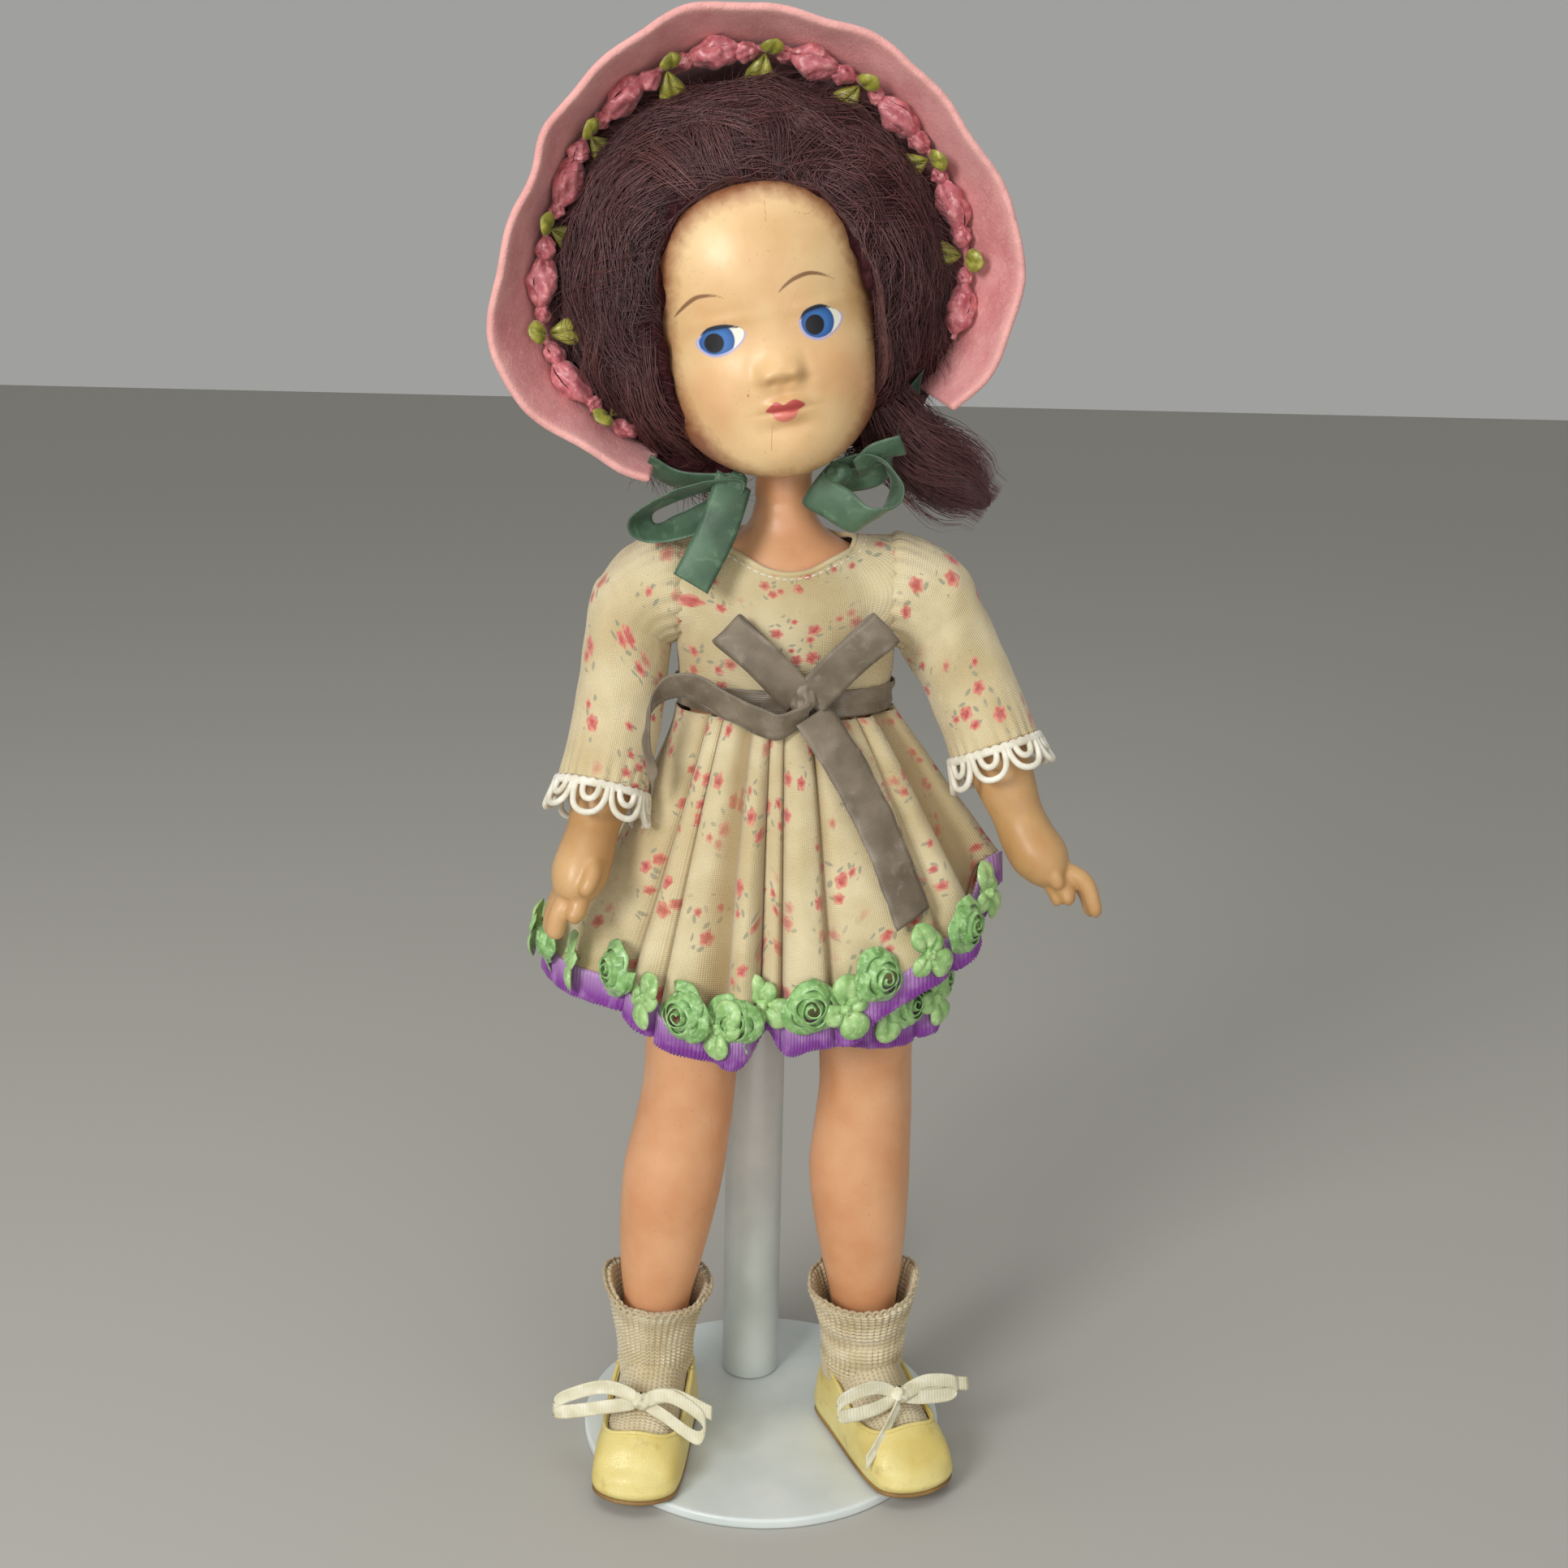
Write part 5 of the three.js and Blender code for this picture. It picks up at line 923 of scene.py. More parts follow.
def makeLock():
    steps = framesAlong(lock["path"], 12)
    mass = limb("hair_lock", lock["path"], 28, 40, lambda v: [r * 0.7 for r in along(lock["rows"], v)])
    finishPiece(mass, mohair, "head", "mohair", "hair_tail")
    paths, tones = [], []
    for _ in range(lock["tufts"]):
        middle, reach = random.uniform(0, math.tau), random.uniform(0.55, 1.15)
        swing, bend, flare = random.uniform(0, 6.3), random.uniform(0.3, 1.6), random.uniform(0.5, 1.6)
        tuftTone = random.uniform(0, 0.6)
        for _ in range(lock["strandsEach"]):
            angle, spread = middle + random.gauss(0, 0.22), reach + random.gauss(0, 0.1)
            curl, phase = random.uniform(0.1, 0.8), random.uniform(0, 6.3)
            stop, first = random.randint(6, 12), random.randint(0, 4)
            path = []
            for i in range(first, stop + 1):
                centre, across, up = steps[i]
                t = i / 12
                wide = along(lock["rows"], min(t, 0.93))[0] * spread * (1 + (flare - 1) * t)
                turn = angle + 0.6 * math.sin(2 * t + middle)
                wave = across * (curl * math.sin(phase + 9 * t) + bend * math.sin(swing + 5 * t))
                wave += up * (curl * math.cos(phase + 7 * t) + bend * math.cos(swing + 4 * t))
                path.append(centre + across * wide * math.cos(turn) + up * wide * math.sin(turn) + wave)
            paths.append(path)
            tones.append(tuftTone + random.uniform(0, 0.4))
    strands = cordMesh("hair_lock_strands", paths, 0.09, 0, lambda t: 1.05 - 0.85 * t ** 2, tones)
    finishPiece(strands, mohair, "head", "mohair", "hair_tail")


makeLock()
print("hair lock made")

# Felt bonnet, in the head's frame, round an axis that runs front to back
hat = {"reach": 58.4, "crown": 48.5, "seamY": 9.3, "brimBack": 8.6, "brimRun": -23, "depth": 45, "felt": 2,
       "start": -135, "end": 142,
       "waves": [[-135, -1.6], [-119, 3.8], [-101, 4.2], [-77, 1], [-50, -1.3], [-23, -1], [2, -0.6],
                 [27, -1], [46, -2.3], [56, -4], [67, -1.6], [90, 4.4], [104, 5.4], [122, 1], [142, -4]]}


# Wool felt: matted fibres in dusty pink, matt, paler along the brim's front edge as a painted highlight,
# with a soft sheen
def makeFelt():
    material, tree, shader = startMaterial("pinkWoolFelt", Roughness=0.95, Specular_IOR_Level=0.2,
                                           Sheen_Weight=0.6, Sheen_Roughness=0.5)
    shader.inputs["Sheen Tint"].default_value = toLinear("#F6D3D0")
    coords = addNode(tree, "TexCoord").outputs["Object"]
    tone = twoTone(tree, coords, 9, toLinear("#CF7F80"), toLinear("#E39B99"))
    fibres = addNode(tree, "TexNoise",
                     {"Vector": coords, "Scale": 1000 / 1.1, "Detail": 5, "Distortion": 1.2})
    tone = tint(tree, tone, fibres.outputs[0], 0.48, 0.7, 0.45, "#EDB4AE")
    # painted highlight: paler felt along the brim's front edge
    paintedHighlight = addNode(tree, "Attribute", attribute_name="paintedHighlight")
    edgeHighlight = addNode(tree, "Math", {0: paintedHighlight.outputs["Fac"], 1: 0.6}, operation="MULTIPLY")
    tone = overlay(tree, edgeHighlight.outputs[0], tone, toLinear("#F3BDB4"))
    stain = addNode(tree, "TexNoise", {"Vector": coords, "Scale": 1000 / 26, "Detail": 3})
    tone = tint(tree, tone, stain.outputs[0], 0.52, 0.72, 0.35, "#B9746F")
    tree.links.new(tone, shader.inputs["Base Color"])
    setBump(tree, shader, fibres.outputs[0], 0.45, 0.7)
    return material


felt = makeFelt()


def hatPoint(degree, radius, y):
    turn = math.radians(degree)
    return Vector((-radius * math.sin(turn), y, faceMiddleZ + radius * math.cos(turn)))


def brimPoint(degree, share, lift=0.0):  # lift is away from the face, across the felt
    reach = hat["reach"] + along(hat["waves"], degree)[0]
    radius = hat["crown"] + 1 + (reach - hat["crown"]) * share
    y = hat["brimBack"] + hat["brimRun"] * share
    flutter = share * share * (0.9 * math.sin(degree * 0.13 + 1) + 0.5 * math.sin(degree * 0.29))
    return hatPoint(degree, radius + 0.918 * (lift + flutter), y + 0.395 * (lift + flutter))


def makeBonnet():
    def onBrim(u, v):
        degree = hat["start"] + (hat["end"] - hat["start"]) * u
        point = brimPoint(degree, v)
        rough = 0.35 * noise.noise(point * 0.35) + 0.2 * noise.noise(point * 0.9)
        if v > 0.97:
            rough *= 1.6
        return toWorld(point + Vector((0, rough, 0)))

    brim = thicken(shapeGrid("hat_brim_felt", 220, 18, onBrim), hat["felt"], 0, 1)
    # painted highlight, strongest at the brim's front edge, where the felt's edge catches the light
    layer = brim.data.attributes.new("paintedHighlight", "FLOAT", "POINT")
    toHead = headTurn.inverted()
    for vertex, value in zip(brim.data.vertices, layer.data):
        y = (toHead @ (vertex.co / mm - neckAt)).y
        value.value = smoothStep(-y, 11.5, 15)
    finishPiece(brim, felt, "head", "pink_felt", "hat_brim")

    def onCrown(u, v):
        rise = math.radians(90 * v)
        radius = max((hat["crown"] + hat["felt"]) * max(math.cos(rise), 0) ** 0.75, 0.001)
        y = hat["seamY"] + hat["depth"] * math.sin(rise)
        point = hatPoint(360 * u, radius, y)
        dent = 0.8 * noise.noise(point * 0.05) + 0.3 * noise.noise(point * 0.3)
        return toWorld(point + Vector((0, dent * math.sin(rise), 0)))

    crown = thicken(shapeGrid("hat_crown_felt", 180, 48, onCrown), hat["felt"], -1)
    finishPiece(crown, felt, "head", "pink_felt", "hat_crown")
    stitches = []
    for k in range(100):  # overcast stitches that join brim and crown
        degree = hat["start"] + 4 + (hat["end"] - hat["start"] - 8) * k / 99
        low = hatPoint(degree - 1, hat["crown"] + 2.9, hat["seamY"] + 2.4)
        high = brimPoint(degree + 1, 0.12, 1.35)
        top = (low + high) / 2 + hatPoint(degree, 0.9, 0) - hatPoint(degree, 0, 0)
        stitches.append([toWorld(p) for p in curveThrough([low, top, high], 5)])
    finishPiece(cordMesh("hat_seam_stitches", stitches, 0.22, 1), felt, "head", "pink_felt", "hat_crown")


makeBonnet()
print("bonnet made")


# Satin ribbon: fine lengthwise gloss over a close warp, with random patches of painted light and shade as on
# crushed satin and a painted highlight in the glint colour
def makeSatin(name, deep, light, glint, roughness, grain, rib=0.0):
    material, tree, shader = startMaterial(name, Roughness=roughness, Specular_IOR_Level=0.6,
                                           Sheen_Weight=0.25, Sheen_Roughness=0.35)
    coords = addNode(tree, "TexCoord").outputs["Object"]
    tone = twoTone(tree, coords, grain, toLinear(deep), toLinear(light))
    shine = addNode(tree, "TexNoise",
                    {"Vector": coords, "Scale": 1000 / (grain * 0.5), "Detail": 4, "Distortion": 0.8})
    # painted highlight: the glint colour laid where the shine noise is high
    tone = tint(tree, tone, shine.outputs[0], 0.55, 0.75, 0.7, glint)
    height = shine.outputs[0]
    if rib:  # weft ribs across the ribbon, spaced in mm along its length
        strip = addNode(tree, "UVMap", uv_map="cloth")
        ribs = addNode(tree, "TexWave",
                       {"Vector": strip.outputs[0], "Scale": math.tau / 20 / rib, "Distortion": 0.6},
                       bands_direction="Y")
        # painted shade in the hollows between the weft ribs
        shade = addNode(tree, "MapRange", {0: ribs.outputs[1], 1: 0.0, 2: 0.6, 3: 0.45, 4: 0.0})
        tone = overlay(tree, shade.outputs[0], tone, toLinear(deep))
        height = addNode(tree, "Math", {0: ribs.outputs[1], 1: 0.7, 2: shine.outputs[0]},
                         operation="MULTIPLY_ADD").outputs[0]
    tree.links.new(tone, shader.inputs["Base Color"])
    setBump(tree, shader, height, 0.16, 0.5)
    return material


# each satin's last colour is its painted highlight, and its deep and light tones are painted shade and light
pinkSatin = makeSatin("pinkSatinRibbon", "#AE565F", "#D58085", "#F2BDB6", 0.36, 2.4)
leafSatin = makeSatin("mossSatinRibbon", "#7F7E2E", "#ABA742", "#D9D27C", 0.36, 3)
greenSatin = makeSatin("greenSatinRibbon", "#3D5843", "#57765B", "#7C9C7D", 0.42, 9, 0.5)
roseSatin = makeSatin("paleGreenSatinRibbon", "#6F9E55", "#9DCB82", "#DCF2C4", 0.34, 2.4)
loopSatin = makeSatin("limeSatinRibbon", "#86B268", "#AFD48C", "#DDF0B8", 0.38, 3)
taupeRibbon = makeSatin("taupeGrosgrain", "#6A5D4C", "#8C7E6B", "#A4988A", 0.5, 9, 0.55)


# A folded bud of ribbon: a plump spindle with turned petals, placed by its middle and three directions
def ribbonBud(name, middle, ahead, side, out, length, width, height, twist):
    def place(u, v):
        turn = u * math.tau
        plump = max(math.sin(math.pi * (0.03 + 0.94 * v)), 0) ** 0.62
        petal = 1 + 0.17 * math.cos(3 * turn + twist + 5 * v) + 0.07 * math.cos(7 * turn - 9 * v + twist)
        ripple = 0.25 * noise.noise(Vector((3 * u, 5 * v, twist)))
        wide = plump * petal + ripple * plump
        return (middle + ahead * length * (v - 0.5) + side * width / 2 * wide * math.cos(turn)
                + out * height / 2 * wide * math.sin(turn))
    return shapeGrid(name, 30, 18, place)


# A loop of ribbon: a puffed teardrop with a crease that runs up from its root
def ribbonLeaf(name, root, ahead, out, length, width, cup):
    side = ahead.cross(out).normalized()

    def place(u, v):
        half = width / 2 * max(math.sin(math.pi * v ** 1.3), 0.0) ** 0.6 + 0.15
        across = 2 * u - 1
        puff = cup * math.sin(math.pi * v) ** 0.7 * math.sqrt(max(1 - 0.8 * across * across, 0))
        crease = 0.7 * cup * math.exp(-(across / 0.22) ** 2) * (1 - v)
        return root + ahead * length * v + side * half * across + out * (puff - crease)
    return thicken(shapeGrid(name, 10, 12, place, (width, length), False), 0.35, 0)


# Garland: each bud's step along a repeat, its length, width and height, and how far it turns
garland = {"first": -119, "last": 130, "repeats": 9, "share": 0.42, "lift": -4.2,
           "buds": [("bud", 0, (12.5, 8, 6.6), 1.7, 0), ("knot", 0.3, (4.6, 3.8, 3.6), 2.9, 0),
                    ("bud", 0.7, (6.4, 4.8, 4.4), 0.9, 1)]}


def makeGarland():
    def spot(degree, lift=0.0):  # a place on the garland's line, with ahead, outward and the way it faces
        here = brimPoint(degree, garland["share"], garland["lift"] + lift)
        ahead = (brimPoint(degree + 1, garland["share"], garland["lift"]) - here).normalized()
        inner, outer = brimPoint(degree, 0.2, garland["lift"]), brimPoint(degree, 0.7, garland["lift"])
        outward = (outer - inner).normalized()
        face = headTurn @ ahead.cross(outward).normalized()
        return toWorld(here), headTurn @ ahead, headTurn @ outward, -face if face.y > 0 else face

    buds, leaves = [], []
    span = (garland["last"] - garland["first"]) / garland["repeats"]
    for k in range(garland["repeats"]):
        degree = garland["first"] + span * (k + 0.3)
        for name, step, size, twist, offset in garland["buds"]:
            middle, ahead, outward, face = spot(degree + span * step)
            buds.append(ribbonBud(name, middle, ahead, outward, face, *size, k * twist + offset))
        middle, ahead, outward, face = spot(degree + span * 0.5)
        inward = (-0.85 * outward + 0.2 * ahead + 0.6 * face).normalized()
        leaves.append(ribbonLeaf("leaf", middle - outward, inward, 0.85 * face + 0.6 * outward, 9.6, 6.4,
                                 2.4))
        leaves.append(ribbonLeaf("leaf", middle + outward, (outward - 0.35 * ahead).normalized(), face, 6.4,
                                 5.4, 2))
    stem = [spot(garland["first"] + (garland["last"] - garland["first"]) * k / 60, 0.8)[0]
            for k in range(61)]
    buds.append(cordMesh("stem", [stem], 0.8, 2))
    finishPiece(joinPieces("garland_buds", buds), pinkSatin, "head", "garland", "hat_garland")
    finishPiece(joinPieces("garland_leaves", leaves), leafSatin, "head", "garland", "hat_garland")


makeGarland()
print("garland made")


# A strip of ribbon along points; across is one direction or one for each point
def ribbonStrip(name, points, width, across, samples, looped=False, cup=0.0, thickness=0.35, ripple=0.0):
    ways = across if isinstance(across, list) else [across] * len(points)
    joint = [Vector((*spot, *(Vector(way) * 0.001))) for spot, way in zip(points, ways)]
    course = curveThrough(joint, samples, looped)
    places, turns = [Vector(c[:3]) for c in course], [Vector(c[3:]) for c in course]
    length = pathLength(points, looped)

    def place(u, v):
        i = round(v * samples)
        before = places[i - 1] if i else (places[-2] if looped else places[0])
        after = places[i + 1] if i < samples else (places[1] if looped else places[-1])
        side = turns[i].normalized()
        face = (after - before).cross(side).normalized()
        w = 2 * u - 1
        bow = cup * (1 - w * w) + ripple * noise.noise(places[i] * 0.2 + side * w)
        return places[i] + side * width / 2 * w + face * bow
    strip = shapeGrid(name, 8, samples, place, (width, length), looped)
    return thicken(strip, thickness, 0)


# Hat ties: points of each ribbon in mm, and the left bow's width direction at each of its points
hatTies = {"width": 9, "knotRight": (-11, -20.4, 272.2), "knotLeft": (14, -21, 275), "loopLean": 0.5,
           "strapRight": [(-10, -19, 272.6)], "strapLeft": [(26, -15, 276), (11.5, -19, 272.6)],
           "loopRight": [(-11, -20, 271.6), (-22, -22, 270.4), (-33.5, -20.4, 264.4), (-32.5, -18, 259.6),
                         (-21, -18.6, 262.6)],
           "tailRight": [(-11.4, -20.4, 273), (-15, -25.2, 261.6), (-21.4, -28, 248.6)],
           "bowLeft": [(8, -19.5, 272), (14, -23, 268), (20, -24.6, 264.6), (26, -22.5, 267.2),
                       (28.4, -19.5, 272.6), (24.5, -18, 277.4), (17, -19, 277)],
           "bowAcross": [(0.5, -0.3, 0.8), (0.55, -0.3, 0.78), (0.4, -0.6, 0.7), (0.35, -0.9, 0.2),
                         (0.3, -0.95, 0), (0.1, -0.95, 0.25), (0.3, -0.7, 0.6)],
           "stubLeft": [(18, -20, 276.6), (23, -20.4, 280.6), (29.4, -20, 282.4)]}


def makeHatTies():
    width, front = hatTies["width"], Vector((0, -1, 0))

    def leaveBrim(degree, way, radius, y):
        end = toWorld(hatPoint(degree, radius, y))
        away = (toWorld(hatPoint(degree + way, radius, y)) - end).normalized()
        return [end - away * 2, end + away * 7]

    strapPath = leaveBrim(hat["end"], 1, 53, -6) + hatTies["strapRight"]
    strap = ribbonStrip("strap", strapPath, width * 0.75, (0.3, -0.7, 0.65), 24, cup=0.5)
    loopPath, lean = hatTies["loopRight"], hatTies["loopLean"]
    middle = sum((Vector(p) for p in loopPath), Vector()) / len(loopPath)
    flared = [(Vector(p) - middle).normalized() * lean + Vector((0, lean - 1, 0)) for p in loopPath]
    loop = ribbonStrip("loop", loopPath, width * 0.85, flared, 60, True, 0.3, ripple=0.4)
    knot = ribbonBud("knot", Vector(hatTies["knotRight"]), Vector((0.8, 0, 0.6)), Vector((-0.6, 0, 0.8)),
                     front, 6, 5.4, 4, 2)
    piece = joinPieces("hat_tie_strap_right", [strap, knot])
    finishPiece(piece, greenSatin, "head", "green_ribbon", "hat_tie_right")
    loop.name = "hat_tie_loop_right"
    finishPiece(loop, greenSatin, "head", "green_ribbon", "hat_tie_right")
    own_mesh(loop)  # given its own copy of its mesh
    tailPath = hatTies["tailRight"]
    tail = ribbonStrip("hat_tie_tail_right", tailPath, width * 1.06, (0.87, 0, -0.5), 30, cup=0.8,
                       ripple=0.5)
    finishPiece(tail, greenSatin, None, "green_ribbon", "hat_tie_right")
    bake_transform(tail)  # its end stays on the dress when the head turns

    strapPath = leaveBrim(hat["start"], -1, 50, 0) + hatTies["strapLeft"]
    strap = ribbonStrip("strap", strapPath, width * 0.8, (0.1, -0.5, 0.85), 36, cup=0.5)
    bow = ribbonStrip("bow", hatTies["bowLeft"], width * 1.06, hatTies["bowAcross"], 72, True, 0.4,
                      ripple=0.5)
    knot = ribbonBud("knot", Vector(hatTies["knotLeft"]), Vector((0.9, 0, 0.4)), Vector((-0.4, 0, 0.9)),
                     front, 6.5, 6, 4, 5)
    stub = ribbonStrip("stub", hatTies["stubLeft"], width * 0.7, (-0.3, -0.6, 0.7), 12, cup=0.4, ripple=0.6)
    piece = joinPieces("hat_tie_bow_left", [strap, bow, knot, stub])
    finishPiece(piece, greenSatin, "head", "green_ribbon", "hat_tie_left")


makeHatTies()
print("hat ties made")


# Printed cotton voile: thin aged cream cloth with small coral roses and grey-green leaves, soft and matt,
# with painted shade in the gathers
def makeVoile():
    material, tree, shader = startMaterial(
        "printedCottonVoile", Roughness=0.85, Specular_IOR_Level=0.25, Sheen_Weight=0.3,
        Sheen_Roughness=0.5)
    coords = addNode(tree, "TexCoord").outputs["Object"]
    cloth = addNode(tree, "UVMap", uv_map="cloth").outputs[0]
    tone = twoTone(tree, coords, 22, toLinear("#CDB98C"), toLinear("#E4D5AE"))
    mottle = addNode(tree, "TexNoise", {"Vector": cloth, "Scale": 1 / 1.3, "Detail": 3}).outputs[0]

    def motifs(spacing, loose):  # the place of each motif, its random numbers, and the way from its middle
        cells = addNode(tree, "TexVoronoi", {"Vector": cloth, "Scale": 1 / spacing, "Randomness": loose},
                        voronoi_dimensions="2D")
        spot = cells.outputs["Position"]
        way = addNode(tree, "VectorMath", {0: cloth, 1: spot}, operation="SUBTRACT").outputs[0]
        chance = addNode(tree, "SeparateColor", {0: cells.outputs["Color"]}).outputs
        return way, chance, addNode(tree, "VectorMath", {0: way}, operation="LENGTH").outputs["Value"], spot

    way, chance, reach, spot = motifs(6.2, 0.9)
    crowd = addNode(tree, "TexNoise", {"Vector": spot, "Scale": 1 / 14, "Detail": 1}).outputs[0]
    clustered = addNode(tree, "MapRange", {0: crowd, 1: 0.47, 2: 0.52}).outputs[0]
    axes = addNode(tree, "SeparateXYZ", {0: way}).outputs
    bearing = addNode(tree, "Math", {0: axes[1], 1: axes[0]}, operation="ARCTAN2").outputs[0]
    petalTurn = addNode(tree, "Math", {0: bearing, 1: 5.0, 2: chance[1]},
                        operation="MULTIPLY_ADD").outputs[0]
    lobes = addNode(tree, "Math", {0: petalTurn}, operation="COSINE").outputs[0]
    size = addNode(tree, "MapRange", {0: chance[2], 3: 1.3, 4: 2.7}).outputs[0]
    lobed = addNode(tree, "Math", {0: lobes, 1: 0.09, 2: 0.85}, operation="MULTIPLY_ADD").outputs[0]
    edge = addNode(tree, "Math", {0: lobed, 1: size}, operation="MULTIPLY").outputs[0]
    ragged = addNode(tree, "Math", {0: mottle, 1: 1.6, 2: edge}, operation="MULTIPLY_ADD").outputs[0]
    ragged = addNode(tree, "Math", {0: ragged, 1: 0.8}, operation="SUBTRACT").outputs[0]
    depth = addNode(tree, "Math", {0: ragged, 1: reach}, operation="SUBTRACT").outputs[0]
    shown = addNode(tree, "MapRange", {0: chance[0], 1: 0.3, 2: 0.32}).outputs[0]
    shown = addNode(tree, "Math", {0: shown, 1: clustered}, operation="MULTIPLY").outputs[0]
    petals = addNode(tree, "MapRange", {0: depth, 1: -0.2, 2: 0.35, 4: 0.9}).outputs[0]
    rose = addNode(tree, "Math", {0: petals, 1: shown}, operation="MULTIPLY").outputs[0]

    # leaves lie about the roses
    leafWay, leafChance, _, _ = motifs(3.1, 1.0)
    spin = addNode(tree, "Math", {0: leafChance[1], 1: 6.28}, operation="MULTIPLY").outputs[0]
    laid = addNode(tree, "VectorRotate", {"Vector": leafWay, "Angle": spin},
                   rotation_type="Z_AXIS").outputs[0]
    slim = addNode(tree, "VectorMath", {0: laid, 1: (0.8, 1.7, 0)}, operation="MULTIPLY").outputs[0]
    leafReach = addNode(tree, "VectorMath", {0: slim}, operation="LENGTH").outputs["Value"]
    leaf = addNode(tree, "MapRange", {0: leafReach, 1: 1.1, 2: 0.7, 4: 0.7}).outputs[0]
    near = addNode(tree, "MapRange", {0: reach, 1: 5.5, 2: 4}).outputs[0]
    nearRose = addNode(tree, "Math", {0: near, 1: shown}, operation="MULTIPLY").outputs[0]
    some = addNode(tree, "MapRange", {0: leafChance[0], 1: 0.4, 2: 0.42}).outputs[0]
    leafHere = addNode(tree, "Math", {0: leaf, 1: some}, operation="MULTIPLY").outputs[0]
    leafHere = addNode(tree, "Math", {0: leafHere, 1: nearRose}, operation="MULTIPLY").outputs[0]
    tone = overlay(tree, leafHere, tone, toLinear("#8C9180"))

    coral = addNode(tree, "MapRange", {0: mottle, 1: 0.35, 2: 0.65}).outputs[0]
    rosy = addNode(tree, "Mix", {0: coral, 6: toLinear("#CF5552"), 7: toLinear("#EBA08C")},
                   data_type="RGBA").outputs[2]
    tone = overlay(tree, rose, tone, rosy)
    core = addNode(tree, "Math", {0: reach, 1: size}, operation="DIVIDE").outputs[0]
    core = addNode(tree, "MapRange", {0: core, 1: 0.6, 2: 0.25, 4: 0.6}).outputs[0]
    core = addNode(tree, "Math", {0: core, 1: shown}, operation="MULTIPLY").outputs[0]
    tone = overlay(tree, core, tone, toLinear("#B5404A"))
    folds = addNode(tree, "TexNoise", {"Vector": coords, "Scale": 1000 / 13, "Detail": 4})
    tone = tint(tree, tone, folds.outputs[0], 0.5, 0.75, 0.3, "#B49A66")
    valley = addNode(tree, "Attribute", attribute_name="fold")  # painted shade, darker the deeper the gathers
    tone = tint(tree, tone, valley.outputs["Fac"], 0, 1, 0.6, "#9A7B4C")
    tree.links.new(tone, shader.inputs["Base Color"])
    # the weave, coarsened to 0.55 mm so that it holds at this distance
    thread = {"Vector": cloth, "Scale": math.tau / 20 / 0.55, "Distortion": 0.4}
    warp = addNode(tree, "TexWave", thread, bands_direction="X")
    weft = addNode(tree, "TexWave", thread, bands_direction="Y")
    weave = addNode(tree, "Math", {0: warp.outputs[1], 1: weft.outputs[1]}, operation="ADD")
    crumple = addNode(tree, "Math", {0: folds.outputs[0], 1: 4.0, 2: weave.outputs[0]},
                      operation="MULTIPLY_ADD")
    setBump(tree, shader, crumple.outputs[0], 0.14, 0.6)
    return material


# Cotton thread and lace: near-white twisted cord, matt
def makeThread(name, dark, light):
    material, tree, shader = startMaterial(name, Roughness=0.8, Specular_IOR_Level=0.3, Sheen_Weight=0.3)
    coords = addNode(tree, "TexCoord").outputs["Object"]
    tree.links.new(twoTone(tree, coords, 5, toLinear(dark), toLinear(light)), shader.inputs["Base Color"])
    twist = addNode(tree, "TexNoise", {"Vector": coords, "Scale": 1000 / 0.5, "Detail": 2})
    setBump(tree, shader, twist.outputs[0], 0.15, 0.6)
    return material


voile = makeVoile()
laceCotton = makeThread("whiteLaceCotton", "#D9D2BC", "#F4F0E2")
whiteThread = makeThread("whiteSewingThread", "#DCD6C4", "#F3EFE2")

# Bodice of the dress: cloth over the torso and shoulders, open at an oval neckline
dress = {"ease": 1.6, "shoulder": 13.4, "side": 27.3, "neckY": -7.5, "neckWide": 16.8, "neckDeep": 13,
         "bottom": 214.4, "cloth": 0.6, "around": 158, "tall": 52, "armhole": 14.2, "sleeveRadius": 11,
         "sleeveClothRadius": 12.4, "sleeveShare": {"right": 0.9, "left": 0.78}}
heart = Vector((doll["x"], doll["y"], 240))


def insideBodice(point):
    width, depth = along(torso["rows"], point.z)
    lean = smoothStep(point.z, doll["shoulderZ"], neckAt.z - 7)
    x = point.x - doll["x"] - lean * (neckAt.x - doll["x"])
    y = point.y - doll["y"] - lean * (neckAt.y - doll["y"])
    if (x / (width + dress["ease"])) ** 2 + (y / (depth + dress["ease"])) ** 2 < 1:
        return abs(x) < dress["side"]
    fromArm = math.hypot(point.y - doll["y"], point.z - doll["shoulderZ"])
    return abs(point.x - doll["x"]) < dress["side"] and fromArm < dress["shoulder"]


def bodicePoint(angle, rise):  # where a ray from inside the chest leaves the cloth's form
    ray = Vector((math.cos(rise) * math.cos(angle), math.cos(rise) * math.sin(angle), math.sin(rise)))
    return heart + ray * bisect(5.0, 60.0, lambda reach: insideBodice(heart + ray * reach), 18)


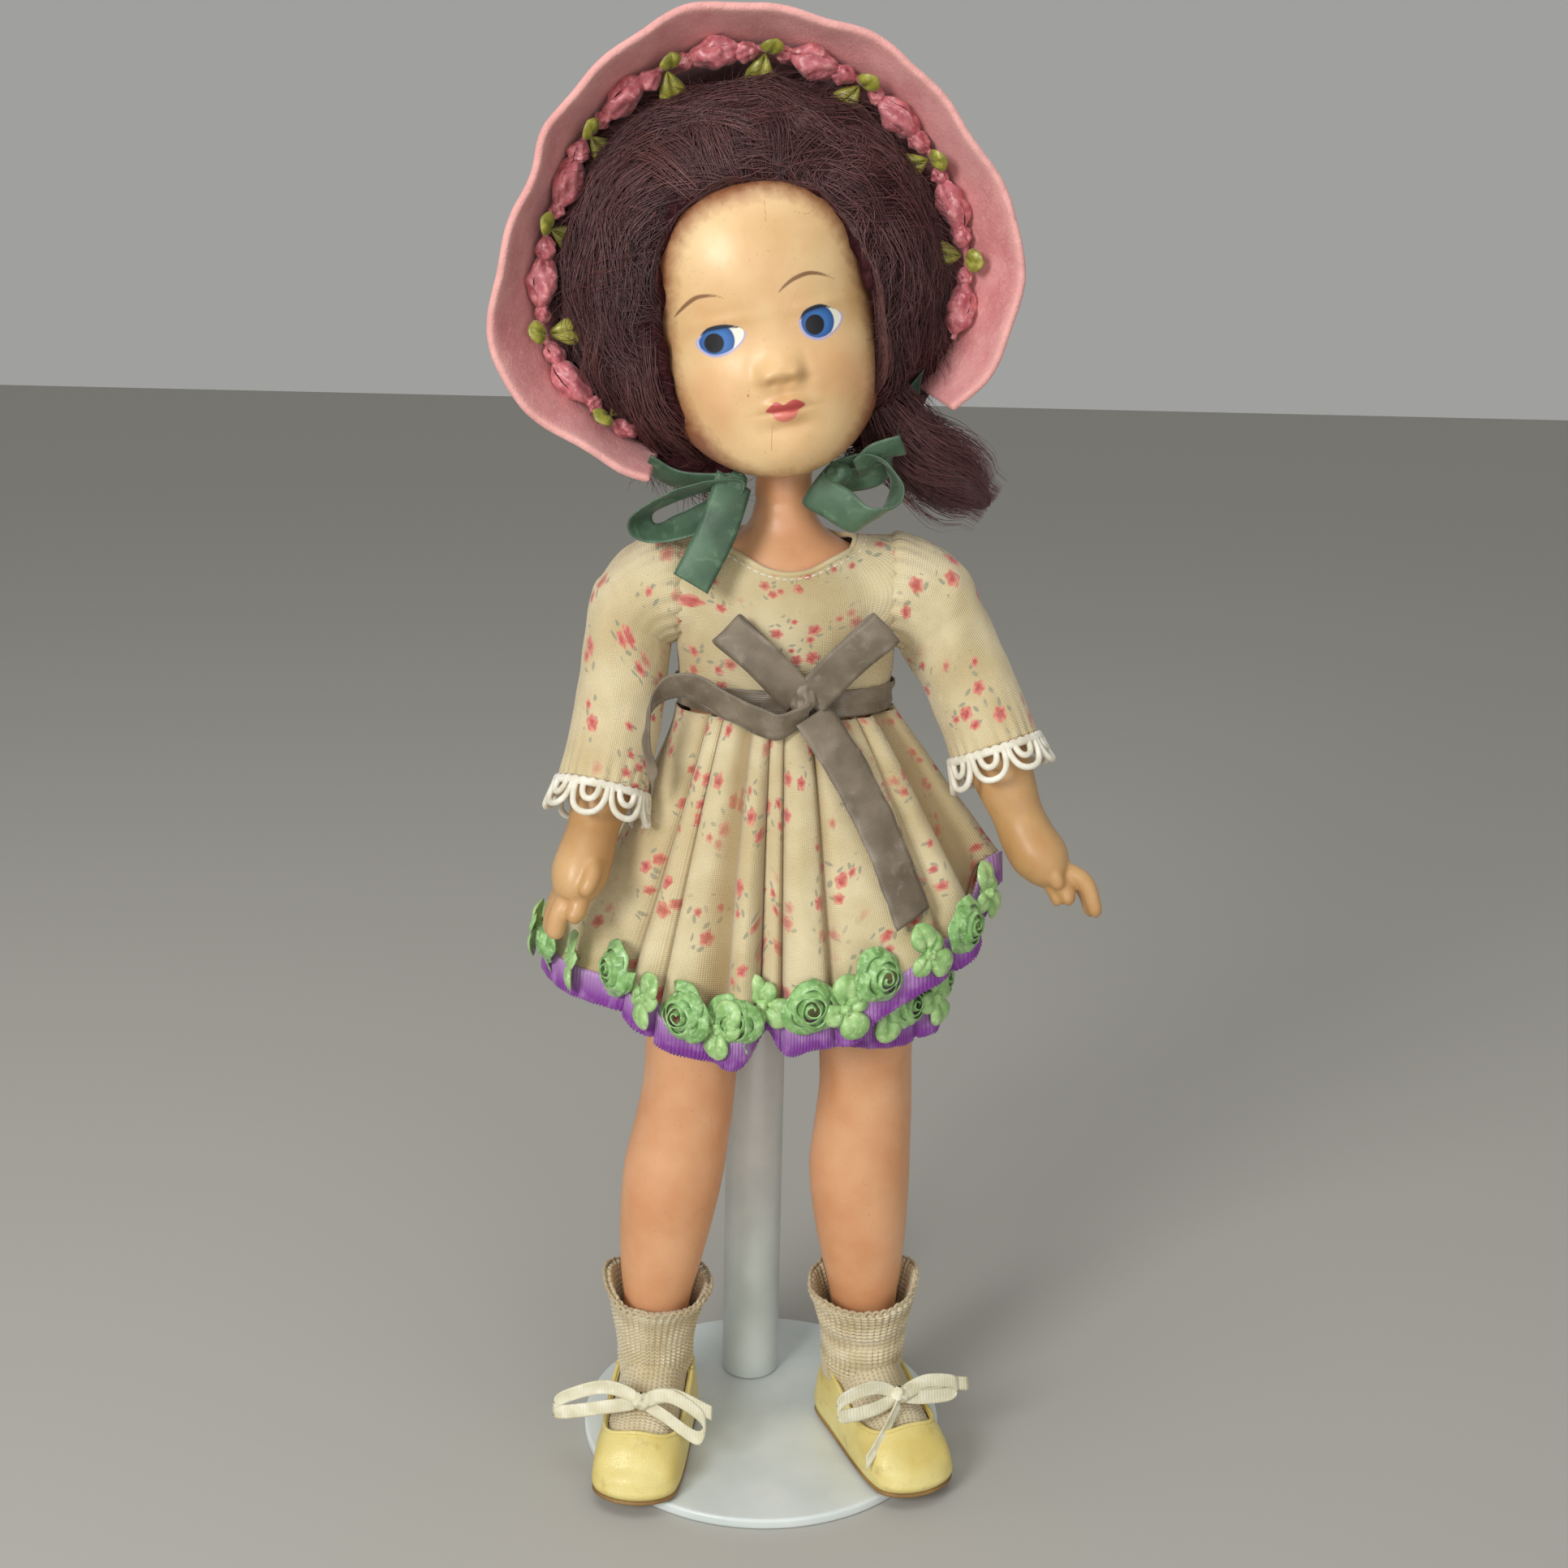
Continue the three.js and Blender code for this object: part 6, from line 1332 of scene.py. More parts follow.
def makeBodice():
    columns, rows = 120, 54
    edges = []
    for k in range(columns + 1):
        angle = k / columns * math.tau
        low = -bisect(0.0, 1.4, lambda e: bodicePoint(angle, -e).z > dress["bottom"])

        def clear(e):
            point = bodicePoint(angle, e)
            across = abs(point.x - doll["x"]) / dress["neckWide"]
            return across ** 2 + (abs(point.y - dress["neckY"]) / dress["neckDeep"]) ** 2 > 1
        edges.append((low, bisect(0.0, 1.5, clear)))

    def place(u, v):
        angle = u * math.tau
        low, high = edges[round(u * columns)]
        point = bodicePoint(angle, low + (high - low) * v)
        away = (point - heart).normalized()
        gathers = 0.35 * math.cos(44 * angle + 3 * math.sin(3 * angle)) * math.exp(-v / 0.16)
        crease = 0.5 * noise.noise(point * 0.11)
        crease += 0.22 * noise.noise(Vector((point.x * 0.3, point.y * 0.3, point.z * 0.12)))
        return point + away * (gathers + crease + 0.2)

    cloth = shapeGrid("dress_bodice_cloth", columns, rows, place, (dress["around"], dress["tall"]))
    thicken(cloth, dress["cloth"], 0)
    finishPiece(cloth, voile, "torso", "print_voile", "dress_bodice")
    rim = [place(k / columns, 1) for k in range(columns + 1)]
    edge = cordMesh("dress_neck_roll", [rim], 0.75, 2)
    finishPiece(edge, voile, "torso", "print_voile", "dress_bodice")
    stitches = []
    for k in range(columns):
        if k % 2:
            a, b = place(k / columns, 0.955), place((k + 1) / columns, 0.955)
            lift = (a - heart).normalized() * 0.42
            stitches.append([a + lift * 0.4, a.lerp(b, 0.3) + lift, a.lerp(b, 0.7) + lift, b + lift * 0.4])
    finishPiece(cordMesh("dress_neck_stitches", stitches, 0.2, 1), whiteThread, "torso", "print_voile",
                "dress_bodice")


def sleeveRings(arm, share):
    sign = arm["sign"]
    seam = dress["shoulder"] - 0.7  # tucked inside the bodice's edge
    rings = [(armPoint(arm, [-1.6, 0, 0]), Vector((0, 0, seam)), Vector((0, -sign * seam, 0)))]
    pivot = armPoint(arm, [0.8, 0, dress["armhole"] + 1.5])
    for degree in (0, 15, 30, 45, 60):
        radius = dress["armhole"] + (dress["sleeveRadius"] + 0.5 - dress["armhole"]) * degree / 60
        away = Vector((sign * math.sin(math.radians(degree)), 0, math.cos(math.radians(degree))))
        centre = pivot + away * (radius + 1.5) - Vector((0, arm["axis"][1][1] * degree / 60, 0))
        rings.append((centre, away * radius, Vector((0, -sign * radius, 0))))
    path = curveThrough([armPoint(arm, spot) for spot in arm["axis"][1:4]], 100)
    for part in (0.35, 0.68, 1):
        i = min(round(100 * part * share), 99)
        ahead = (path[i + 1] - path[i - 1]).normalized()
        aside = Vector((0, -sign, 0))
        aside = (aside - ahead * aside.dot(ahead)).normalized()
        away = aside.cross(ahead)
        away = -away if away.x * sign < 0 else away
        rings.append((path[i], away * dress["sleeveRadius"], aside * dress["sleeveRadius"]))
    return rings


def makeSleeve(side):
    arm = arms[side]
    rings = sleeveRings(arm, dress["sleeveShare"][side])
    columns, rows = 96, 60
    lines = []
    for k in range(columns + 1):
        a = k / columns * math.tau
        spots = [centre + away * math.cos(a) + aside * math.sin(a) for centre, away, aside in rings]
        lines.append((curveThrough(spots, rows), curveThrough([ring[0] for ring in rings], rows)))

    def place(u, v):
        line, middles = lines[round(u * columns)]
        a, i = u * math.tau, round(v * rows)
        out = (line[i] - middles[i]).normalized()
        ends = math.exp(-v / 0.1) + 0.7 * math.exp(-(1 - v) / 0.1)  # full at the armhole and the cuff
        gather = 0.6 * math.cos(24 * a + 2 * math.sin(2 * a)) * ends
        point = line[i]
        fold = 1.0 * noise.noise(Vector((point.x * 0.1 + 5, point.y * 0.1, point.z * 0.06)))
        fold += 0.55 * noise.noise(Vector((point.x * 0.24, point.y * 0.24 + 9, point.z * 0.13)))
        return point + out * (gather + fold * math.sin(math.pi * min(v * 1.2 + 0.08, 1) * 0.92))

    length = pathLength([ring[0] for ring in rings]) + 3
    around = math.tau * dress["sleeveClothRadius"]
    cloth = shapeGrid("dress_sleeve_cloth_" + side, columns, rows, place, (around, length))
    thicken(cloth, dress["cloth"], 0)
    finishPiece(cloth, voile, "arm_" + side, "print_voile", "dress_sleeve_" + side)
    makeCuff(side, rings[-1])


# Lace cuff: a gathered heading and nested loops of cord that hang from it
lace = {"heading": 64, "loops": 8, "deep": 8, "inner": 4.6, "cord": 0.82, "flare": 1.6}


def makeCuff(side, ring):
    middle, away, aside = ring
    across, sideways = away.normalized(), aside.normalized()
    ahead = across.cross(sideways)
    ahead = -ahead if ahead.z > 0 else ahead

    def spot(angle, reach):
        radius = dress["sleeveRadius"] + 0.9 + lace["flare"] * reach / lace["deep"]
        outward = across * math.cos(angle) + sideways * math.sin(angle)
        return middle + outward * radius + ahead * (reach + 0.2)

    turns = [k / lace["heading"] * math.tau for k in range(lace["heading"] + 1)]
    paths = [[spot(turn, 0.1 + 0.5 * (k % 2)) for k, turn in enumerate(turns)]]
    paths.append([spot(turn, 0.9) for turn in turns])
    half = math.pi / lace["loops"]
    for k in range(lace["loops"]):
        angle = (2 * k + 0.5) * half
        slack = random.uniform(0.9, 1.06)
        for wide, deep in ((0.9, lace["deep"] * slack), (0.46, lace["inner"] * slack)):
            loop = []
            for step in range(17):
                t = step / 16
                turn = math.pi * t
                swell = 1 + 0.12 * math.sin(turn) ** 4
                loop.append(spot(angle + half * wide * swell * math.cos(turn),
                                 deep * math.sin(turn) ** 0.7))
            paths.append(loop)
    cuff = cordMesh("lace_cuff_cords_" + side, paths, lace["cord"], 2)
    finishPiece(cuff, laceCotton, "arm_" + side, "lace", "lace_cuff_" + side)


makeBodice()
for side in ("right", "left"):
    makeSleeve(side)
print("bodice, sleeves and cuffs made")

# Skirt: degrees from the front towards the doll's left, reach, hem height, and how early the gathers spread
skirt = {"hem": [[-180, 45, 136, 0.6], [-140, 51, 136, 0.65], [-112, 61, 141, 1.1], [-92, 64, 147, 1.3],
                 [-72, 58, 147, 1.3], [-56, 51, 146, 1.1], [-40, 46, 139.5, 0.9], [-24, 42, 136, 0.75],
                 [-13, 41, 136.5, 0.75], [-6, 33, 144, 0.75], [1, 38, 139, 0.75], [12, 40, 141.5, 0.75],
                 [24, 43, 142.5, 0.75], [31, 45, 149, 0.8], [42, 50, 156, 0.85], [55, 54, 161, 0.9],
                 [68, 56, 168, 0.95], [80, 56, 176, 1], [92, 55, 171, 1], [104, 53, 152, 0.9],
                 [116, 52, 139, 0.8], [142, 49, 134, 0.65], [180, 45, 136, 0.6]],
         "under": [[18, 37, 142, 0.75], [30, 39, 140, 0.75], [46, 42, 139, 0.75], [62, 45, 141, 0.8],
                   [76, 44, 146, 0.8]],
         "pleats": 19, "crown": 1.2, "valley": 4.4, "ease": 3.7, "width": 168, "tall": 78, "ribbon": 7,
         "underSpan": (18, 58), "handRoom": (72, 97), "roseRadius": 6.6, "roses": {"hem": 8, "under": 3},
         "lean": 0.75, "keep": 0.35,
         "anchor": (doll["x"] * mm, doll["y"] * mm, doll["waistZ"] * mm)}


def pleatAt(degree):  # folds of uneven width: wide flat tops between narrow valleys
    turn = math.radians(degree)
    phase = (skirt["pleats"] * degree / 360 + 0.4 * math.sin(3 * turn + 1) + 0.24 * math.sin(7 * turn)
             + 0.15 * math.sin(11 * turn + 2))
    part = phase - math.floor(phase)
    fold = skirt["valley"] * math.exp(-((part - 0.5) / 0.1) ** 2)
    return skirt["crown"] * math.cos(math.tau * part) - fold


def skirtPoint(degree, share, extra=0.0, drop=0.0, layer="hem", relief=1.0):
    reach, hemZ, early = along(skirt[layer], degree)
    turn = math.radians(degree)
    width, depth = (r + skirt["ease"] for r in along(torso["rows"], doll["waistZ"]))
    top = 1 / math.hypot(math.sin(turn) / width, math.cos(turn) / depth)
    radius = top + (reach - top) * share ** early + relief * pleatAt(degree) * (0.35 + 0.65 * share) + extra
    x, y = doll["x"] + share, doll["y"] + 2 * share
    wave = 0.8 * noise.noise(Vector((degree * 0.06, share * 3, 2))) * share
    return Vector((x + (radius + wave) * math.sin(turn), y - (radius + wave) * math.cos(turn),
                   doll["waistZ"] - 0.3 + (hemZ - doll["waistZ"]) * share - drop))


# Purple ribbon gathered into fine ribs, lilac above and deep violet at its crimped lower edge, with pale
# patches of painted sheen
def makePurple():
    material, tree, shader = startMaterial("purpleGatheredRibbon", Roughness=0.5, Specular_IOR_Level=0.5,
                                           Sheen_Weight=0.3)
    strip = addNode(tree, "UVMap", uv_map="cloth").outputs[0]
    down = addNode(tree, "SeparateXYZ", {0: strip}).outputs[1]
    low = addNode(tree, "MapRange", {0: down, 1: 0.5, 2: 5.5}).outputs[0]
    tone = addNode(tree, "Mix", {0: low, 6: toLinear("#B78CC2"), 7: toLinear("#7F2C94")},
                   data_type="RGBA").outputs[2]
    coords = addNode(tree, "TexCoord").outputs["Object"]
    # painted sheen: pale lilac patches laid by noise
    paintedHighlight = addNode(tree, "TexNoise", {"Vector": coords, "Scale": 1000 / 4, "Detail": 3})
    tone = tint(tree, tone, paintedHighlight.outputs[0], 0.5, 0.72, 0.45, "#C79BD0")
    tree.links.new(tone, shader.inputs["Base Color"])
    setBump(tree, shader, paintedHighlight.outputs[0], 0.15, 0.4)
    return material


purpleRibbon = makePurple()


# A ribbon rose: one strip rolled outward in a spiral whose outer turns open like petals
def ribbonRose(name, middle, across, up, out, radius, twist):
    def place(u, v):
        turn = u * math.tau * 4.2 + twist
        petal = 0.13 * math.sin(turn * 2.6 + twist)
        reach = radius * (0.07 + 0.75 * u ** 0.8) + v * radius * (0.1 + 0.3 * u) + petal * radius * u
        height = radius * (0.72 - 0.5 * u * u) * (1 - v * (0.35 + 0.5 * u)) + 0.4 * math.sin(turn * 6.3) * v
        ring = across * math.cos(turn) + up * math.sin(turn)
        return middle + ring * reach + out * (height - 0.25 * radius)
    return thicken(shapeGrid(name, 150, 5, place, (4, 60), False), 0.35, 0)


def makeSkirtHalf(side, first):
    columns, rows = 330, 46

    def pressed(piece):  # gives the piece its own copy of its mesh
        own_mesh(piece)
        return piece

    def markFoldShade(piece):  # how deep each place lies in the gathers, for the cloth's painted shade
        layer = piece.data.attributes.new("fold", "FLOAT", "POINT")
        for vertex, value in zip(piece.data.vertices, layer.data):
            x, y = vertex.co.x / mm - doll["x"], vertex.co.y / mm - doll["y"]
            value.value = min(max(-pleatAt(math.degrees(math.atan2(x, -y))) / skirt["valley"], 0), 1)
        return piece

    def ribbonAt(layer):
        def onRibbon(u, v):
            degree = span[layer][0] + span[layer][1] * u
            rib = 0.22 * math.sin(degree * 1.9 * math.pi)
            edge = 0.25 * math.sin(degree * 2.2 * math.pi + 1) * (1 if v > 0.95 else 0)
            drop = -0.9 + (skirt["ribbon"] + 1.2) * v + edge
            return skirtPoint(degree, 1, 0.5 + 0.9 * v + rib, drop, layer, 0.75 - 0.35 * v)
        return onRibbon

    def nearHand(degree):  # the doll's left hand hangs here, so the trim leaves it room
        return skirt["handRoom"][0] < degree < skirt["handRoom"][1]

    span = {"hem": (first, 180)}
    if side == "left":
        span["under"] = skirt["underSpan"]
    cloths, ribbons, roses, loops = [], [], [], []
    for layer, (begin, wide) in span.items():
        count = round(columns * wide / 180)
        onSkirt = (lambda u, v: skirtPoint(first + 180 * u, v)) if layer == "hem" else (
            lambda u, v: skirtPoint(begin + wide * u, 0.3 + 0.7 * v, 0, 0, "under"))
        flat = (skirt["width"] * wide / 180, skirt["tall"])
        cloths.append(markFoldShade(shapeGrid("cloth", count, rows, onSkirt, flat)))
        flat = (skirt["width"] * wide / 180, skirt["ribbon"])
        ribbons.append(shapeGrid("ribbon", round(900 * wide / 180), 6, ribbonAt(layer), flat))
        number = skirt["roses"][layer]
        for k in range(number):
            degree = begin + wide * (k + 0.5) / number
            turn = math.radians(degree)
            out = Vector((math.sin(turn), -math.cos(turn), 0.12)).normalized()
            ahead = skirtPoint(degree + 5, 1, 0, 0, layer, 0) - skirtPoint(degree - 5, 1, 0, 0, layer, 0)
            across = (ahead - out * ahead.dot(out)).normalized()
            up = out.cross(across).normalized()
            up = -up if up.z < 0 else up
            middle = skirtPoint(degree, 1, 2.8, 0, layer, 0.3) + up * 4.4
            if not nearHand(degree):
                roses.append(ribbonRose("rose", middle, across, up, out, skirt["roseRadius"],
                                        k * 1.9 + begin))
            between = min(degree + wide / number / 2, begin + wide - 3)
            if nearHand(between):
                continue
            place = skirtPoint(between, 1, 2.2, 0, layer, 0.3) + up * 3.4
            for rise, lean in ((1, 0.35), (-1, 0.25), (0.35, 1), (-0.2, -1)):
                small = 1 if abs(rise) == 1 else 0.72
                ahead = (across * lean + up * rise).normalized()
                size = small * random.uniform(8, 9), small * random.uniform(7, 8)
                loops.append(ribbonLeaf("loop", place, ahead, out, *size, 2.2))
            loops.append(ribbonBud("knot", place + out, across, up, out, 3.4, 3, 3, k * 2.3))
    cloth = thicken(joinPieces("dress_skirt_" + side, cloths), dress["cloth"], 0)
    pressed(finishPiece(cloth, voile, "torso", "print_voile", "dress_skirt"))
    ribbon = thicken(joinPieces("hem_ribbon_" + side, ribbons), 0.35, 0)
    pressed(finishPiece(ribbon, purpleRibbon, "torso", "purple_ribbon", "hem_ribbon"))
    pressed(finishPiece(joinPieces("hem_roses_" + side, roses), roseSatin, "torso", "rose_ribbon",
                        "hem_roses"))
    pressed(finishPiece(joinPieces("hem_leaf_loops_" + side, loops), loopSatin, "torso", "rose_ribbon",
                        "hem_roses"))


makeSkirtHalf("right", -180)
makeSkirtHalf("left", 0)
print("skirt and hem made")

# Sash: a ribbon round the waist, a flat bow whose loops stand up in a V, and two tails
sash = {"low": 214.3, "width": 7, "around": 150, "knot": Vector((7, -26.2, 219.8)),
        "loops": [(-1, 19, 17), (1, 19, 18)], "frontTail": [(33, 0.2), (39, 0.48), (41.5, 0.79)],
        "sideTail": [(1, -2, -3), (-7, -3.4, -6), (-18, -3, -1.6), (-29, -1, 3.4), (-37, 0, 0),
                     (-39, -1, -9), (-37, -2, -22)]}


def makeSash():
    width, knot = sash["width"], sash["knot"]

    def onBand(u, v):
        angle = u * math.tau
        crush = 0.25 * math.sin(3 * v * math.pi + 5 * math.sin(angle * 2))
        crush += 0.2 * noise.noise(Vector((u * 30, v * 2, 0)))
        return torsoPoint(angle, sash["low"] + width * v, 2.9 + crush)

    band = thicken(shapeGrid("sash_waist_band", 140, 10, onBand, (sash["around"], width)), 0.4, 0)
    finishPiece(band, taupeRibbon, "torso", "sash_ribbon", "sash_band")
    pieces = []
    for side, reach, rise in sash["loops"]:
        spots = [(1, 0, 0), (reach * 0.55, -2.4, rise * 0.6), (reach, -1.2, rise), (reach * 0.96, 1, rise),
                 (reach * 0.5, 1, rise * 0.5)]
        path = [knot + Vector((side * x, y, z)) for x, y, z in spots]
        pieces.append(ribbonStrip("loop", path, width * 1.36, (-0.68 * side, -0.1, 0.72), 60, True, 0.3,
                                  0.4, 0.4))
    pieces.append(ribbonBud("knot", knot, Vector((0.3, 0, 1)), Vector((1, 0, -0.3)), Vector((0, -1, 0)), 10,
                            5.4, 5, 1))
    bow = joinPieces("sash_bow_loops", pieces)
    finishPiece(bow, taupeRibbon, "torso", "sash_ribbon", "sash_bow")
    longPath = [knot + Vector((2.2, -1, -3.2))]
    longPath += [skirtPoint(degree, share, 4.2, relief=0) for degree, share in sash["frontTail"]]
    wide = width * 1.6
    tail = ribbonStrip("sash_tail_front", longPath, wide, (0.72, 0.55, 0.38), 50, cup=0.5, thickness=0.4,
                       ripple=0.7)
    finishPiece(tail, taupeRibbon, "torso", "sash_ribbon", "sash_tail_long")
    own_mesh(tail)
    shortPath = [knot + Vector(p) for p in sash["sideTail"]]
    tail = ribbonStrip("sash_tail_side", shortPath, width * 1.2, (0.15, -0.45, 0.86), 60, cup=0.15,
                       thickness=0.4, ripple=0.9)
    finishPiece(tail, taupeRibbon, "torso", "sash_ribbon", "sash_tail_short")


makeSash()
print("sash made")


# Cotton knit: cream ribs of small stitches, matt and a little fuzzy, with painted shade in the hollows
# between ribs and rows
def makeKnit():
    material, tree, shader = startMaterial("ribbedCottonKnit", Roughness=0.92, Specular_IOR_Level=0.2,
                                           Sheen_Weight=0.4)
    coords = addNode(tree, "TexCoord").outputs["Object"]
    cloth = addNode(tree, "UVMap", uv_map="cloth").outputs[0]
    tone = twoTone(tree, coords, 9, toLinear("#D0BE95"), toLinear("#E9DCBA"))
    rows = addNode(tree, "TexWave",
                   {"Vector": cloth, "Scale": math.tau / 20 / 1.1, "Distortion": 1.5, "Detail Scale": 1.2},
                   bands_direction="Y")
    ribs = addNode(tree, "TexWave", {"Vector": cloth, "Scale": math.tau / 20 / 1.9}, bands_direction="X")
    stitch = addNode(tree, "Math", {0: rows.outputs[1], 1: 0.7, 2: ribs.outputs[1]},
                     operation="MULTIPLY_ADD").outputs[0]
    # painted shade in the hollows of the ribs and stitch rows
    tone = tint(tree, tone, stitch, 0.7, 0.15, 0.55, "#9C8760")
    tree.links.new(tone, shader.inputs["Base Color"])
    setBump(tree, shader, stitch, 0.4, 0.7)
    return material


# Shoe leather: pale yellow kid, softly glossy, with a fine crackle and darker scuffs
def makeKid(name, deep, light, scuff, roughness, crackle):
    material, tree, shader = startMaterial(name, Roughness=roughness, Specular_IOR_Level=0.5,
                                           Coat_Weight=0.15, Coat_Roughness=0.3)
    coords = addNode(tree, "TexCoord").outputs["Object"]
    tone = twoTone(tree, coords, 14, toLinear(deep), toLinear(light))
    rub = addNode(tree, "TexNoise", {"Vector": coords, "Scale": 1000 / 5, "Detail": 5})
    tone = tint(tree, tone, rub.outputs[0], 0.58, 0.76, 0.6, scuff)
    tree.links.new(tone, shader.inputs["Base Color"])
    cells = addNode(tree, "TexVoronoi", {"Vector": coords, "Scale": 1000 / crackle},
                    feature="DISTANCE_TO_EDGE")
    grain = addNode(tree, "MapRange", {0: cells.outputs[0], 1: 0.0, 2: 0.12})
    height = addNode(tree, "Math", {0: rub.outputs[0], 1: 1.5, 2: grain.outputs[0]},
                     operation="MULTIPLY_ADD")
    setBump(tree, shader, height.outputs[0], 0.12, 0.4)
    return material


knit = makeKnit()
kid = makeKid("yellowKidLeather", "#DBC56F", "#EADB90", "#B89C55", 0.4, 0.9)
soleHide = makeKid("brownSoleLeather", "#7A5A2E", "#9A7640", "#5B411F", 0.6, 1.6)
tieTape = makeSatin("ivoryWovenTape", "#D6CFAE", "#EDE8CE", "#F6F2E2", 0.7, 5, 0.9)

shoe = {"soleZ": 3.6, "soleTop": 5.2, "sockBottom": 5.5, "topline": 22.5, "sockTop": 46.6, "knit": 1.6,
        "outside": 3.4, "leather": 1.1, "throat": (12, 18.4, 10.8), "tie": 3.8, "rimWave": 1.1,
        "overFoot": 2.6, "ribs": 44}


def makeSock(side):
    leg = legs[side]
    low, high = shoe["sockBottom"] + 14 - doll["hipZ"], shoe["sockTop"] - doll["hipZ"]
    ribs = shoe["ribs"]

    def onCuff(u, v):
        angle = u * math.tau
        row = math.cos(math.tau * v * 21) * (0.5 + 0.5 * math.cos(ribs * angle))
        rib = (0.36 * math.cos(ribs * angle) + 0.34 * row) * smoothStep(v, 0, 0.25)
        slump = 0.5 * math.sin(9 * v + 2 * math.sin(angle * 2)) * (1 - v)
        point = legPoint(leg, low + (high - low) * v, angle, shoe["knit"] + 3 * v * v + rib + slump * 0.5)
        dip = v ** 4 * 0.1 * (point.y - doll["y"] + leg["forward"])
        outward = max(math.cos(angle) * leg["sign"], 0)
        wave = noise.noise(Vector((math.cos(angle) * 2, math.sin(angle) * 2, leg["sign"])))
        point.z += dip + v ** 4 * (shoe["rimWave"] * wave + 4 * outward ** 5)
        return point

    cuff = thicken(shapeGrid("cuff", 230, 64, onCuff, (84, 27)), 1.1, -1)

    def onFoot(u, v):  # thin where the toe cap covers it
        stitch = 0.22 * math.cos(ribs * u * math.tau) * (0.6 + 0.4 * math.cos(math.tau * v * 40))
        return footPoint(leg, u, v, shoe["knit"] * (1 - 1.6 * smoothStep(v, 0.74, 0.86)) + stitch,
                         shoe["sockBottom"])

    under = shapeGrid("under", 190, 80, onFoot, (84, 60))
    finishPiece(joinPieces("sock_knit_" + side, [cuff, under]), knit, "leg_" + side, "knit", "sock_" + side)
    loops = []
    for k in range(ribs):  # cast-off loops round the rim
        a, b = onCuff(k / ribs, 1), onCuff((k + 1) / ribs, 1)
        rise = Vector((0, 0, random.uniform(0.5, 1.1)))
        loops.append([a - rise * 0.4, a.lerp(b, 0.15) + rise * 0.7, a.lerp(b, 0.5) + rise,
                      a.lerp(b, 0.85) + rise * 0.7, b - rise * 0.4])
    finishPiece(cordMesh("sock_rim_loops_" + side, loops, 0.42, 1), knit, "leg_" + side, "knit",
                "sock_" + side)


def soleHalf(reach):  # half width of the sole at a reach forward of the ankle
    share = (reach + foot["heelBehind"] + shoe["outside"]) / (foot["length"] + 2 * shoe["outside"])
    if not 0 < share < 1:
        return 0
    rounding = math.sqrt(max(1 - max((share - 0.86) / 0.14, (0.14 - share) / 0.14, 0) ** 2, 0))
    half = along(foot["rows"], min(max(share, 0.15), 0.86))[0] * foot["halfWidth"]
    return (half + shoe["outside"]) * rounding


def makeShoe(side):
    leg = legs[side]
    ankle, forward, sideways = footFrame(leg)
    middle = foot["length"] / 2 - foot["heelBehind"]

    def outline(turn):
        ray = (math.cos(turn), math.sin(turn))
        reach = bisect(0.0, 60.0, lambda d: abs(d * ray[1]) < soleHalf(middle + d * ray[0]))
        return middle + reach * ray[0], reach * ray[1]

    def world(spot, z):
        point = ankle + forward * spot[0] + sideways * spot[1]
        point.z = z
        return point

    def topAt(spot):  # height of the shoe's rounded top over a spot
        half = max(soleHalf(spot[0]), 0.5)
        share = min(max((spot[0] + foot["heelBehind"]) / foot["length"], 0.0), 1.0)
        instep = along(foot["rows"], share)[1]
        top = shoe["sockBottom"] + instep + shoe["overFoot"] + smoothStep(share, 0.62, 0.74)
        wall = shoe["soleTop"] + (top - shoe["soleTop"]) * 0.34
        toe = (spot[0] - (foot["length"] - foot["heelBehind"] - 9)) / (9 + shoe["outside"])
        fall = max(1 - (spot[1] / half) ** 2, 0) * (1 - max(toe, 0) ** 2.4)
        return wall + (top - wall) * math.sqrt(max(fall, 0))

    throatMiddle, throatLong, throatWide = shoe["throat"]
    columns, rows = 120, 26
    rims = []
    for k in range(columns + 1):
        turn = k / columns * math.tau
        edge = outline(turn)
        square = [math.copysign(abs(w) ** 0.55, w) for w in (math.cos(turn), math.sin(turn))]
        throat = (throatMiddle + throatLong * square[0], throatWide * square[1])

        def under(t):
            return topAt([a + (b - a) * t for a, b in zip(edge, throat)]) < shoe["topline"]
        rims.append((edge, throat, bisect(0.0, 1.0, under)))

    def onUpper(u, v):
        edge, throat, stop = rims[round(u * columns)]
        wall = topAt(edge)
        if v < 0.3:  # the side wall, bulging a little over the sole
            t = v / 0.3
            swell = 1 + 0.025 * math.sin(math.pi * t)
            return world([middle + (edge[0] - middle) * swell, edge[1] * swell],
                         shoe["soleTop"] + (wall - shoe["soleTop"]) * t)
        t = stop * (v - 0.3) / 0.7
        spot = [a + (b - a) * t for a, b in zip(edge, throat)]
        return world(spot, topAt(spot))

    upper = shapeGrid("upper", columns, rows, onUpper, (150, 40))
    thicken(upper, shoe["leather"], -1)
    binding = cordMesh("binding", [[onUpper(k / columns, 1) for k in range(columns + 1)]], 0.6, 2)
    finishPiece(joinPieces("shoe_leather_" + side, [upper, binding]), kid, "leg_" + side, "shoe_leather",
                "shoe_upper_" + side)

    low, high = shoe["soleZ"], shoe["soleTop"]
    levels = [(0, low), (0.97, low), (1, low + 0.25), (1.02, low + 0.8), (1.0, high - 0.2), (0.97, high),
              (0, high)]

    def onSole(u, v):
        edge = rims[round(u * columns)][0]
        scale, z = levels[round(v * (len(levels) - 1))]
        return world([middle + (edge[0] - middle) * scale, edge[1] * scale], z)

    sole = shapeGrid("shoe_sole_hide_" + side, columns, len(levels) - 1, onSole)
    finishPiece(sole, soleHide, "leg_" + side, "sole_leather", "shoe_sole_" + side)


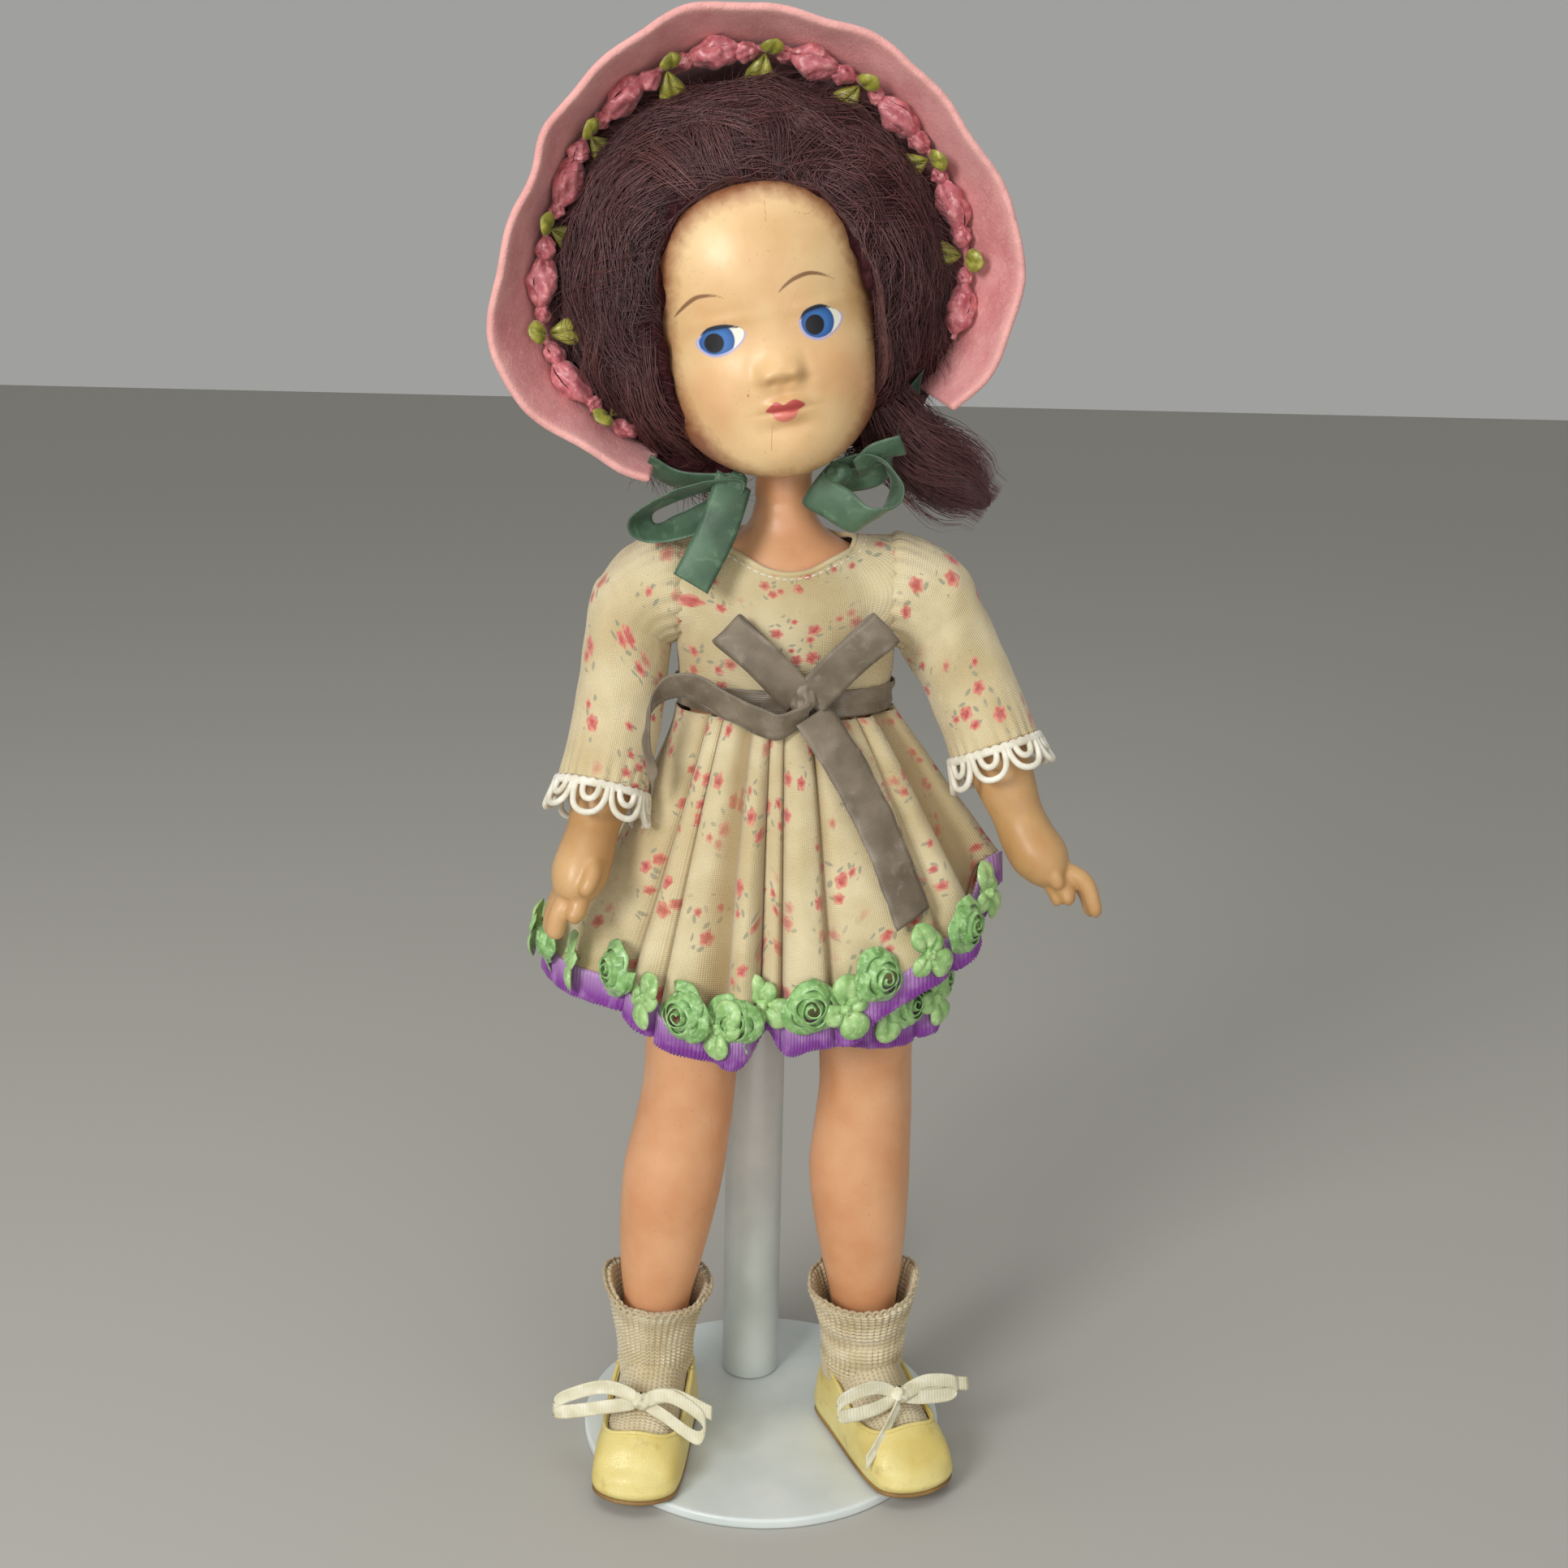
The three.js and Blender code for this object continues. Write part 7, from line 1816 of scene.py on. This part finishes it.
# Ribbon bows over the insteps, each in its own set of loops and tails: aside, forward and up from the knot
shoeTies = {"right": {"loops": [[(-1, 0, 0), (-10, 0, 3.4), (-22.5, 0, -1.5), (-23, 0.6, -5),
                                 (-11, 1, -2.4)],
                                [(1, 0, 0), (8, 0.6, 2.6), (17, 1, -3), (16, 1.6, -9), (7, 1.4, -3.4)]],
                      "tails": [[(1, 0.6, 0.5), (9, 0, 2.4), (19.5, 0, -2)]]},
            "left": {"loops": [[(-1, 0, 0), (-8, 0, 4), (-17.5, 0, 2), (-18, 0.6, -2), (-8, 1, -2)],
                               [(1, 0, 0), (8, 0.2, 2.4), (17, 0.6, 0.2), (15.6, 1.2, -2.6),
                                (6, 1.2, -1.6)]],
                     "tails": [[(1, 0.6, 0.4), (10, 0, 1.4), (21.5, 0, -1.6)],
                               [(-0.6, 1.6, -1), (-7, 6, -6.4), (-13.6, 8.4, -12.8)]]}}


def makeShoeTie(side):
    leg, ties = legs[side], shoeTies[side]
    ankle, forward, sideways = footFrame(leg)
    reach = 0.52 * foot["length"]
    knot = ankle + forward * reach
    knot.z = foot["bottom"] + along(foot["rows"], (reach + foot["heelBehind"]) / foot["length"])[1] + 4.8
    flat = tuple(Vector((0, 0, 1)) - forward * 0.25)

    def fromKnot(spots):
        return [knot + sideways * x + forward * y + Vector((0, 0, z)) for x, y, z in spots]

    pieces = [ribbonBud("knot", knot, Vector((0, 0, 1)), sideways, forward, 5, 4.6, 4.4, 3)]
    for loop in ties["loops"]:
        pieces.append(ribbonStrip("loop", fromKnot(loop), shoe["tie"], flat, 40, True, 0.2, 0.45))
    for tail in ties["tails"]:
        pieces.append(ribbonStrip("tail", fromKnot(tail), shoe["tie"], flat, 24, False, 0.2, 0.45, 0.3))
    finishPiece(joinPieces("shoe_bow_" + side, pieces), tieTape, "leg_" + side, "tie_ribbon",
                "shoe_tie_" + side)


for side in ("right", "left"):
    makeSock(side)
    makeShoe(side)
    makeShoeTie(side)
print("footwear made")


# Plain small parts that stay as packed: nylon bush, spring wire, elastic, hardwood and wig gauze
def makePlain(name, dark, light, roughness, metallic=0.0):
    material, tree, shader = startMaterial(name, Roughness=roughness, Metallic=metallic)
    coords = addNode(tree, "TexCoord").outputs["Object"]
    tree.links.new(twoTone(tree, coords, 3, toLinear(dark), toLinear(light)), shader.inputs["Base Color"])
    fine = addNode(tree, "TexNoise", {"Vector": coords, "Scale": 1000 / 0.8, "Detail": 2})
    setBump(tree, shader, fine.outputs[0], 0.06, 0.4)
    return material


kept = {"stand_bush": ("whiteNylon", "#D9D9D2", "#E6E6E0", 0.5),
        "stand_clip": ("springSteelWire", "#B9BDBE", "#D2D5D5", 0.3, 0.9),
        "arm_elastic": ("stringingElastic", "#B9A98A", "#D2C4A6", 0.85),
        "neck_bar": ("turnedHardwood", "#A87B4C", "#C39A68", 0.6),
        "wig_cap": ("wigGauze", "#4A2C28", "#6B4640", 0.95)}
sharedWith = {"arm_hook_right": "stand_clip", "arm_hook_left": "stand_clip", "leg_hook_right": "stand_clip",
              "leg_hook_left": "stand_clip", "neck_hook": "stand_clip", "body_elastic": "arm_elastic"}
keptMaterials = {node: makePlain(*values) for node, values in kept.items()}
for node in list(kept) + list(sharedWith):
    data = frame["nodes"][node].data
    data.materials.clear()
    data.materials.append(keptMaterials[sharedWith.get(node, node)])
print("small parts dressed")


# Floor, soft studio light and the camera at the photograph's angle
studio = {"cameraAt": (0.0024, -0.495, 0.3263), "tilt": 74.73, "roll": 1.3, "lens": 44, "floor": "#B9B7B0",
          "floorSize": 8}


def makeStudio():
    bpy.ops.mesh.primitive_plane_add(size=studio["floorSize"])
    floor = bpy.context.object
    floor.name = "studio_floor"
    material, _, shader = startMaterial("paleBackdrop", Roughness=0.9, Specular_IOR_Level=0.1)
    shader.inputs["Base Color"].default_value = toLinear(studio["floor"])
    floor.data.materials.append(material)
    lights = [("key", (-0.55, -0.85, 0.6), 0.4, 6.4), ("fill", (0.25, -1.15, 0.26), 1.3, 4.8),
              ("top", (-0.1, -0.3, 1.3), 0.9, 3.4)]
    for name, place, size, power in lights:
        lamp = bpy.data.lights.new(name, "AREA")
        lamp.shape = "DISK"
        lamp.size = size
        lamp.energy = power
        light = bpy.data.objects.new(name, lamp)
        bpy.context.collection.objects.link(light)
        light.location = place
        light.rotation_euler = (Vector((0, 0, 0.2)) - Vector(place)).to_track_quat("-Z", "Y").to_euler()
    world = bpy.data.worlds.new("studio")
    world.use_nodes = True
    sky = world.node_tree.nodes["Background"]
    sky.inputs[0].default_value = toLinear("#F1F1EE")
    sky.inputs[1].default_value = 0.4
    bpy.context.scene.world = world
    bpy.context.scene.view_settings.view_transform = "Standard"

    data = bpy.data.cameras.new("camera")
    data.angle = math.radians(studio["lens"])
    camera = bpy.data.objects.new("camera", data)
    bpy.context.collection.objects.link(camera)
    tilt = Matrix.Rotation(math.radians(studio["tilt"]), 4, "X")
    turn = tilt @ Matrix.Rotation(math.radians(studio["roll"]), 4, "Z")
    camera.matrix_world = Matrix.Translation(studio["cameraAt"]) @ turn
    bpy.context.scene.camera = camera


makeStudio()
print("studio ready")
